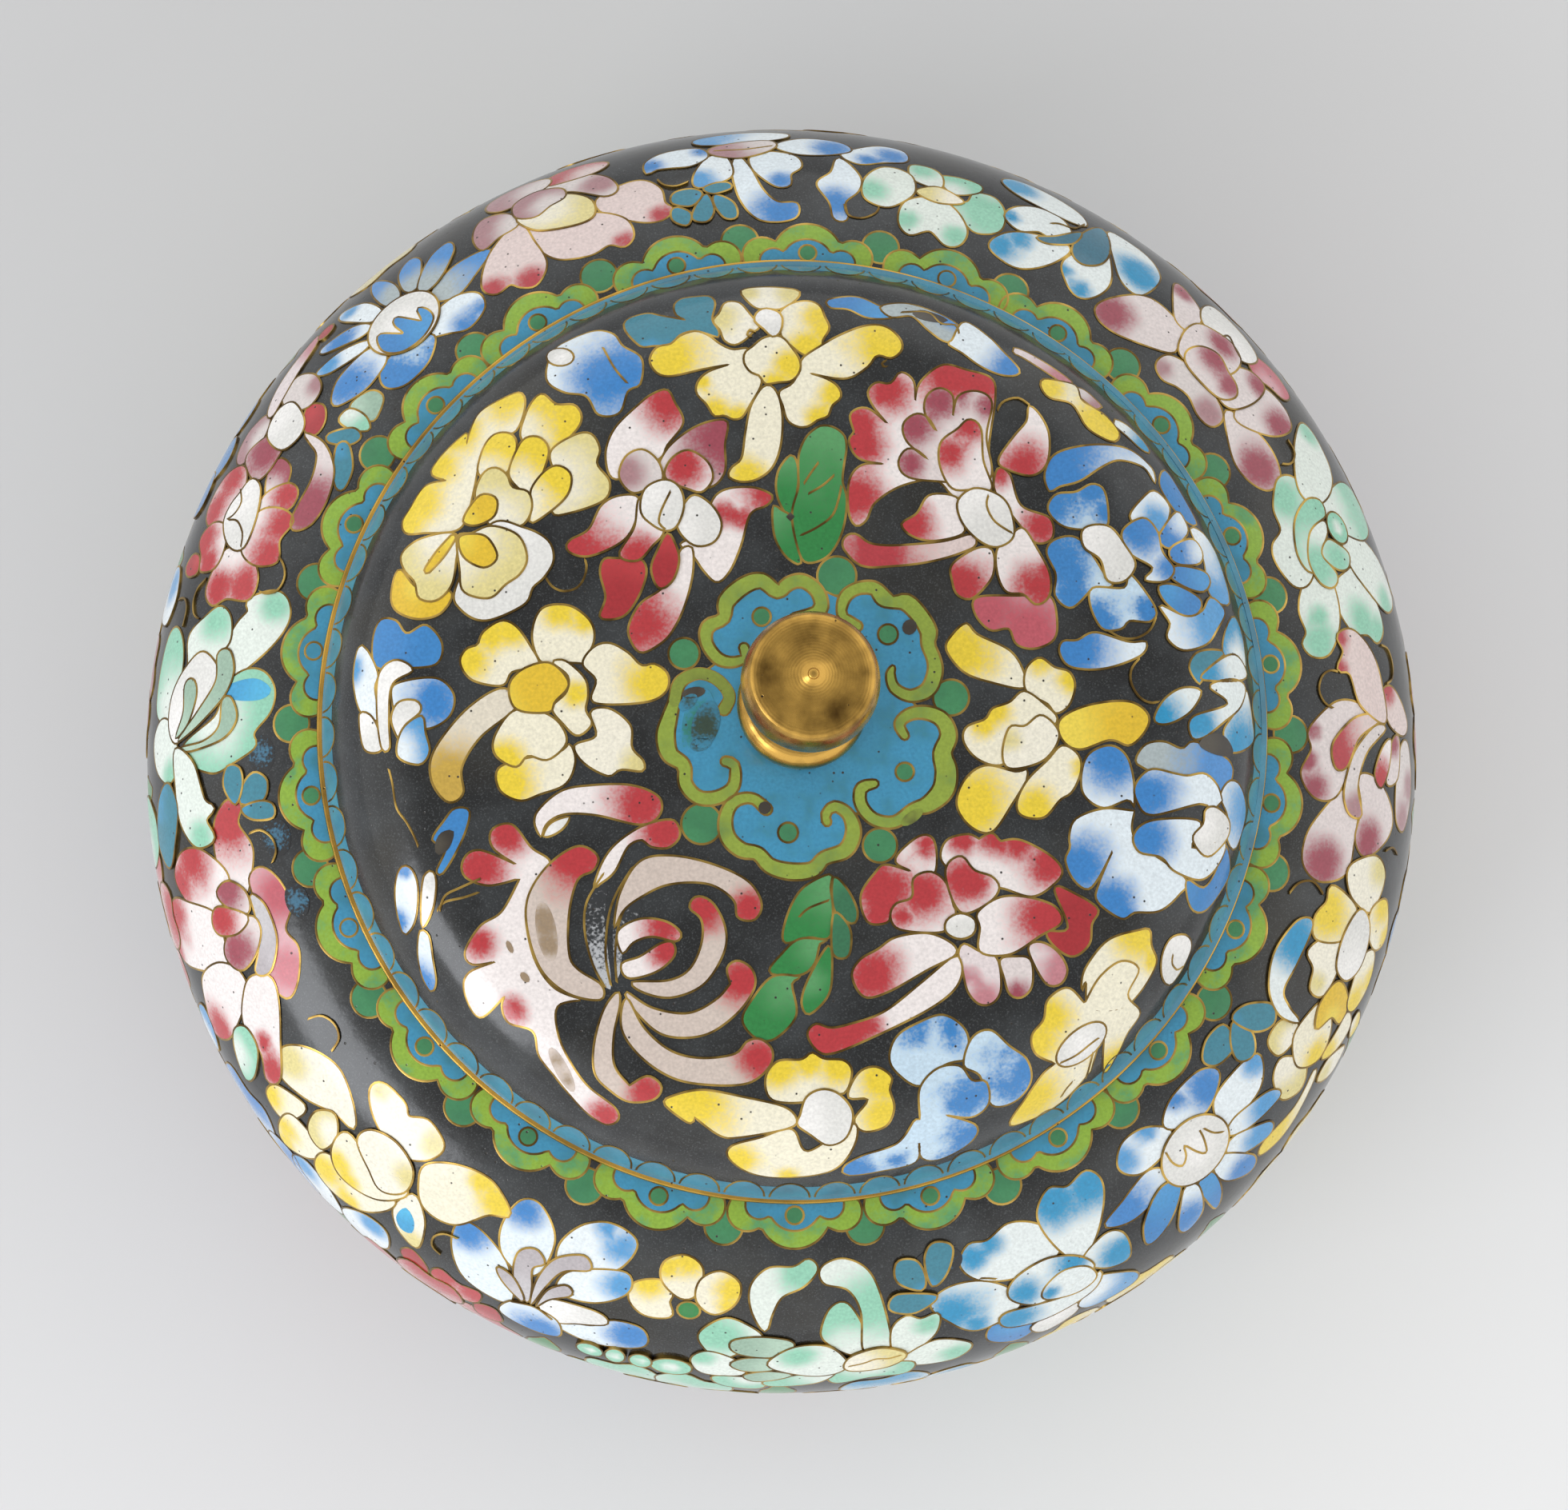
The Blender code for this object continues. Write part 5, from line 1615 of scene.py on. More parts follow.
# Flowers round the jar's shoulder, in degrees: azimuth, and how far down the jar's flat chart from the lip
shoulderFlowers = {
    "blue haze": {
        "high": ("oval", "smoke", (183.2, 7.2, 1.9, 1.4, 0), [(183.2, 7.2, 0.8)]),
        "middle": ("oval", "smoke", (192.4, 6.6, 1.9, 1.5, 0), [(192.4, 6.6, 0.9)]),
        "low": ("oval", "smoke", (199.6, 6.2, 1.8, 1.2, 0), [(199.6, 6.2, 0.7)]),
        "right": ("oval", "smoke", (285, 9.5, 2.4, 1.6, 0), [(285, 9.5, 0.9)]),
    },
    "mint curls": {
        "left": ("loop", "mint", [(16.5, 15.5), (15.3, 12.6), (13, 12.3), (10.5, 13.7), (10.2, 16),
            (9.4, 17.5), (11, 19.2), (14, 18.6), (16.5, 16.5)], [(11.3, 15.5, 1.8), (10.4, 18, 1.4)]),
        "upper left": ("loop", "mint", [(16.8, 10), (15.5, 8), (13.2, 6.9), (10.8, 7.2), (9.6, 6.4),
            (8.3, 7.4), (8.6, 9.6), (12, 11.8), (16, 12)], [(9.5, 8.3, 2), (12.3, 9, 1.1)]),
        "upper right": ("loop", "mint", [(19, 11), (16.3, 9), (16.3, 7.1), (19, 5.9), (21, 6.2),
            (22.4, 8.1), (25, 8.5), (27.5, 10.8), (26.8, 13), (24, 12.6)], [(25.8, 10.3, 2.2)]),
        "lower left": ("loop", "mint", [(18.5, 16), (16, 16.8), (12.9, 20), (12.6, 22.3), (14, 24.4),
            (17, 23.4), (19.5, 20), (20.4, 17)], [(13, 21.5, 1.4)]),
        "lower": ("loop", "mint", [(22, 15.5), (20.2, 17.8), (19.6, 21), (21, 24), (24, 24.2), (25.1, 21),
            (23.9, 16)]),
        "right": ("loop", "mint", [(24, 15), (24.9, 13.1), (27, 13.4), (30, 16), (31.7, 19.5), (30.5, 20.9),
            (27, 20.1), (25, 18)], [(30.8, 19.8, 1.2)]),
        "curl 1": ("loop", "mint", [(18, 12), (17.3, 9.7), (19.5, 8.9), (22.7, 10.2), (24.4, 13), (24, 15),
            (22.6, 14.8), (21.8, 13)]),
        "curl 2": ("loop", "mint", [(20.8, 14), (18.8, 12), (16.3, 13.2), (15.2, 12), (16, 10.5),
            (18.5, 10), (21.2, 11.6), (22, 14.2)], [(17.5, 11, 2)]),
        "curl 3": ("loop", "mint", [(20, 13.6), (18.7, 12.1), (17, 13.5), (16.9, 15.3), (18.2, 16.2),
            (19.3, 15)], [(18, 14, 1.6)]),
        "ring": ("oval", "mint", (21, 16, 1.6, 1.5, 0)),
        "curl left": ("wire", "", [(2.4, 9.2), (3, 8), (4.4, 7.4), (5.9, 8), (6.5, 9.2), (6.3, 10.3)]),
        "curl low": ("wire", "", [(5.2, 17.8), (5.8, 19.2), (7.2, 19.7), (8.6, 19.2), (9, 17.8)]),
    },
    "rose": {
        "upper left": ("loop", "rose", [(34.5, 11), (36.5, 9.8), (34.5, 8.2), (31.5, 6.9), (29, 7.2),
            (27.2, 8.8), (28, 11.1), (31, 11.9)], [(29.6, 9.5, 2.3)]),
        "left": ("loop", "rose", [(36.5, 13), (35.5, 10.4), (33.5, 11.6), (32, 14), (32, 17), (34, 18.2),
            (36.5, 17)], [(32.6, 15.5, 1.7)]),
        "top": ("loop", "mauve", [(42, 10), (39, 9.8), (36.4, 8.8), (36.2, 6.9), (38, 6.4), (40.3, 7.1),
            (42.2, 6.7), (43.7, 6), (45.3, 6.8), (45, 8.9)], [(37.5, 7.5, 1.5), (44.5, 7, 1)]),
        "right": ("loop", "rose", [(45.5, 11), (45.3, 9.6), (47.5, 8), (51, 6.5), (53.6, 6.6), (54.3, 8.3),
            (51.8, 12.5), (49.5, 13.7), (46, 13)], [(52.9, 8.1, 2.1)]),
        "right low": ("loop", "rose", [(45.8, 13.8), (47.6, 14), (49.6, 18), (49.5, 19.8), (46.8, 18.6),
            (45.6, 16.5)], [(48.8, 18.8, 1.1)]),
        "low left": ("loop", "rosy", [(36.5, 18.5), (38, 17.5), (39.5, 18.3), (39.5, 20.5), (37.5, 22),
            (35, 21.5), (34.8, 19.5)]),
        "low": ("loop", "white", [(41, 17), (42.6, 18), (45, 16.8), (46.2, 19), (45.5, 21.7), (42, 22),
            (39.6, 20.5), (39.6, 18)]),
        "inner left": ("loop", "rose", [(38.5, 10.4), (36.6, 10.7), (36, 14), (36.8, 17.3), (38.7, 16.8),
            (39.9, 14)], [(36.9, 16.8, 1.3)]),
        "inner right": ("loop", "rose", [(44, 10.2), (45.5, 12.5), (45.4, 15.5), (43.8, 17), (41.8, 17.8),
            (40.1, 16.5), (40.1, 13)], [(42.4, 16.3, 1.4)]),
        "bowl": ("loop", "rose", [(41, 9.7), (38.3, 10.2), (37.5, 12), (38.4, 13.2), (40, 13.6),
            (41.8, 14.3), (43.4, 13.2), (44, 11.3), (43.3, 10)], [(41.8, 13.4, 1.6), (38.6, 12.5, 1.2)]),
        "fold": ("wire", "", [(40.2, 17.2), (41.4, 17.8), (42.7, 18.8), (43, 17.5)]),
        "curl": ("wire", "", [(29, 12.2), (28.6, 13.6), (29.5, 15.1), (31, 15.2)]),
    },
    "turquoise and white": {
        "left low": ("loop", "aqua", [(57.5, 20.8), (54, 20.8), (51.8, 18.7), (51.3, 16), (51.9, 13.1),
            (53.8, 13.1), (55.5, 15), (57.6, 19)], [(53, 16, 2.2)]),
        "upper left": ("loop", "aqua", [(57.6, 15.8), (55.8, 13.6), (55, 11), (55.6, 8.6), (57, 7.5),
            (58.9, 8.6), (60, 11)], [(57, 8.3, 1.1), (59.6, 9.6, 0.8)]),
        "upper right": ("loop", "aqua", [(60.6, 13), (61, 10.3), (62.8, 7.8), (65, 6.8), (67.9, 7.9),
            (67, 10.3), (64.5, 12)], [(66.9, 8.5, 1.6), (65.4, 10.6, 1.2)]),
        "right": ("loop", "aqua", [(61, 15), (62.5, 13.2), (64, 13.2), (65.8, 12), (67.6, 13.1), (67, 15.2),
            (65, 16.9), (62.5, 17)], [(67.2, 13.5, 0.9)]),
        "right low": ("loop", "aqua", [(60.3, 18.5), (62.5, 17.6), (67, 18), (69.1, 19.8), (68, 21.6),
            (65, 21.8), (61.5, 20.5)], [(67.6, 20, 1.7)]),
        "pistil": ("loop", "teal", [(58.7, 19.8), (57, 16.5), (56.9, 13.6), (58.4, 11.9), (59.9, 12.8),
            (60, 16)]),
        "pistil right": ("loop", "teal", [(60.2, 16.5), (60.3, 13.9), (62.5, 11.9), (63.9, 12),
            (62.2, 13.6)]),
        "fold": ("wire", "", [(60.3, 18.7), (61, 16.6), (62.5, 16), (63.3, 15.2)]),
    },
    "mint heart": {
        "left": ("loop", "mint", [(71.8, 13), (74, 12.2), (72, 10.6), (70, 9.2), (67.8, 10.6), (68, 13.5),
            (69.4, 15.4), (71.3, 15)], [(69.5, 12.3, 3)]),
        "low left": ("loop", "mint", [(73.5, 13.8), (71.2, 15.3), (71.1, 16.9), (73.5, 17), (75.2, 16)]),
        "low right": ("loop", "mint", [(75, 14), (75, 16.2), (76.3, 17.4), (78.2, 17), (77.7, 14.5)],
            [(77, 16.5, 1.2)]),
        "upper": ("loop", "mint", [(75.3, 12), (73, 11.2), (71.1, 8.8), (71.3, 6.7), (72.7, 6.1),
            (74.8, 7.4), (76.9, 6.2), (78.2, 7.6), (77.9, 10.4)], [(72, 7.5, 1.2), (77.6, 8, 1.1)]),
        "right": ("loop", "mint", [(77.5, 12.5), (78.4, 10.6), (80.1, 9.3), (82.3, 10.2), (82.4, 13),
            (80.7, 15.4), (78.3, 15)], [(81.7, 11.5, 1.4)]),
        "heart": ("loop", "cream", [(72.2, 12.8), (73.5, 11.9), (75.3, 11.6), (77.2, 12.5), (75.3, 14),
            (73.4, 13.6)]),
        "curl": ("wire", "", [(80.7, 9), (81, 8), (82.4, 7), (84, 7.2), (84.5, 8.8)]),
    },
    "blue trumpet": {
        "bud": ("loop", "blue", [(85.3, 16.2), (83.2, 13.3), (83.2, 11), (84.5, 9), (84.1, 6.7),
            (85.4, 6.6), (86, 8.8), (87.4, 11.5), (86, 13.5)], [(85.3, 8.8, 1.9)]),
        "left low": ("loop", "blue", [(85, 17), (83.3, 15.7), (81, 16.7), (78.8, 17.8), (79.2, 20.1),
            (81.2, 20.5), (83.5, 18.8)], [(80, 18.3, 1.5), (82.3, 16.6, 1)]),
        "left": ("loop", "blue", [(91.4, 18.5), (89.5, 16.8), (86.5, 16.9), (84.3, 18.2), (85.5, 20),
            (88.8, 20.4)], [(86, 18.6, 1.6)]),
        "upper left": ("loop", "blue", [(92.5, 17), (89.8, 16.1), (89.2, 14.2), (90.3, 12.9), (90.4, 11.2),
            (91.8, 11.1), (93.7, 13.5), (94, 16)], [(91.2, 11.8, 1.1)]),
        "long": ("loop", "blue", [(95.3, 16.3), (94.3, 14), (93.3, 10.5), (91.8, 8.5), (89.7, 8.3),
            (89.8, 6.5), (92, 5.9), (94.2, 6.6), (95.7, 9.5), (96, 14)], [(91.4, 7, 2.6)]),
        "right": ("loop", "sky", [(96.5, 16.3), (96.2, 13.2), (97.8, 12.1), (100, 11.9), (99.8, 14),
            (98, 16.8)], [(99.6, 12.6, 1.4)]),
        "right low": ("loop", "blue", [(98.3, 17), (100, 15.7), (102, 16), (103.5, 16.2), (104.4, 15.8),
            (104.1, 18), (102, 19.3), (99, 19)], [(98.6, 18.3, 0.9), (104, 17, 1.2)]),
        "under": ("loop", "sky", [(91, 20.3), (95, 19.4), (98.5, 20), (98.7, 21.8), (94, 22.6),
            (90.4, 21.8)]),
        "heart": ("loop", "mauve", [(91.5, 18.5), (92.6, 17), (95.3, 16.1), (97.7, 17.3), (97.3, 18.8),
            (92.6, 19.6)]),
        "fold": ("wire", "", [(91.7, 18.3), (94.5, 17.7), (97.6, 18)]),
        "drop 1": ("loop", "turquoise", [(98.3, 10.2), (96.5, 8.8), (96.3, 6.8), (97.6, 6.7), (98.5, 8.6)]),
        "drop 2": ("loop", "turquoise", [(99.1, 10.4), (98.7, 8), (99.7, 6.6), (101.2, 7.3), (100.3, 9.3)]),
        "drop 3": ("loop", "turquoise", [(102.4, 9.2), (101.2, 8), (101.9, 6.5), (103.3, 7.5), (103.2, 9)]),
        "drop 4": ("loop", "turquoise", [(99.6, 10.5), (101, 9.1), (102.9, 10), (102.4, 11.4),
            (100.5, 11.5)]),
        "stalk": ("loop", "turquoise", [(96.5, 10.8), (98.5, 10.3), (99.4, 11.3), (98, 11.9),
            (96.6, 11.7)]),
        "curl": ("wire", "", [(100.6, 12.8), (102, 12.4), (103.2, 13), (103.7, 14.2)]),
    },
    "pale red": {
        "left": ("loop", "blush", [(110, 13.7), (107.5, 14.8), (105.2, 14.7), (103.8, 12.7), (103.8, 10.4),
            (103.1, 9.3), (104.6, 8.3), (107, 9), (109.8, 11.5)], [(104.3, 8.9, 1.1)]),
        "upper": ("loop", "blush", [(114, 13), (110.6, 11.6), (108.3, 9.5), (108.1, 7.2), (109.3, 6.2),
            (110.8, 7.1), (113.2, 6.7), (116.5, 8), (117.7, 11), (117, 14)], [(109, 6.8, 1)]),
        "upper right": ("loop", "blush", [(118.4, 15), (118, 11.5), (118.1, 8), (120.1, 6.2), (121.6, 6.9),
            (122.4, 8), (124.3, 7.9), (124.9, 9.6), (122.2, 13)], [(120.2, 6.8, 1.4), (124.3, 8.6, 1.2)]),
        "right low": ("loop", "mauve", [(118.3, 15.3), (120.6, 14.9), (122.6, 14.4), (122.5, 17),
            (120.8, 19.4), (118.6, 18)]),
        "left low": ("loop", "mauve", [(112, 17), (109.2, 14.1), (107.8, 14.6), (108.3, 17.2),
            (110.2, 19.1), (114.5, 19.8), (114.5, 18.5)], [(109.2, 16.4, 1.5)]),
        "under left": ("loop", "blush", [(109.3, 19.2), (107.6, 20.6), (109.5, 22.4), (112.6, 22.4),
            (113.5, 20)]),
        "under right": ("loop", "mauve", [(114, 20), (113.4, 22), (115.8, 23.6), (118.8, 22.9),
            (119.6, 20.8), (118, 19)]),
        "inner": ("loop", "cream", [(116, 16.5), (113, 16.6), (110.9, 14.2), (111.2, 11.7), (113.5, 11.5),
            (116.8, 13), (117.9, 16)]),
        "inner low": ("loop", "mauve", [(114.6, 15.8), (116.4, 15.1), (117.9, 16.5), (117.3, 18.9),
            (115, 19.5), (112.9, 18.1), (112.9, 16.3)]),
    },
    "blue daisy": {
        "petal 1": ("loop", "slate", [(129.6, 12), (127.5, 10.8), (124.5, 12), (122.1, 13.8), (125.5, 14.6),
            (129, 13.6)]),
        "petal 2": ("loop", "blue", [(131, 10.4), (128, 10.6), (126, 9.2), (126.4, 7.2), (129, 6.3),
            (131, 7.4), (133, 9)], [(129, 6.7, 1.4), (126.7, 7.4, 0.9)]),
        "petal 3": ("loop", "cloudy", [(134, 9.6), (132.6, 8.2), (135, 6.4), (138.4, 6.4), (140, 8),
            (139, 9.8), (136.5, 10.2)]),
        "petal 4": ("loop", "blue", [(137.2, 12), (138, 10.4), (141.5, 10), (144.6, 11.8), (142.5, 13.6),
            (138.5, 13.4)], [(142, 12, 2.3)]),
        "petal 5": ("loop", "sky", [(137.2, 14.2), (138.6, 13.8), (142, 15.5), (142.8, 17.3),
            (139.8, 16.5)], [(141.5, 16.4, 1.2)]),
        "petal 6": ("loop", "blue", [(135.9, 15.8), (137.5, 15.7), (140.6, 18.6), (140.3, 19.7),
            (137, 17.9)], [(138.8, 18, 1.6)]),
        "petal 7": ("loop", "sky", [(134.1, 16.4), (135.6, 16.3), (137, 20.6), (136.4, 22.3), (134.5, 20)],
            [(136, 21, 1)]),
        "petal 8": ("loop", "slate", [(131.8, 16.2), (133.4, 16.4), (133.3, 20), (132.2, 22.5),
            (131.3, 19)]),
        "petal 9": ("loop", "slate", [(129.9, 15.5), (131.1, 16.2), (130.2, 19.6), (128.4, 21),
            (127.9, 19)]),
        "petal 10": ("loop", "slate", [(129.4, 13.9), (130, 15.1), (127, 18.3), (124.8, 18.9), (124.9, 17),
            (127.3, 14.6)]),
        "disc": ("oval", "white", (133.6, 12.5, 3.9, 3.5, 0)),
        "crown": ("loop", "azure", [(131.3, 10), (133.5, 9.1), (136, 9.6), (137.2, 11.5), (136.3, 13.6),
            (135.1, 12), (134.4, 11), (134.4, 13), (133.8, 13.8), (132.9, 12), (132.2, 10.8), (131.6, 12.6),
            (131, 11.5)]),
    },
    "dusty bow": {
        "drop 1": ("loop", "sage", [(144, 10), (141.5, 9.3), (141.1, 7.6), (142.5, 6.7), (144.1, 6.7)]),
        "drop 2": ("loop", "mint", [(144.2, 9.9), (144, 7.6), (145, 6.2), (146, 8), (145.8, 10.2)]),
        "drop 3": ("loop", "turquoise", [(147.6, 10.2), (145.8, 8), (146.2, 6.5), (147.6, 7.2),
            (148.4, 9.6)]),
        "drip": ("loop", "turquoise", [(148.4, 8.4), (147.6, 7.3), (149.8, 5.2), (152.4, 4.9), (152, 6.3)]),
        "dot": ("loop", "scarlet", [(146.2, 15), (145.3, 13.2), (146.6, 11.7), (148.3, 11.7),
            (148.3, 13.5)]),
        "bow": ("loop", "rose", [(148.7, 13), (148.8, 10), (150.8, 7.2), (154, 6.1), (157.2, 6.5),
            (158.5, 8.2), (157.3, 9), (153, 8.9), (150.2, 9.9), (149.3, 11.7)], [(155.8, 7.7, 3)]),
        "grey": ("loop", "mauve", [(146, 15), (144, 15.1), (143.1, 17.3), (144, 19.8), (146.3, 19.6),
            (147, 17)], [(143.6, 16, 1.2)]),
        "white": ("loop", "white", [(147.8, 18.9), (146.5, 17.5), (147.4, 14.6), (149, 13.6), (151, 14.8),
            (150.2, 18)]),
        "strip": ("loop", "pink", [(148.2, 19.4), (144.6, 20.2), (140.4, 21.5), (139.6, 23), (144.8, 22.5),
            (148, 20.8)], [(139.8, 22, 1.8)]),
        "knot": ("oval", "scarlet", (138.7, 21.8, 1, 0.9, 0)),
    },
    "red": {
        "back left": ("loop", "rose", [(156, 13.5), (153.5, 15), (152, 14.3), (152.6, 12.3), (155, 11.8)]),
        "upper left": ("loop", "red", [(157.6, 13.6), (155.8, 13.7), (154.1, 11.5), (154.6, 9.9),
            (156.6, 10.1)], [(155.4, 10.8, 1.7)]),
        "under left": ("loop", "mauve", [(150.5, 18.8), (148.3, 20.3), (150.3, 22.4), (153, 21.8),
            (153.5, 19.9)]),
        "bowl": ("loop", "rose", [(154.7, 16.4), (153.5, 15.1), (150.3, 15), (149.6, 16.6), (151.2, 18.9),
            (153, 19.6)], [(152, 17.2, 2.4)]),
        "right": ("loop", "red", [(162.1, 15.6), (162.2, 13), (164.2, 10.8), (166.6, 11), (166.8, 14),
            (167.6, 15.7), (166.3, 17.2), (163.3, 16.6)], [(165.6, 12, 2), (166.2, 15.5, 1.8)]),
        "upper": ("loop", "red", [(160, 14.2), (157.7, 13.2), (157, 10.7), (157.7, 8.9), (160, 9.6),
            (162.2, 8.9), (163, 11.3), (162, 13.6)], [(158.4, 9.8, 2.1), (161.8, 10, 2.1)]),
        "low left": ("loop", "red", [(157.5, 17.2), (155, 17.8), (154, 19.6), (155.4, 22), (158.5, 22.5),
            (160, 20.6), (159.7, 18)], [(155.1, 20.2, 1.9), (158.5, 21, 1.8)]),
        "low right": ("loop", "red", [(161.3, 16.8), (159.9, 18), (160, 20.2), (161.5, 21.5), (163, 20),
            (164.4, 19.3), (164.2, 17.3), (163, 16.6)], [(161.8, 20.2, 1.7), (163.8, 18.4, 1.4)]),
        "tail": ("loop", "scarlet", [(163.2, 20.4), (164.7, 19.8), (165.1, 21.5), (164.2, 22.8),
            (163, 22)]),
        "heart": ("loop", "white", [(156.6, 17.4), (155, 16.7), (155.6, 14.9), (158.5, 13.7), (161.6, 13.8),
            (161.6, 15.8), (159.6, 17.9), (157.9, 18)]),
        "fold": ("wire", "", [(161.8, 14), (160.3, 14.5), (159.2, 16), (159.3, 17.6)]),
        "fold low": ("wire", "", [(156, 17.8), (157.3, 16.6), (158.6, 16.9), (159.3, 17.8)]),
        "curl": ("wire", "", [(161.7, 8.8), (162.5, 7.8), (163.8, 7.2), (165.3, 7.6), (165.9, 9),
            (165.7, 9.9)]),
        "curl low": ("wire", "", [(165.2, 17.7), (166.2, 18.8), (167.5, 19), (168.8, 18.3), (169.2, 17.2)]),
        "curl lowest": ("wire", "", [(167.3, 22.4), (167.2, 21), (168.2, 20), (170, 20)]),
    },
    "mint plume": {
        "upper left": ("loop", "mint", [(175, 12.8), (172, 12.6), (169.5, 11.6), (168, 10.5), (166.9, 10.9),
            (165.6, 8), (166.3, 6.2), (168.5, 5.6), (171.4, 7.1), (174.2, 10.2)], [(167, 7.4, 1.5)]),
        "upper right": ("loop", "mint", [(179, 13), (176, 12), (174.3, 9.5), (174.5, 7.3), (176.2, 6),
            (178.5, 6.3), (180.8, 8.3), (182.2, 8.1), (183.6, 11), (184.2, 13.8), (181.9, 18)]),
        "streak": ("loop", "glaze", [(176.2, 6.4), (177.1, 7.4), (177.2, 10), (176.6, 12), (175.7, 11),
            (175.2, 8.2)]),
        "left": ("loop", "mint", [(176, 16.8), (173, 17.9), (170.8, 18.3), (169, 16.2), (168, 14.5),
            (168.9, 12.9), (171.2, 12.4), (173, 13.8), (176.5, 14.4)], [(169.3, 14.5, 1.7)]),
        "low left": ("loop", "mint", [(177.8, 20), (174, 19), (171.3, 19.8), (170.1, 21.6), (171.6, 23.2),
            (177, 23.8), (178.6, 22)]),
        "low right": ("loop", "mint", [(179.3, 20.2), (178.7, 22.3), (180.3, 24), (183, 23.2),
            (184.4, 20.5), (182.5, 18.8)], [(184, 20.4, 1.2)]),
        "body": ("loop", "white", [(180.8, 18.8), (178.4, 15.8), (174.8, 13.2), (172.6, 15.6), (174, 18),
            (176.5, 20), (179.3, 20.3)]),
        "feather 1": ("loop", "sage", [(180.8, 18.6), (178.4, 15.7), (175.4, 13.3), (172.6, 13.5),
            (172.2, 12), (174.4, 11.1), (177, 12.2), (179.6, 15.5)]),
        "feather 2": ("loop", "sage", [(181.5, 18.2), (181.2, 14.6), (179.9, 12.5), (177.3, 12.2),
            (177, 11.1), (179.2, 10.2), (181.2, 12), (182, 16.5)]),
        "feather 3": ("loop", "sage", [(180.5, 19), (178.2, 17.8), (175.5, 17.9), (175.1, 16.6),
            (176.6, 15.9), (179.3, 17)]),
        "drop 1": ("loop", "turquoise", [(188, 10.1), (186, 9.4), (185.1, 8), (186.2, 6.7), (188.1, 7.4)]),
        "drop 2": ("loop", "turquoise", [(188.6, 10.1), (188.2, 7.8), (188.8, 6.3), (190.2, 6.5),
            (189.9, 9)]),
        "drop 3": ("loop", "turquoise", [(188, 10.8), (186, 12), (184.1, 11.4), (184.4, 9.9),
            (186.2, 9.7)]),
        "leaf": ("loop", "mint", [(181.7, 18.9), (183.3, 16.2), (187, 14.9), (187.9, 13.7), (188.9, 15),
            (190.8, 14.3), (191, 16.8), (188.5, 18.7), (185, 19)], [(190.4, 16, 1.4)]),
        "oval": ("loop", "turquoise", [(186, 22.8), (184.7, 20.6), (187, 19.3), (190, 20.6), (191.9, 22.5),
            (189.5, 24.1)]),
    },
    "red and white peony": {
        "left": ("loop", "red", [(196.5, 12.6), (193.5, 14.4), (189.5, 13.9), (187.6, 12), (188.2, 10.4),
            (190, 11.1), (193, 9.9), (196.8, 11.7)], [(189.6, 12.3, 3)]),
        "back": ("loop", "rosy", [(199, 11), (195.8, 10.8), (195.2, 9.2), (197, 7.7), (199.8, 7.3),
            (202, 8.9), (204.4, 8.3), (207.2, 10), (208.1, 12), (205, 12.8)], [(198.5, 8.3, 2),
            (206, 10.3, 2)]),
        "left bowl": ("loop", "red", [(197.3, 16.8), (196.3, 14.3), (194.3, 13.9), (191.7, 16.6),
            (191.3, 19.8), (193.2, 22), (196.3, 19.8)], [(192.3, 18.3, 2.2), (193.8, 21.2, 1.8)]),
        "low left": ("loop", "red", [(200, 16.8), (197.7, 17), (195.9, 20.6), (195, 23.5), (196.3, 26.5),
            (199.5, 26.5), (201.5, 22.5), (202.5, 18)], [(196, 24.3, 2.2), (198.5, 26.8, 1.5)]),
        "low right": ("loop", "red", [(203.5, 16.6), (202.2, 19), (202.6, 22.6), (205, 24.6), (207, 25.8),
            (208.2, 23), (207.3, 19.3), (205.5, 16.4)], [(207.2, 23.8, 1.9)]),
        "right": ("loop", "red", [(206, 16.9), (204.9, 15), (205.8, 12.8), (208.3, 13.4), (211.5, 15.8),
            (214.1, 18.5), (213.6, 20.3), (211.4, 18.7), (208.3, 18.9)], [(213.2, 18.8, 1.5),
            (210.6, 17.6, 0.9)]),
        "band": ("loop", "ash", [(199.5, 11.5), (197.3, 11.3), (199, 10), (202.5, 10.1), (205.1, 12.3),
            (204.6, 14.1), (202.6, 12.5)]),
        "lobe left": ("loop", "rose", [(198.9, 12.3), (197.4, 14.8), (195.9, 15.5), (195.3, 13.6),
            (197, 11.8)], [(196, 14, 1.8)]),
        "lobe right": ("loop", "rose", [(199.4, 12.2), (201, 11.6), (203, 13.4), (203.6, 15.8),
            (201.9, 17.1), (200.3, 15.8)], [(202, 15.3, 1.9)]),
        "lobe middle": ("loop", "red", [(199.2, 12.5), (200.3, 14.3), (199.7, 16.9), (198.3, 17.3),
            (197.3, 15.9)], [(198.5, 15.8, 1.8)]),
        "curl": ("wire", "", [(191.3, 9.8), (191.2, 8.3), (192.3, 7.1), (193.8, 6.9), (195, 7.8)]),
        "curl right": ("wire", "", [(211.2, 11), (211.7, 9.3), (213.2, 8.5), (214.7, 9), (215.3, 10.7)]),
        "leaf": ("loop", "mint", [(209.8, 22.8), (208.2, 20.9), (208.6, 19), (210.8, 19.1), (212.4, 21.8),
            (212.2, 24)]),
    },
    "cream flower": {
        "back left": ("loop", "cream", [(220, 15), (217, 17), (214, 18), (212.3, 15.8), (213.8, 13),
            (217, 11.4), (220.4, 12.6), (222.3, 14.5)], [(213.6, 16, 1.6)]),
        "top": ("loop", "cream", [(226.5, 12.6), (223, 11.4), (220.9, 9.6), (221.5, 8.2), (224.3, 8),
            (225.6, 8.8), (227.5, 7.5), (230.2, 8.4), (230.1, 10.3), (228.6, 12)], [(229.6, 9, 1.2),
            (221.6, 9, 0.9)]),
        "right": ("loop", "yellow", [(230.8, 13.5), (230.4, 11.4), (233, 9.2), (236.6, 8.5), (239.8, 10.5),
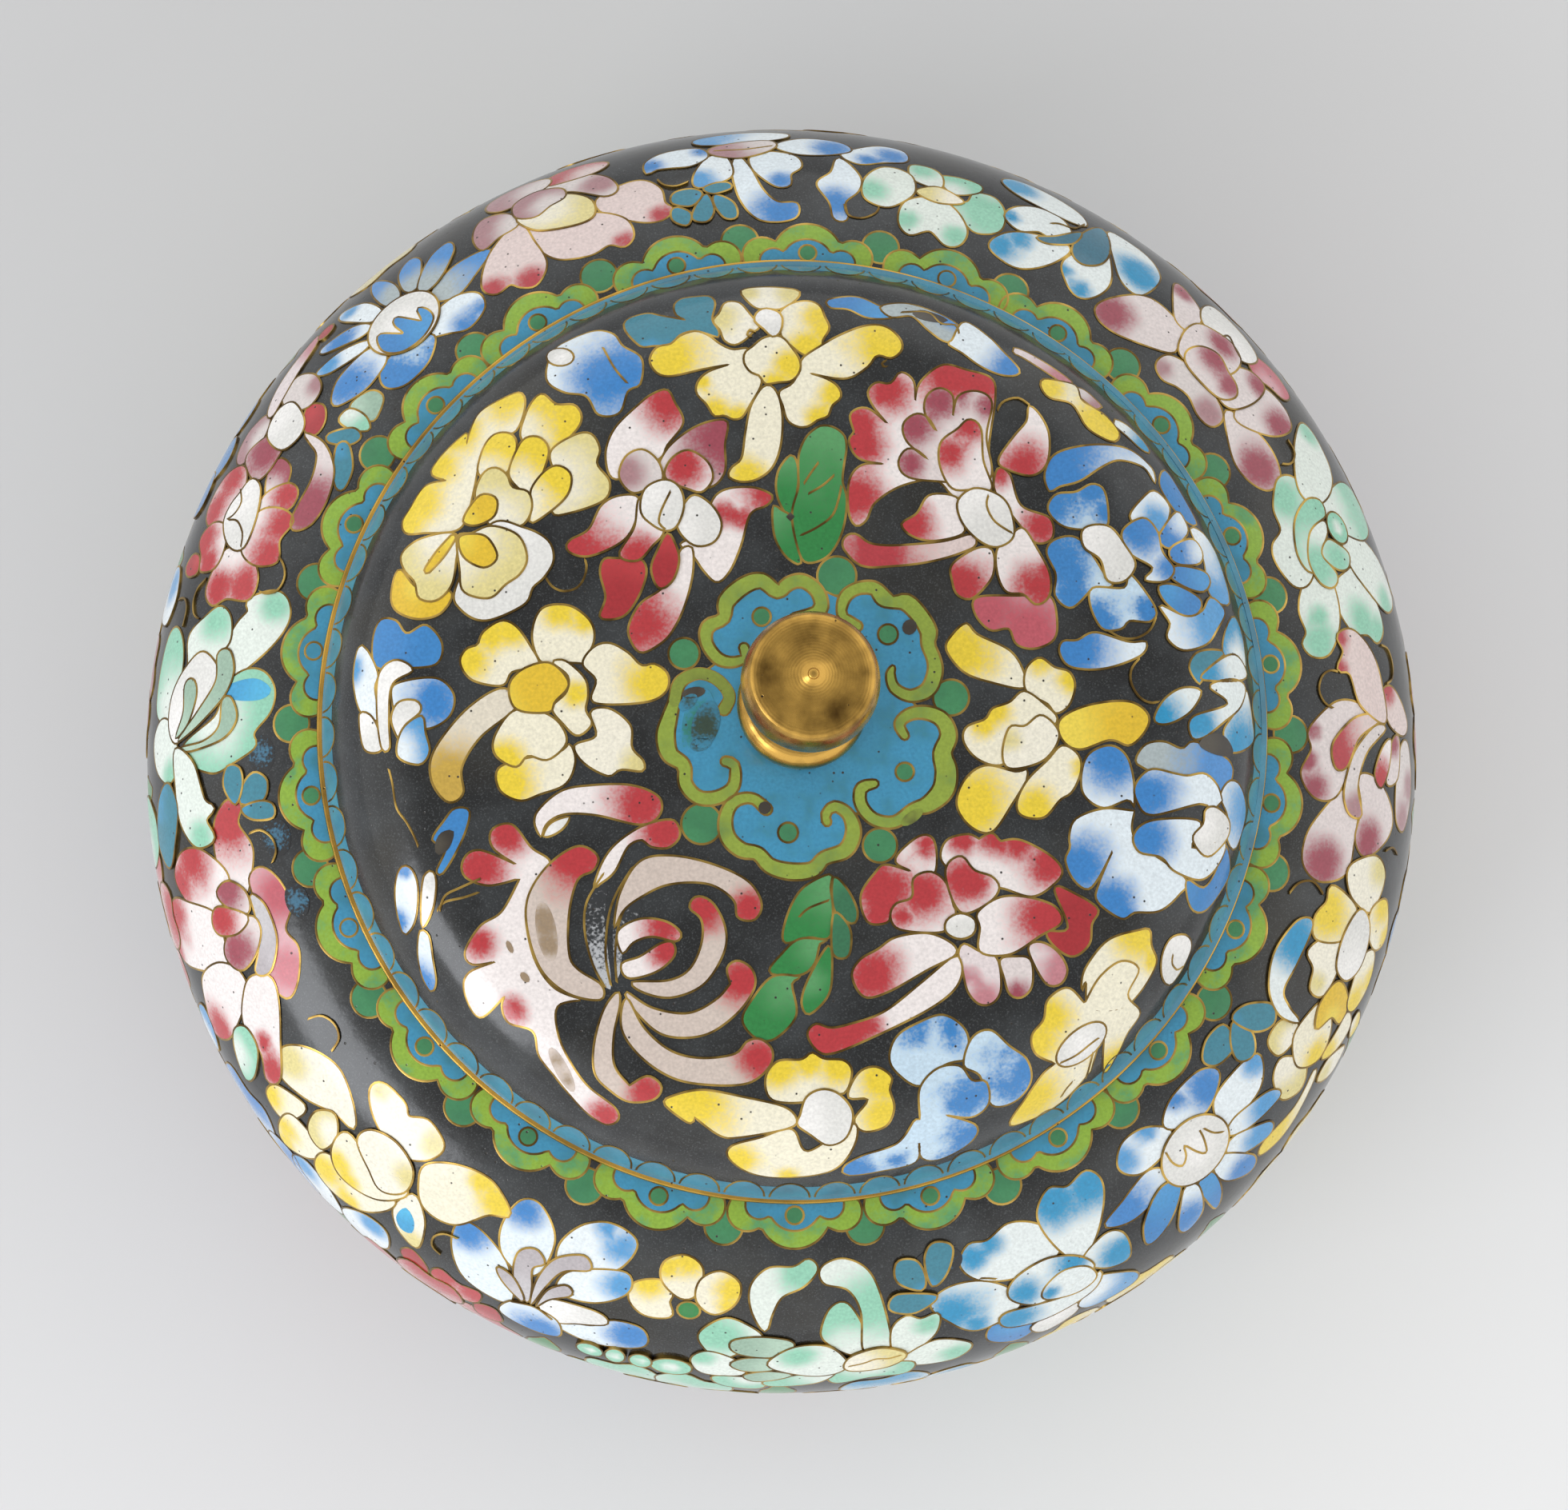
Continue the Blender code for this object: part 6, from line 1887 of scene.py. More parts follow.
            (237.9, 11.8), (235.6, 15.2), (232.6, 15.7)], [(238.3, 10, 1.8), (235.8, 9, 1.2)]),
        "right leaf": ("loop", "cream", [(230.4, 17), (231.2, 15.4), (233.3, 17.6), (234, 21.6),
            (231.8, 21), (230.4, 19)], [(233.6, 21, 1.2)]),
        "leaf patch": ("loop", "glaze", [(231.2, 17.6), (232.4, 18.4), (232.8, 20), (231.9, 20.5),
            (231, 19.4)]),
        "left leaf": ("loop", "yellow", [(217.6, 17.8), (218, 19.6), (217, 22.3), (214.6, 22),
            (214.6, 19.6)], [(215, 21.4, 1.4)]),
        "low left": ("loop", "yellow", [(220.5, 20), (217.5, 20.6), (217.4, 23.6), (218.7, 25.7),
            (221, 23.5), (222, 20.5)], [(217.9, 23, 1.3), (218.9, 25.2, 1.1)]),
        "low": ("loop", "yellow", [(226.5, 19), (222.4, 20), (222.4, 23.2), (224.6, 24.3), (227.6, 23),
            (229.7, 19.5), (229.6, 17.6)], [(223.2, 22.3, 1.8), (226.6, 23.2, 1.1)]),
        "small": ("loop", "cream", [(221.8, 17), (220.2, 15.2), (218.9, 17), (219.6, 19.6), (221.6, 20)]),
        "bowl": ("loop", "yellow", [(226, 16), (222.4, 15.6), (222.6, 18.8), (224.7, 20.6), (228.2, 19.3),
            (230.3, 16), (229, 15)], [(223.6, 19.4, 1.2), (225.4, 20.3, 1)]),
        "heart": ("loop", "cream", [(226.3, 16.6), (223.7, 15), (224, 13), (226.5, 12), (229.3, 13),
            (230, 15.6), (228.3, 17.6)], [(229.6, 14, 1.2)]),
    },
    "blue stamens": {
        "left": ("loop", "blue", [(243.6, 20), (243, 21.8), (239.4, 21.4), (237, 18.3), (236.2, 15),
            (238, 14.2), (241.6, 16)], [(237.3, 15.2, 1.9)]),
        "upper left": ("loop", "blue", [(245, 15), (243.5, 16.2), (241.2, 15), (240, 12), (240.4, 8.6),
            (242.3, 8), (244.9, 10.6)], [(241.2, 9.2, 1.6)]),
        "upper right": ("loop", "sky", [(247, 13.5), (246, 11), (247.3, 8), (250, 6.6), (253, 7.6),
            (252.2, 10.8), (250, 12.2)], [(252, 8.7, 1.6), (249.6, 7.1, 1)]),
        "right": ("loop", "sky", [(247.6, 16.5), (247.6, 14), (250.2, 12.2), (253.2, 11.5), (253.6, 13.6),
            (251, 16)], [(253, 13, 1.6)]),
        "right low": ("loop", "blue", [(248, 21), (251.6, 19.7), (253.3, 17.9), (256, 18), (256.4, 20.5),
            (252.5, 22.3), (249.5, 22)], [(255.4, 19.5, 2)]),
        "right middle": ("loop", "white", [(246.4, 19.6), (247.4, 17.9), (251.5, 17.4), (252.7, 18.5),
            (250, 20), (248.2, 21)]),
        "low": ("loop", "blue", [(246, 20.3), (248.3, 21), (248.8, 23.6), (246, 24.5), (243.4, 23.6),
            (244, 21)], [(247, 23.6, 2)]),
        "stamen 1": ("loop", "ash", [(245.2, 19.8), (243.2, 17.4), (242.5, 14), (243.9, 12.7),
            (245.2, 13.8), (244.3, 15), (245, 17.5)]),
        "stamen 2": ("loop", "ash", [(245.6, 19.9), (245.2, 16), (246, 12.7), (248.5, 11), (249.6, 12.3),
            (247.2, 13.7), (246.2, 16.5)]),
        "stamen 3": ("loop", "ash", [(246.1, 19.9), (246.5, 16.8), (248, 15.2), (248.8, 16.2), (247, 18)]),
        "stamen 4": ("loop", "ash", [(244.7, 20), (242.2, 18.4), (241.3, 17), (243, 17.2), (244.6, 19)]),
        "fold": ("wire", "", [(243.8, 20.9), (246, 20), (248, 20.9)]),
        "curl": ("wire", "", [(236.9, 16.5), (235.5, 17), (234.8, 18.3), (235.2, 19.7), (236.3, 20)]),
    },
    "small yellow": {
        "left": ("loop", "yellow", [(257.8, 13.5), (258.3, 15.2), (256, 15.8), (254.2, 14.4), (254.2, 12.3),
            (256.4, 11.2), (257.9, 12.4)], [(255.4, 11.8, 1.5)]),
        "upper": ("loop", "yellow", [(258.9, 12.6), (256.8, 11), (256.6, 8.9), (258.5, 7.7), (260.4, 8.8),
            (260.3, 11.8)], [(259, 7.9, 1.6), (257, 9.4, 1.1)]),
        "right": ("loop", "yellow", [(260.6, 12.6), (260.6, 10.2), (262.4, 8.9), (264.4, 10), (264.2, 12.3),
            (262.4, 13.9)], [(263.8, 10.6, 1.4), (263.6, 12.6, 1)]),
        "dot": ("oval", "leaf", (259.9, 14, 1.1, 1.05, 0)),
    },
    "mint claws": {
        "claw left": ("loop", "mint", [(267.4, 15.6), (266, 12.8), (265.8, 10), (267.4, 8), (270, 7.8),
            (271.5, 6.9), (272.4, 8), (271, 9.9), (268.8, 11.2), (267.9, 13.4)], [(270.8, 8.6, 2)]),
        "blade": ("loop", "mint", [(275.5, 19.4), (273.2, 17), (273, 15.2), (273.8, 12.9), (275.2, 12.4),
            (276.5, 15.2), (276.8, 19)]),
        "claw right": ("loop", "mint", [(278, 19.5), (276.8, 18.8), (276.8, 13.5), (275.6, 10.6),
            (273.2, 9.6), (273, 7.9), (275.2, 7.1), (277.6, 8.7), (278.7, 12.5), (279.2, 19)],
            [(278.2, 13, 3)]),
        "right high": ("loop", "mint", [(279.6, 20.2), (279.6, 16.6), (281, 15.2), (282.3, 16), (284, 15.8),
            (283.4, 18.4), (281.2, 20.4)], [(283, 16.8, 1.2)]),
        "right": ("loop", "mint", [(280.4, 21.6), (283.5, 19.7), (286.5, 22), (285, 24.1), (281.6, 23.4)],
            [(285.4, 23, 1.4)]),
        "low right": ("loop", "mint", [(277, 21.8), (273.8, 23), (274.3, 25.2), (277.3, 24.5),
            (280.4, 24.9), (281, 22.6)]),
        "high left": ("loop", "mint", [(266, 17.8), (263.6, 20), (261.5, 17.6), (262, 15.8), (264, 14.4),
            (267, 16.2)], [(263, 16.6, 2.2)]),
        "left": ("loop", "mint", [(265, 20.4), (262.4, 19.4), (261.1, 21), (262.4, 23.4), (265.8, 22.8)],
            [(262, 20.4, 1)]),
        "low left": ("loop", "mint", [(266.5, 23.6), (263.3, 24), (264.3, 26.2), (267.2, 26.5),
            (268, 24.6)]),
        "low": ("loop", "mint", [(274, 22.3), (271, 22.7), (267.9, 24.2), (268.6, 25.5), (272.5, 24.6)]),
        "finger 1": ("loop", "sage", [(270, 18), (268, 19.3), (265, 18.9), (264.5, 17.3), (267, 16.5),
            (269.8, 16.9)]),
        "finger 2": ("loop", "sage", [(268.6, 21.4), (266, 22), (264.6, 21), (265.8, 19.8), (268.3, 19.7)]),
        "finger 3": ("loop", "sage", [(270.2, 22.6), (267.2, 24.2), (265.9, 23), (268, 21.9)]),
        "middle": ("loop", "mint", [(272, 22.6), (268.4, 21), (268.6, 19.4), (270.6, 17.8), (273.4, 18),
            (275, 20.6), (274.3, 22.2)], [(270.6, 19, 1.4)]),
        "heart": ("loop", "cream", [(275, 21.4), (275.7, 19.7), (278.3, 19), (280.5, 20.6), (279, 22.2),
            (276, 22.3)]),
        "fold": ("wire", "", [(275.2, 21.3), (276.7, 21), (277.8, 20.5), (279, 20.8), (280.2, 20.5)]),
        "drop 1": ("loop", "turquoise", [(282.8, 12), (280.6, 10.4), (280.9, 8.2), (282.8, 8.5),
            (283.4, 10.6)]),
        "drop 2": ("loop", "turquoise", [(284, 11.8), (283.8, 8.6), (285, 7), (286.8, 8), (285.6, 10.8)]),
        "drop 3": ("loop", "turquoise", [(284.2, 13.2), (281.8, 14.6), (279.5, 13.6), (280.4, 12)]),
        "edge 1": ("oval", "mint", (259.4, 22.9, 1.8, 1.5, 20)),
        "edge 2": ("oval", "mint", (256.6, 23, 1, 1.3, 0)),
        "edge 3": ("oval", "mint", (254.3, 23.3, 0.9, 1.4, 0)),
        "edge 4": ("oval", "mint", (252, 23.6, 1.2, 1.2, 0)),
    },
    "turquoise cup": {
        "left": ("loop", "aqua", [(291, 15.5), (288.6, 13.4), (285.6, 13), (283.7, 14.4), (285, 17),
            (287.6, 19.8), (291.6, 18.4)], [(285.6, 16, 2.3), (287.5, 19.2, 1)]),
        "low left": ("loop", "azure", [(291, 21), (288.8, 20.2), (288.4, 22.6), (291, 25), (292.6, 23.4)]),
        "upper left": ("loop", "aqua", [(293, 14.4), (289, 13), (287.4, 10.6), (288.6, 8.7), (290.6, 9),
            (293.4, 8.1), (296.2, 9.9), (296.9, 13.6)], [(288.6, 10.1, 1.4), (290.8, 9.4, 1.2)]),
        "slit": ("wire", "", [(288.7, 12.8), (289.6, 13.2), (290.4, 13.7)]),
        "upper right": ("loop", "aqua", [(298.6, 15.8), (297, 12.5), (296.6, 8.6), (298.7, 6.5),
            (300.6, 7.4), (303.2, 7), (303.8, 9.4), (301, 14)], [(298.6, 8, 2.3), (302.6, 8.6, 2.4)]),
        "right": ("loop", "aqua", [(299, 16.3), (302, 14.9), (303.4, 16.4), (302.9, 19.8), (300.6, 19.1)],
            [(302.4, 18.6, 1.9)]),
        "low": ("loop", "white", [(294.6, 22.2), (292.4, 23.2), (293.6, 25.6), (296.6, 24.4),
            (296.8, 22.4)]),
        "low right": ("loop", "sky", [(298.4, 21.6), (299.8, 20.1), (302.8, 23.2), (302.4, 25.6),
            (298.6, 25.2), (297.2, 23.2)]),
        "ring": ("loop", "aqua", [(297, 20.4), (290.4, 18.8), (290.2, 21), (294, 22.4), (298.6, 21.6),
            (299.9, 19.2)], [(291, 20.4, 2)]),
        "inner": ("loop", "aqua", [(297, 18.6), (293.5, 19), (291.2, 16.6), (292.2, 14.6), (295.6, 14),
            (298.4, 15.6), (299.4, 18)], [(292.4, 16.8, 1.5), (297.8, 15.6, 1.5)]),
        "inner small": ("loop", "aqua", [(297.3, 20.3), (294.4, 19), (294.5, 17.5), (296.6, 16.4),
            (298.8, 17.4), (299.3, 19.6)], [(294.8, 18.4, 0.8)]),
    },
    "blue daisy right": {
        "petal 1": ("loop", "blue", [(310, 12.6), (308.4, 11.5), (305, 12.6), (302.3, 13.9), (305, 15.3),
            (309, 14.4)], [(304.5, 14, 2.7)]),
        "petal 2": ("loop", "sky", [(311.5, 10.8), (308, 10.9), (306.5, 8.9), (308.2, 6.9), (311, 7.2),
            (313, 9.4)], [(307.4, 8.6, 1.4), (311, 7.5, 1)]),
        "petal 3": ("loop", "blue", [(314.6, 10.2), (313, 8.5), (315.4, 6.9), (319.4, 7.1), (320.9, 9),
            (317.6, 10.8)], [(319, 9, 2.1), (315.6, 7.4, 1)]),
        "petal 4": ("loop", "sky", [(317.6, 12.8), (319, 10.8), (323, 10.8), (325, 12), (322.6, 14.5),
            (318, 14.3)], [(324.2, 12, 1.2)]),
        "petal 5": ("loop", "sky", [(317.3, 15.3), (319, 14.5), (323, 16), (323.6, 17.9), (319.4, 17)],
            [(322, 17, 1.8)]),
        "petal 6": ("loop", "sky", [(316.2, 16.9), (317.8, 16.3), (321.1, 19.2), (320.4, 20.7),
            (317.2, 19)], [(319.8, 19.6, 1.9)]),
        "petal 7": ("loop", "blue", [(314.2, 17.5), (315.8, 17), (317.9, 21), (317, 22.9), (314.6, 20.4)],
            [(316.8, 21.6, 1.9)]),
        "petal 8": ("loop", "azure", [(312, 17.4), (313.8, 17.5), (313.6, 21), (312.4, 23.3), (311.9, 20)]),
        "petal 9": ("loop", "blue", [(310.6, 16.6), (311.9, 17.4), (311, 21.4), (309, 22.6), (308.5, 20.6)],
            [(309.5, 20.8, 2)]),
        "petal 10": ("loop", "azure", [(309.4, 14.2), (310.5, 15.6), (307.6, 19), (305.2, 19.8),
            (305.6, 17), (307.6, 14.8)]),
        "disc": ("oval", "white", (313.8, 13.5, 3.8, 3.5, 0)),
        "fold": ("wire", "", [(311.3, 10.8), (311.2, 12.5), (311.8, 13.7), (312.7, 13.1), (313.2, 11.9),
            (313.8, 13.6), (314.5, 14.7), (315.2, 13), (315.4, 11.8)]),
        "fold right": ("wire", "", [(315.8, 12), (316.3, 13.5), (317.2, 14.5)]),
        "drop 1": ("loop", "turquoise", [(324.2, 8.4), (321.6, 8.2), (320.8, 6.6), (322.8, 5.4),
            (325.2, 6)]),
        "drop 2": ("loop", "turquoise", [(326.2, 6.8), (326.4, 9.4), (324.8, 11.1), (323.3, 10),
            (324.2, 8)]),
        "drop 3": ("loop", "turquoise", [(326.4, 6.5), (328.4, 7), (330, 9.7), (328.6, 11.1),
            (326.8, 9.6)]),
        "bow": ("loop", "aqua", [(330.2, 14), (329.7, 11.2), (331.4, 8.5), (335, 7.2), (339, 8.3),
            (339.6, 10.2), (335.4, 10.2), (332, 10.1), (330.8, 11.8)], [(337.6, 9.2, 2.7)]),
    },
    "yellow pair": {
        "streak": ("loop", "yellow", [(327.6, 20.9), (324, 21.8), (319.6, 21), (318.6, 22.4), (322, 23.8),
            (327, 22)], [(320, 22, 3)]),
        "left ball": ("loop", "cream", [(328.6, 15), (326.4, 14.2), (326.8, 12), (329.2, 12), (330, 14.2)]),
        "left low": ("loop", "cream", [(326.4, 15), (327.5, 18.4), (325.6, 20.4), (323.6, 18.6),
            (324.4, 15.6)]),
        "heart left": ("loop", "yellow", [(331, 15), (333.2, 16.4), (331.6, 19.4), (328.8, 20.2),
            (327, 17.6), (328.6, 15)], [(328.6, 19.6, 1.6)]),
        "low ball": ("loop", "yellow", [(332, 21), (329, 20.8), (330.4, 22.8), (333, 23.6), (334, 21.4)],
            [(329.8, 21.4, 1.2)]),
        "low drop": ("loop", "cream", [(329.4, 22.4), (327.2, 22.9), (329, 25.6), (331.4, 25)],
            [(328, 23.4, 1)]),
        "low drop right": ("loop", "yellow", [(333.4, 23.6), (332.4, 25.4), (334, 26.4), (334.8, 24.2)]),
        "top left": ("loop", "cream", [(337, 16), (333.9, 15.6), (333.6, 13.6), (335.6, 12.8),
            (336.8, 11.2), (338.8, 12.8), (339.2, 15.4)], [(334.4, 14, 1)]),
        "top right": ("loop", "yellow", [(341.4, 16.2), (339.3, 14.6), (338.5, 11.4), (340.4, 10.5),
            (342.2, 11.4), (343.9, 11.4), (343, 15.2)], [(341.3, 11.6, 2.5)]),
        "right": ("loop", "cream", [(343.2, 17.6), (344, 14.4), (346.4, 13.3), (348.2, 16.8), (347, 19.2),
            (344.2, 18.8)], [(347.4, 18.4, 1.4)]),
        "gold": ("loop", "gold", [(332.6, 18.4), (330.8, 17), (333, 15.8), (335.7, 17), (334.6, 20.2),
            (332.6, 20.4)]),
        "low left": ("loop", "yellow", [(338.6, 19.4), (334.6, 20.2), (334.6, 22.2), (337.6, 23.1),
            (340, 21.4)], [(335, 21.5, 1.6), (337.8, 23, 1.1)]),
        "low right": ("loop", "yellow", [(341.2, 19.2), (340.4, 21.6), (342, 23.3), (344.8, 20.8),
            (343.4, 18.4)], [(342, 23, 1.1), (344.3, 20.6, 1.6)]),
        "heart": ("loop", "white", [(336.4, 18), (337, 15.8), (340, 15.2), (342.8, 16.4), (341.6, 18.8),
            (338.4, 19.5)]),
        "curl": ("wire", "", [(341.5, 6.2), (343, 7), (343.7, 8.7), (342.8, 10.5)]),
    },
    "dusty swirl": {
        "left end": ("loop", "rose", [(352.4, 12.8), (349, 13), (345.8, 12.8), (344.2, 9.6), (345.4, 7.2),
            (348.6, 7), (352, 9), (354, 11.2)], [(345.9, 9.4, 2.1)]),
        "upper": ("loop", "rose", [(361, 14.6), (357, 11.6), (353.2, 9.6), (352.8, 7), (355, 5.2),
            (357.8, 6.4), (360, 6.1), (362.9, 9.6), (362.8, 13)], [(353.6, 6.8, 1.5), (356.4, 5.8, 1.1),
            (359.8, 6.6, 0.8)]),
        "left": ("loop", "rose", [(355.4, 16), (352.8, 18.9), (350.6, 18.6), (348.2, 15.4), (349.4, 13.5),
            (352.6, 13.8), (355.6, 13)], [(349.6, 15.4, 1.8)]),
        "low": ("loop", "mauve", [(359.4, 20.6), (356, 19.6), (352.6, 20.2), (352, 22.4), (355.6, 23.6),
            (359.6, 22.4)], [(352.8, 21.6, 1.4), (356, 23, 1.2)]),
        "low right": ("loop", "blush", [(360.6, 21), (361.4, 18), (364.2, 17), (364.8, 19.2), (362, 22.2)],
            [(364.6, 18, 1.1)]),
        "inner low": ("loop", "rose", [(359.4, 18.2), (355.6, 17.4), (356.4, 19.6), (360.2, 19.8)],
            [(359.6, 18.6, 1)]),
        "inner red": ("loop", "red", [(359.8, 18), (357, 17.6), (355, 16.4), (356.2, 15.2), (358.8, 16.4)],
            [(356, 16.2, 1.5)]),
        "swirl 1": ("loop", "mauve", [(360.8, 17), (358.2, 13.8), (354.6, 12.6), (351.8, 13.6),
            (351.7, 11.8), (354, 10.8), (358, 12), (360.8, 15)], [(352.4, 12.6, 1.2)]),
        "swirl 2": ("loop", "blush", [(361.6, 16), (359.6, 12.6), (356.4, 10.8), (356.2, 9.4), (358.6, 9),
            (361.2, 11.6), (362, 14.4)]),
        "right petal": ("loop", "blush", [(361.5, 16.8), (363, 13.2), (366.2, 12), (366.6, 10.4),
            (368.4, 11.6), (370, 11.1), (370.4, 13.3), (368, 15.8), (364.4, 16.8)], [(366.8, 10.7, 0.8),
            (369.9, 11.4, 0.9)]),
        "curl": ("wire", "", [(349.2, 18.5), (349.8, 20), (349.3, 21.5)]),
    },
    "loose cells at the belly": {
        "red left": ("loop", "scarlet", [(234.6, 26.6), (233, 24.6), (233.8, 22.7), (235.8, 24.2),
            (235.8, 26.6)]),
        "red middle": ("loop", "red", [(238.6, 26.2), (236.4, 24.6), (236.9, 22.6), (239, 23.2),
            (241, 22.6), (240.9, 25.2)], [(237.2, 23.6, 1.8), (240.6, 23.6, 1.8)]),
        "red right": ("loop", "scarlet", [(242, 28.4), (241, 25.6), (242.8, 24.2), (243.8, 26.6)]),
        "blue 1": ("loop", "sky", [(223, 30.5), (220.3, 27), (221.4, 24.5), (224.6, 25.1), (226.6, 28.2)],
            [(221.2, 26, 1.6)]),
        "blue 2": ("loop", "sky", [(229, 29.6), (226.7, 26.6), (228.2, 23.6), (230.8, 23.1), (231.6, 26.6)],
            [(229.6, 23.8, 1.4)]),
        "blue 3": ("loop", "sky", [(206.8, 29.4), (204.4, 27.6), (204.8, 25.6), (207.2, 26.2),
            (208.4, 28.4)]),
        "mint": ("loop", "mint", [(190, 31), (186, 31), (185, 28), (187, 25.2), (189.8, 25.2), (191, 28)]),
        "blue 4": ("loop", "sky", [(168, 28), (164.6, 27.4), (164.4, 25), (167, 23.4), (169.4, 24.8)],
            [(165.6, 25.6, 1.4)]),
    },
}

chartDegree = math.radians(1) * chartScale


def fromDegrees(points):
    return [Vector((x * chartDegree, -y * chartDegree)) for x, y in points]


for petals in shoulderFlowers.values():
    drawFlower("shoulder", "jar", petals, fromDegrees, degreeStep)
print("flowers laid on the shoulder")

# The lower half does not show in the picture: the same kinds of flower, plainer, in staggered rows
below = {
    "seed": 11,
    "rows": [("belly", 34.5, 17, 9.2, 0.2),    # degrees down, count, radius and stagger
             ("under", 52.5, 17, 8.4, 0.7)],
    "kinds": [("red", 7, "white"), ("daisy", 11, "white"), ("yellow", 6, "cream"), ("mint", 7, "sage"),
              ("blue", 6, "sky"), ("rose", 7, "blush"), ("cream", 6, "gold"), ("aqua", 6, "white"),
              ("blush", 7, "cream")],
    "stride": 4,               # from one kind to the next, so that neighbours differ
    "wander": 1.2,
    "sizes": (0.92, 1.05),
    "jitter": 0.1,
    "turnJitter": 0.12,
    "step": 0.55,
    "leaves": {                # round the point between two flowers, in degrees
        "up": ("spine", "leaf", [(-1, -3.5, 0.4), (0.3, -6, 1.5), (0.2, -8.5, 0.3)]),
        "low": ("spine", "turquoise", [(1, 3.5, 0.4), (0, 6, 1.3), (-0.6, 8, 0.3)]),
        "curl": ("wire", "", [(-1.2, -1), (0, -2.4), (1.4, -1.4), (0.8, 0.2)]),
    },
}
petal = {
    "sides": ((0.75, 0.35), (0.95, 0.75), (0.5, 1.0)),    # shares of its half angle and of its length
    "notch": 0.93, "point": 1.06, "spot": 0.42,
    "start": 0.16, "daisyStart": 0.4, "disc": (0.42, 0.4), "heart": (0.2, 0.16),
    "innerCount": 3, "innerHalf": 0.85, "innerStart": 0.08, "innerEnd": 0.5,
}


def around(middle, angle, radius):
    return (middle[0] + radius * math.cos(angle), middle[1] + radius * math.sin(angle))


def plainPetal(middle, tint, turnBy, half, near, away, lobed):
    # From the heart outwards: two shoulders, then a tip with or without a notch
    sides = [(half * side, near + (away - near) * share) for side, share in petal["sides"]]
    outline = [around(middle, turnBy, near)]
    outline += [around(middle, turnBy + angle, reach) for angle, reach in sides]
    outline.append(around(middle, turnBy, away * petal["notch" if lobed else "point"]))
    outline += [around(middle, turnBy - angle, reach) for angle, reach in sides[::-1]]
    return "loop", tint, outline, [(*around(middle, turnBy, away), (away - near) * petal["spot"])]


def plainFlower(middle, kind, radius, draw):
    tint, count, heart = kind
    daisy = tint == "daisy"
    petals = {}
    start = draw.uniform(0, full)
    near = radius * petal["daisyStart" if daisy else "start"]
    for i in range(count):
        away = radius * (1 + draw.uniform(-below["jitter"], below["jitter"]))
        turnBy = start + full * (i + draw.uniform(-below["turnJitter"], below["turnJitter"])) / count
        petals["petal", i] = plainPetal(middle, "azure" if daisy else tint, turnBy, math.pi / count,
                                        near, away, not daisy)
    if not daisy:
        for i in range(petal["innerCount"]):
            turnBy = start + full * (i + 0.5) / petal["innerCount"]
            petals["inner", i] = plainPetal(middle, tint, turnBy, petal["innerHalf"],
                                            radius * petal["innerStart"], radius * petal["innerEnd"], True)
    half, cross = petal["disc" if daisy else "heart"]
    tilt = 0 if daisy else math.degrees(start)
    petals["heart"] = ("oval", heart, (*middle, radius * half, radius * cross, tilt))
    return petals


def lowerHalf():
    draw = random.Random(below["seed"])
    number = 0
    for zone, down, count, radius, stagger in below["rows"]:
        for i in range(count):
            middle = (360 * (i + stagger) / count, down + draw.uniform(-below["wander"], below["wander"]))
            kind = below["kinds"][number % len(below["kinds"])]
            number += below["stride"]
            flower = plainFlower(middle, kind, radius * draw.uniform(*below["sizes"]), draw)
            drawFlower(zone, "jar", flower, fromDegrees, below["step"])
            between = 360 * (i + stagger + 0.5) / count
            leaves = {}
            for name, (shape, tint, points) in below["leaves"].items():
                leaves[name] = (shape, tint, [(between + x, down + y, *half) for x, y, *half in points])
            drawFlower(zone, "jar", leaves, fromDegrees, below["step"])


lowerHalf()
print("plainer flowers laid on the lower half")

for name, bm in groups.items():
    tintName = name.split("_")[-1]
    if tintName == "wires":
        finishPiece(name, bm, finishes["wire"])
    else:
        finishPiece(name, bm, finishes[tintName + " enamel"])
print("cells gathered into pieces:", len(groups))

# Floor: a pale board with painted shade, darker towards its far left
board = {
    "size": 3.0, "roughness": 0.6, "slant": (-0.7, 1.0, 0.0), "reach": 0.16,
    "light": "EEEEEF", "dark": "CACACB",
}
bm = bmesh.new()
bmesh.ops.create_grid(bm, x_segments=1, y_segments=1, size=board["size"])
floorMesh = bpy.data.meshes.new("floor")
bm.to_mesh(floorMesh)
bm.free()
floorFinish, tree, shader, place = newFinish("pale studio board", {"Roughness": board["roughness"]})
settings = {"operation": "DOT_PRODUCT", 1: board["slant"]}
slant = addNode(tree, "VectorMath", settings, {0: place}).outputs["Value"]
# painted shade: the board's colour runs from light to dark towards its far left
paintedShade = span(tree, slant, -board["reach"], board["reach"])
tree.links.new(blend(tree, paintedShade, board["light"], board["dark"]), shader.inputs["Base Color"])
floorMesh.materials.append(floorFinish)
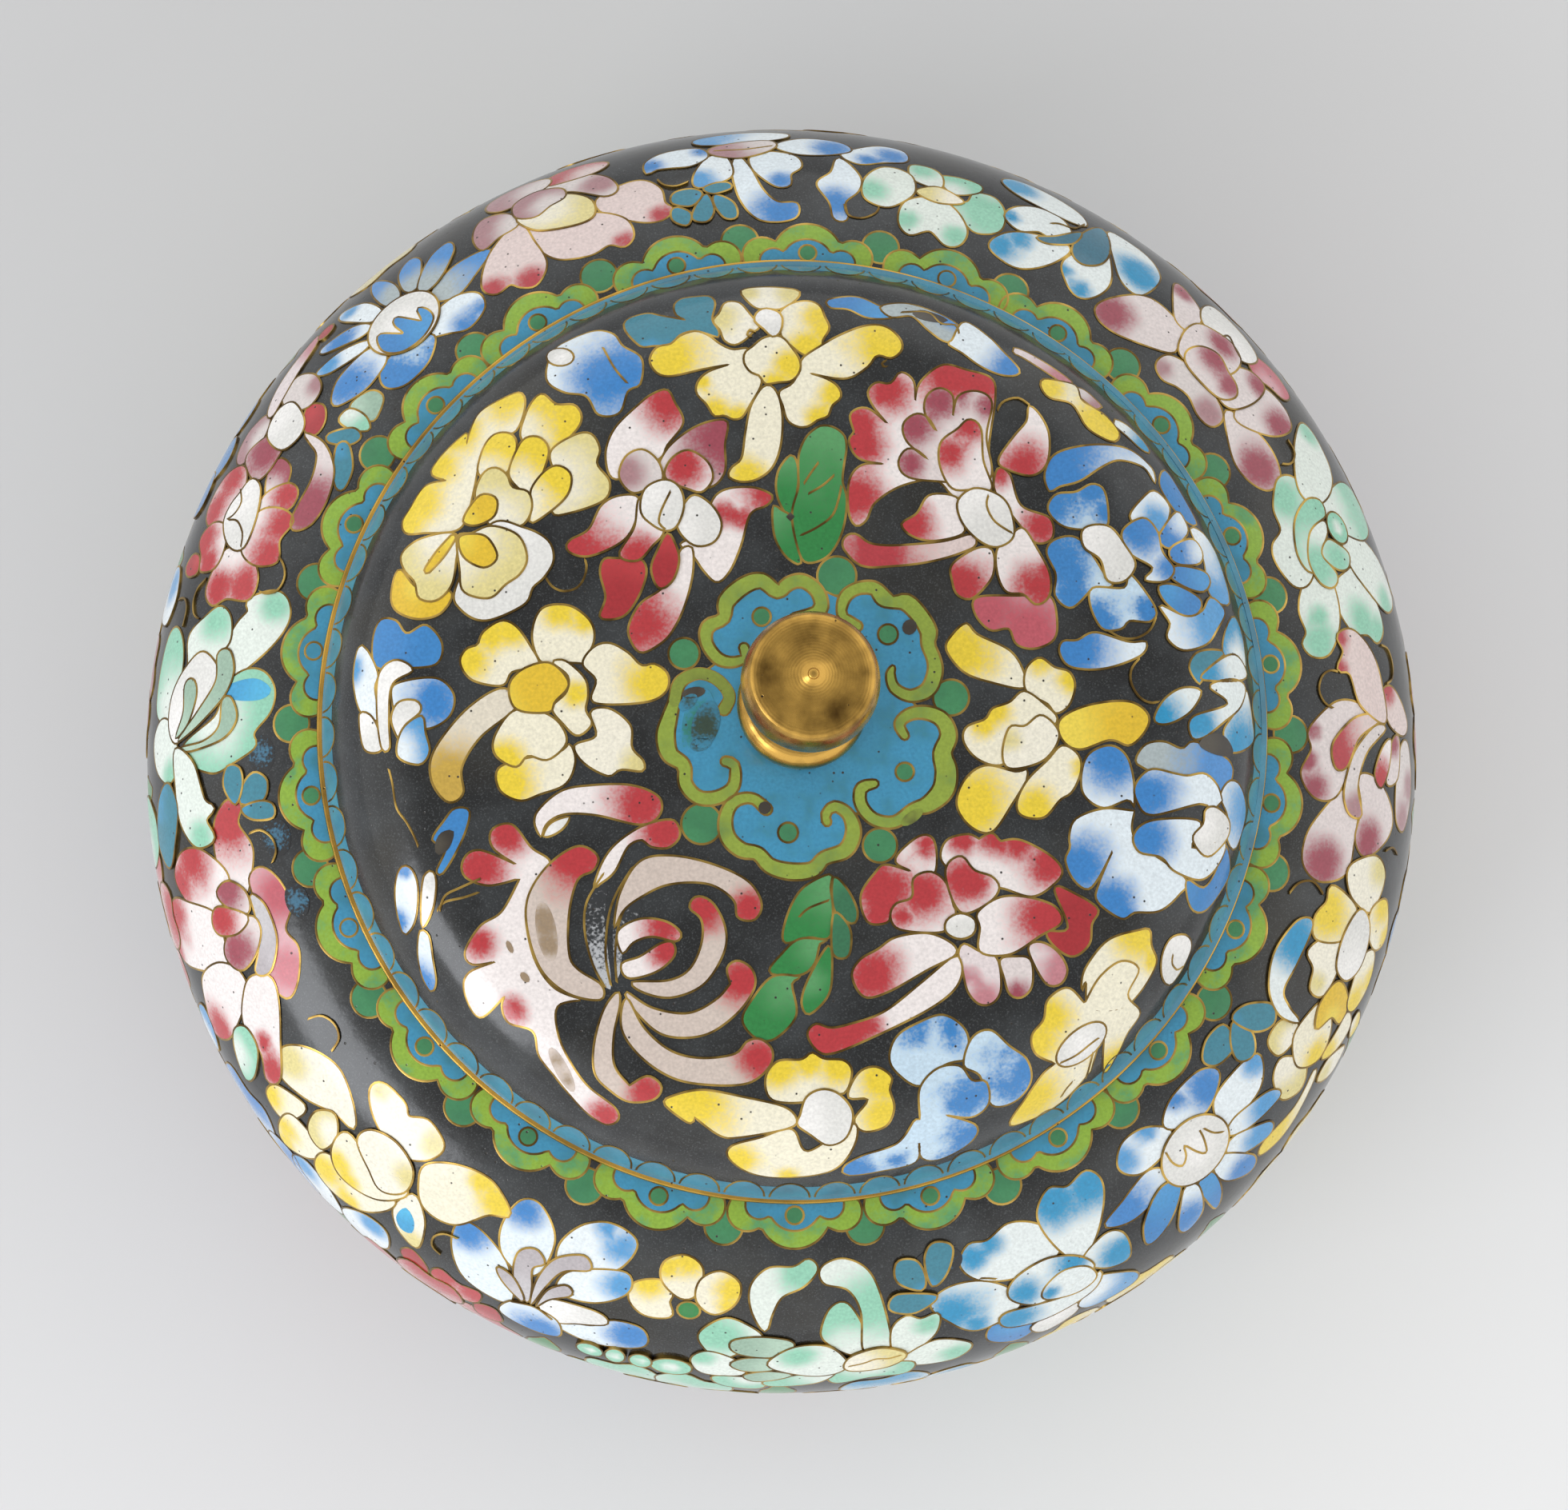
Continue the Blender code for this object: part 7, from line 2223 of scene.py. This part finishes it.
floor = bpy.data.objects.new("floor", floorMesh)
bpy.context.scene.collection.objects.link(floor)

# Light: an even sky, brighter low down, and one box that draws the highlights
studio = {
    "zenith": 0.6,
    "horizon": 1.36,
    "fade": (0.55, 0.92),
    "sky": "F6F6F5",
    "boxPower": 3.0,
    "boxColour": "F6F9FF",
    "boxAzimuth": math.radians(213),
    "boxHeight": math.radians(30),
    "boxDistance": 1.0,
    "boxSize": (0.5, 0.42),
}
world = bpy.data.worlds.new("studio")
bpy.context.scene.world = world
world.use_nodes = True
sky = world.node_tree
direction = addNode(sky, "TexCoord").outputs["Generated"]
height = addNode(sky, "SeparateXYZ", {}, {"Vector": direction}).outputs["Z"]
level = span(sky, height, *studio["fade"], studio["horizon"], studio["zenith"], "SMOOTHSTEP")
sky.links.new(level, sky.nodes["Background"].inputs["Strength"])
sky.nodes["Background"].inputs["Color"].default_value = linear(studio["sky"])

boxLight = bpy.data.lights.new("softbox", "AREA")
boxLight.shape = "RECTANGLE"
boxLight.size, boxLight.size_y = studio["boxSize"]
boxLight.energy = studio["boxPower"]
boxLight.color = linear(studio["boxColour"])[:3]
softbox = bpy.data.objects.new("softbox", boxLight)
toBox = Vector((
    math.cos(studio["boxHeight"]) * math.cos(studio["boxAzimuth"]),
    math.cos(studio["boxHeight"]) * math.sin(studio["boxAzimuth"]),
    math.sin(studio["boxHeight"]),
))
softbox.location = toBox * studio["boxDistance"]
softbox.rotation_euler = toBox.to_track_quat("Z", "Y").to_euler()
bpy.context.scene.collection.objects.link(softbox)

cameraData = bpy.data.cameras.new("camera")
cameraData.sensor_width = camera["sensor"]
cameraData.lens = camera["focalPixels"] * camera["sensor"] / camera["width"]
cameraData.clip_start = camera["nearest"]
cameraPiece = bpy.data.objects.new("camera", cameraData)
cameraPiece.matrix_world = Matrix.Translation(eye) @ turn.to_4x4()
bpy.context.scene.collection.objects.link(cameraPiece)
bpy.context.scene.camera = cameraPiece
bpy.context.scene.view_settings.view_transform = "Standard"
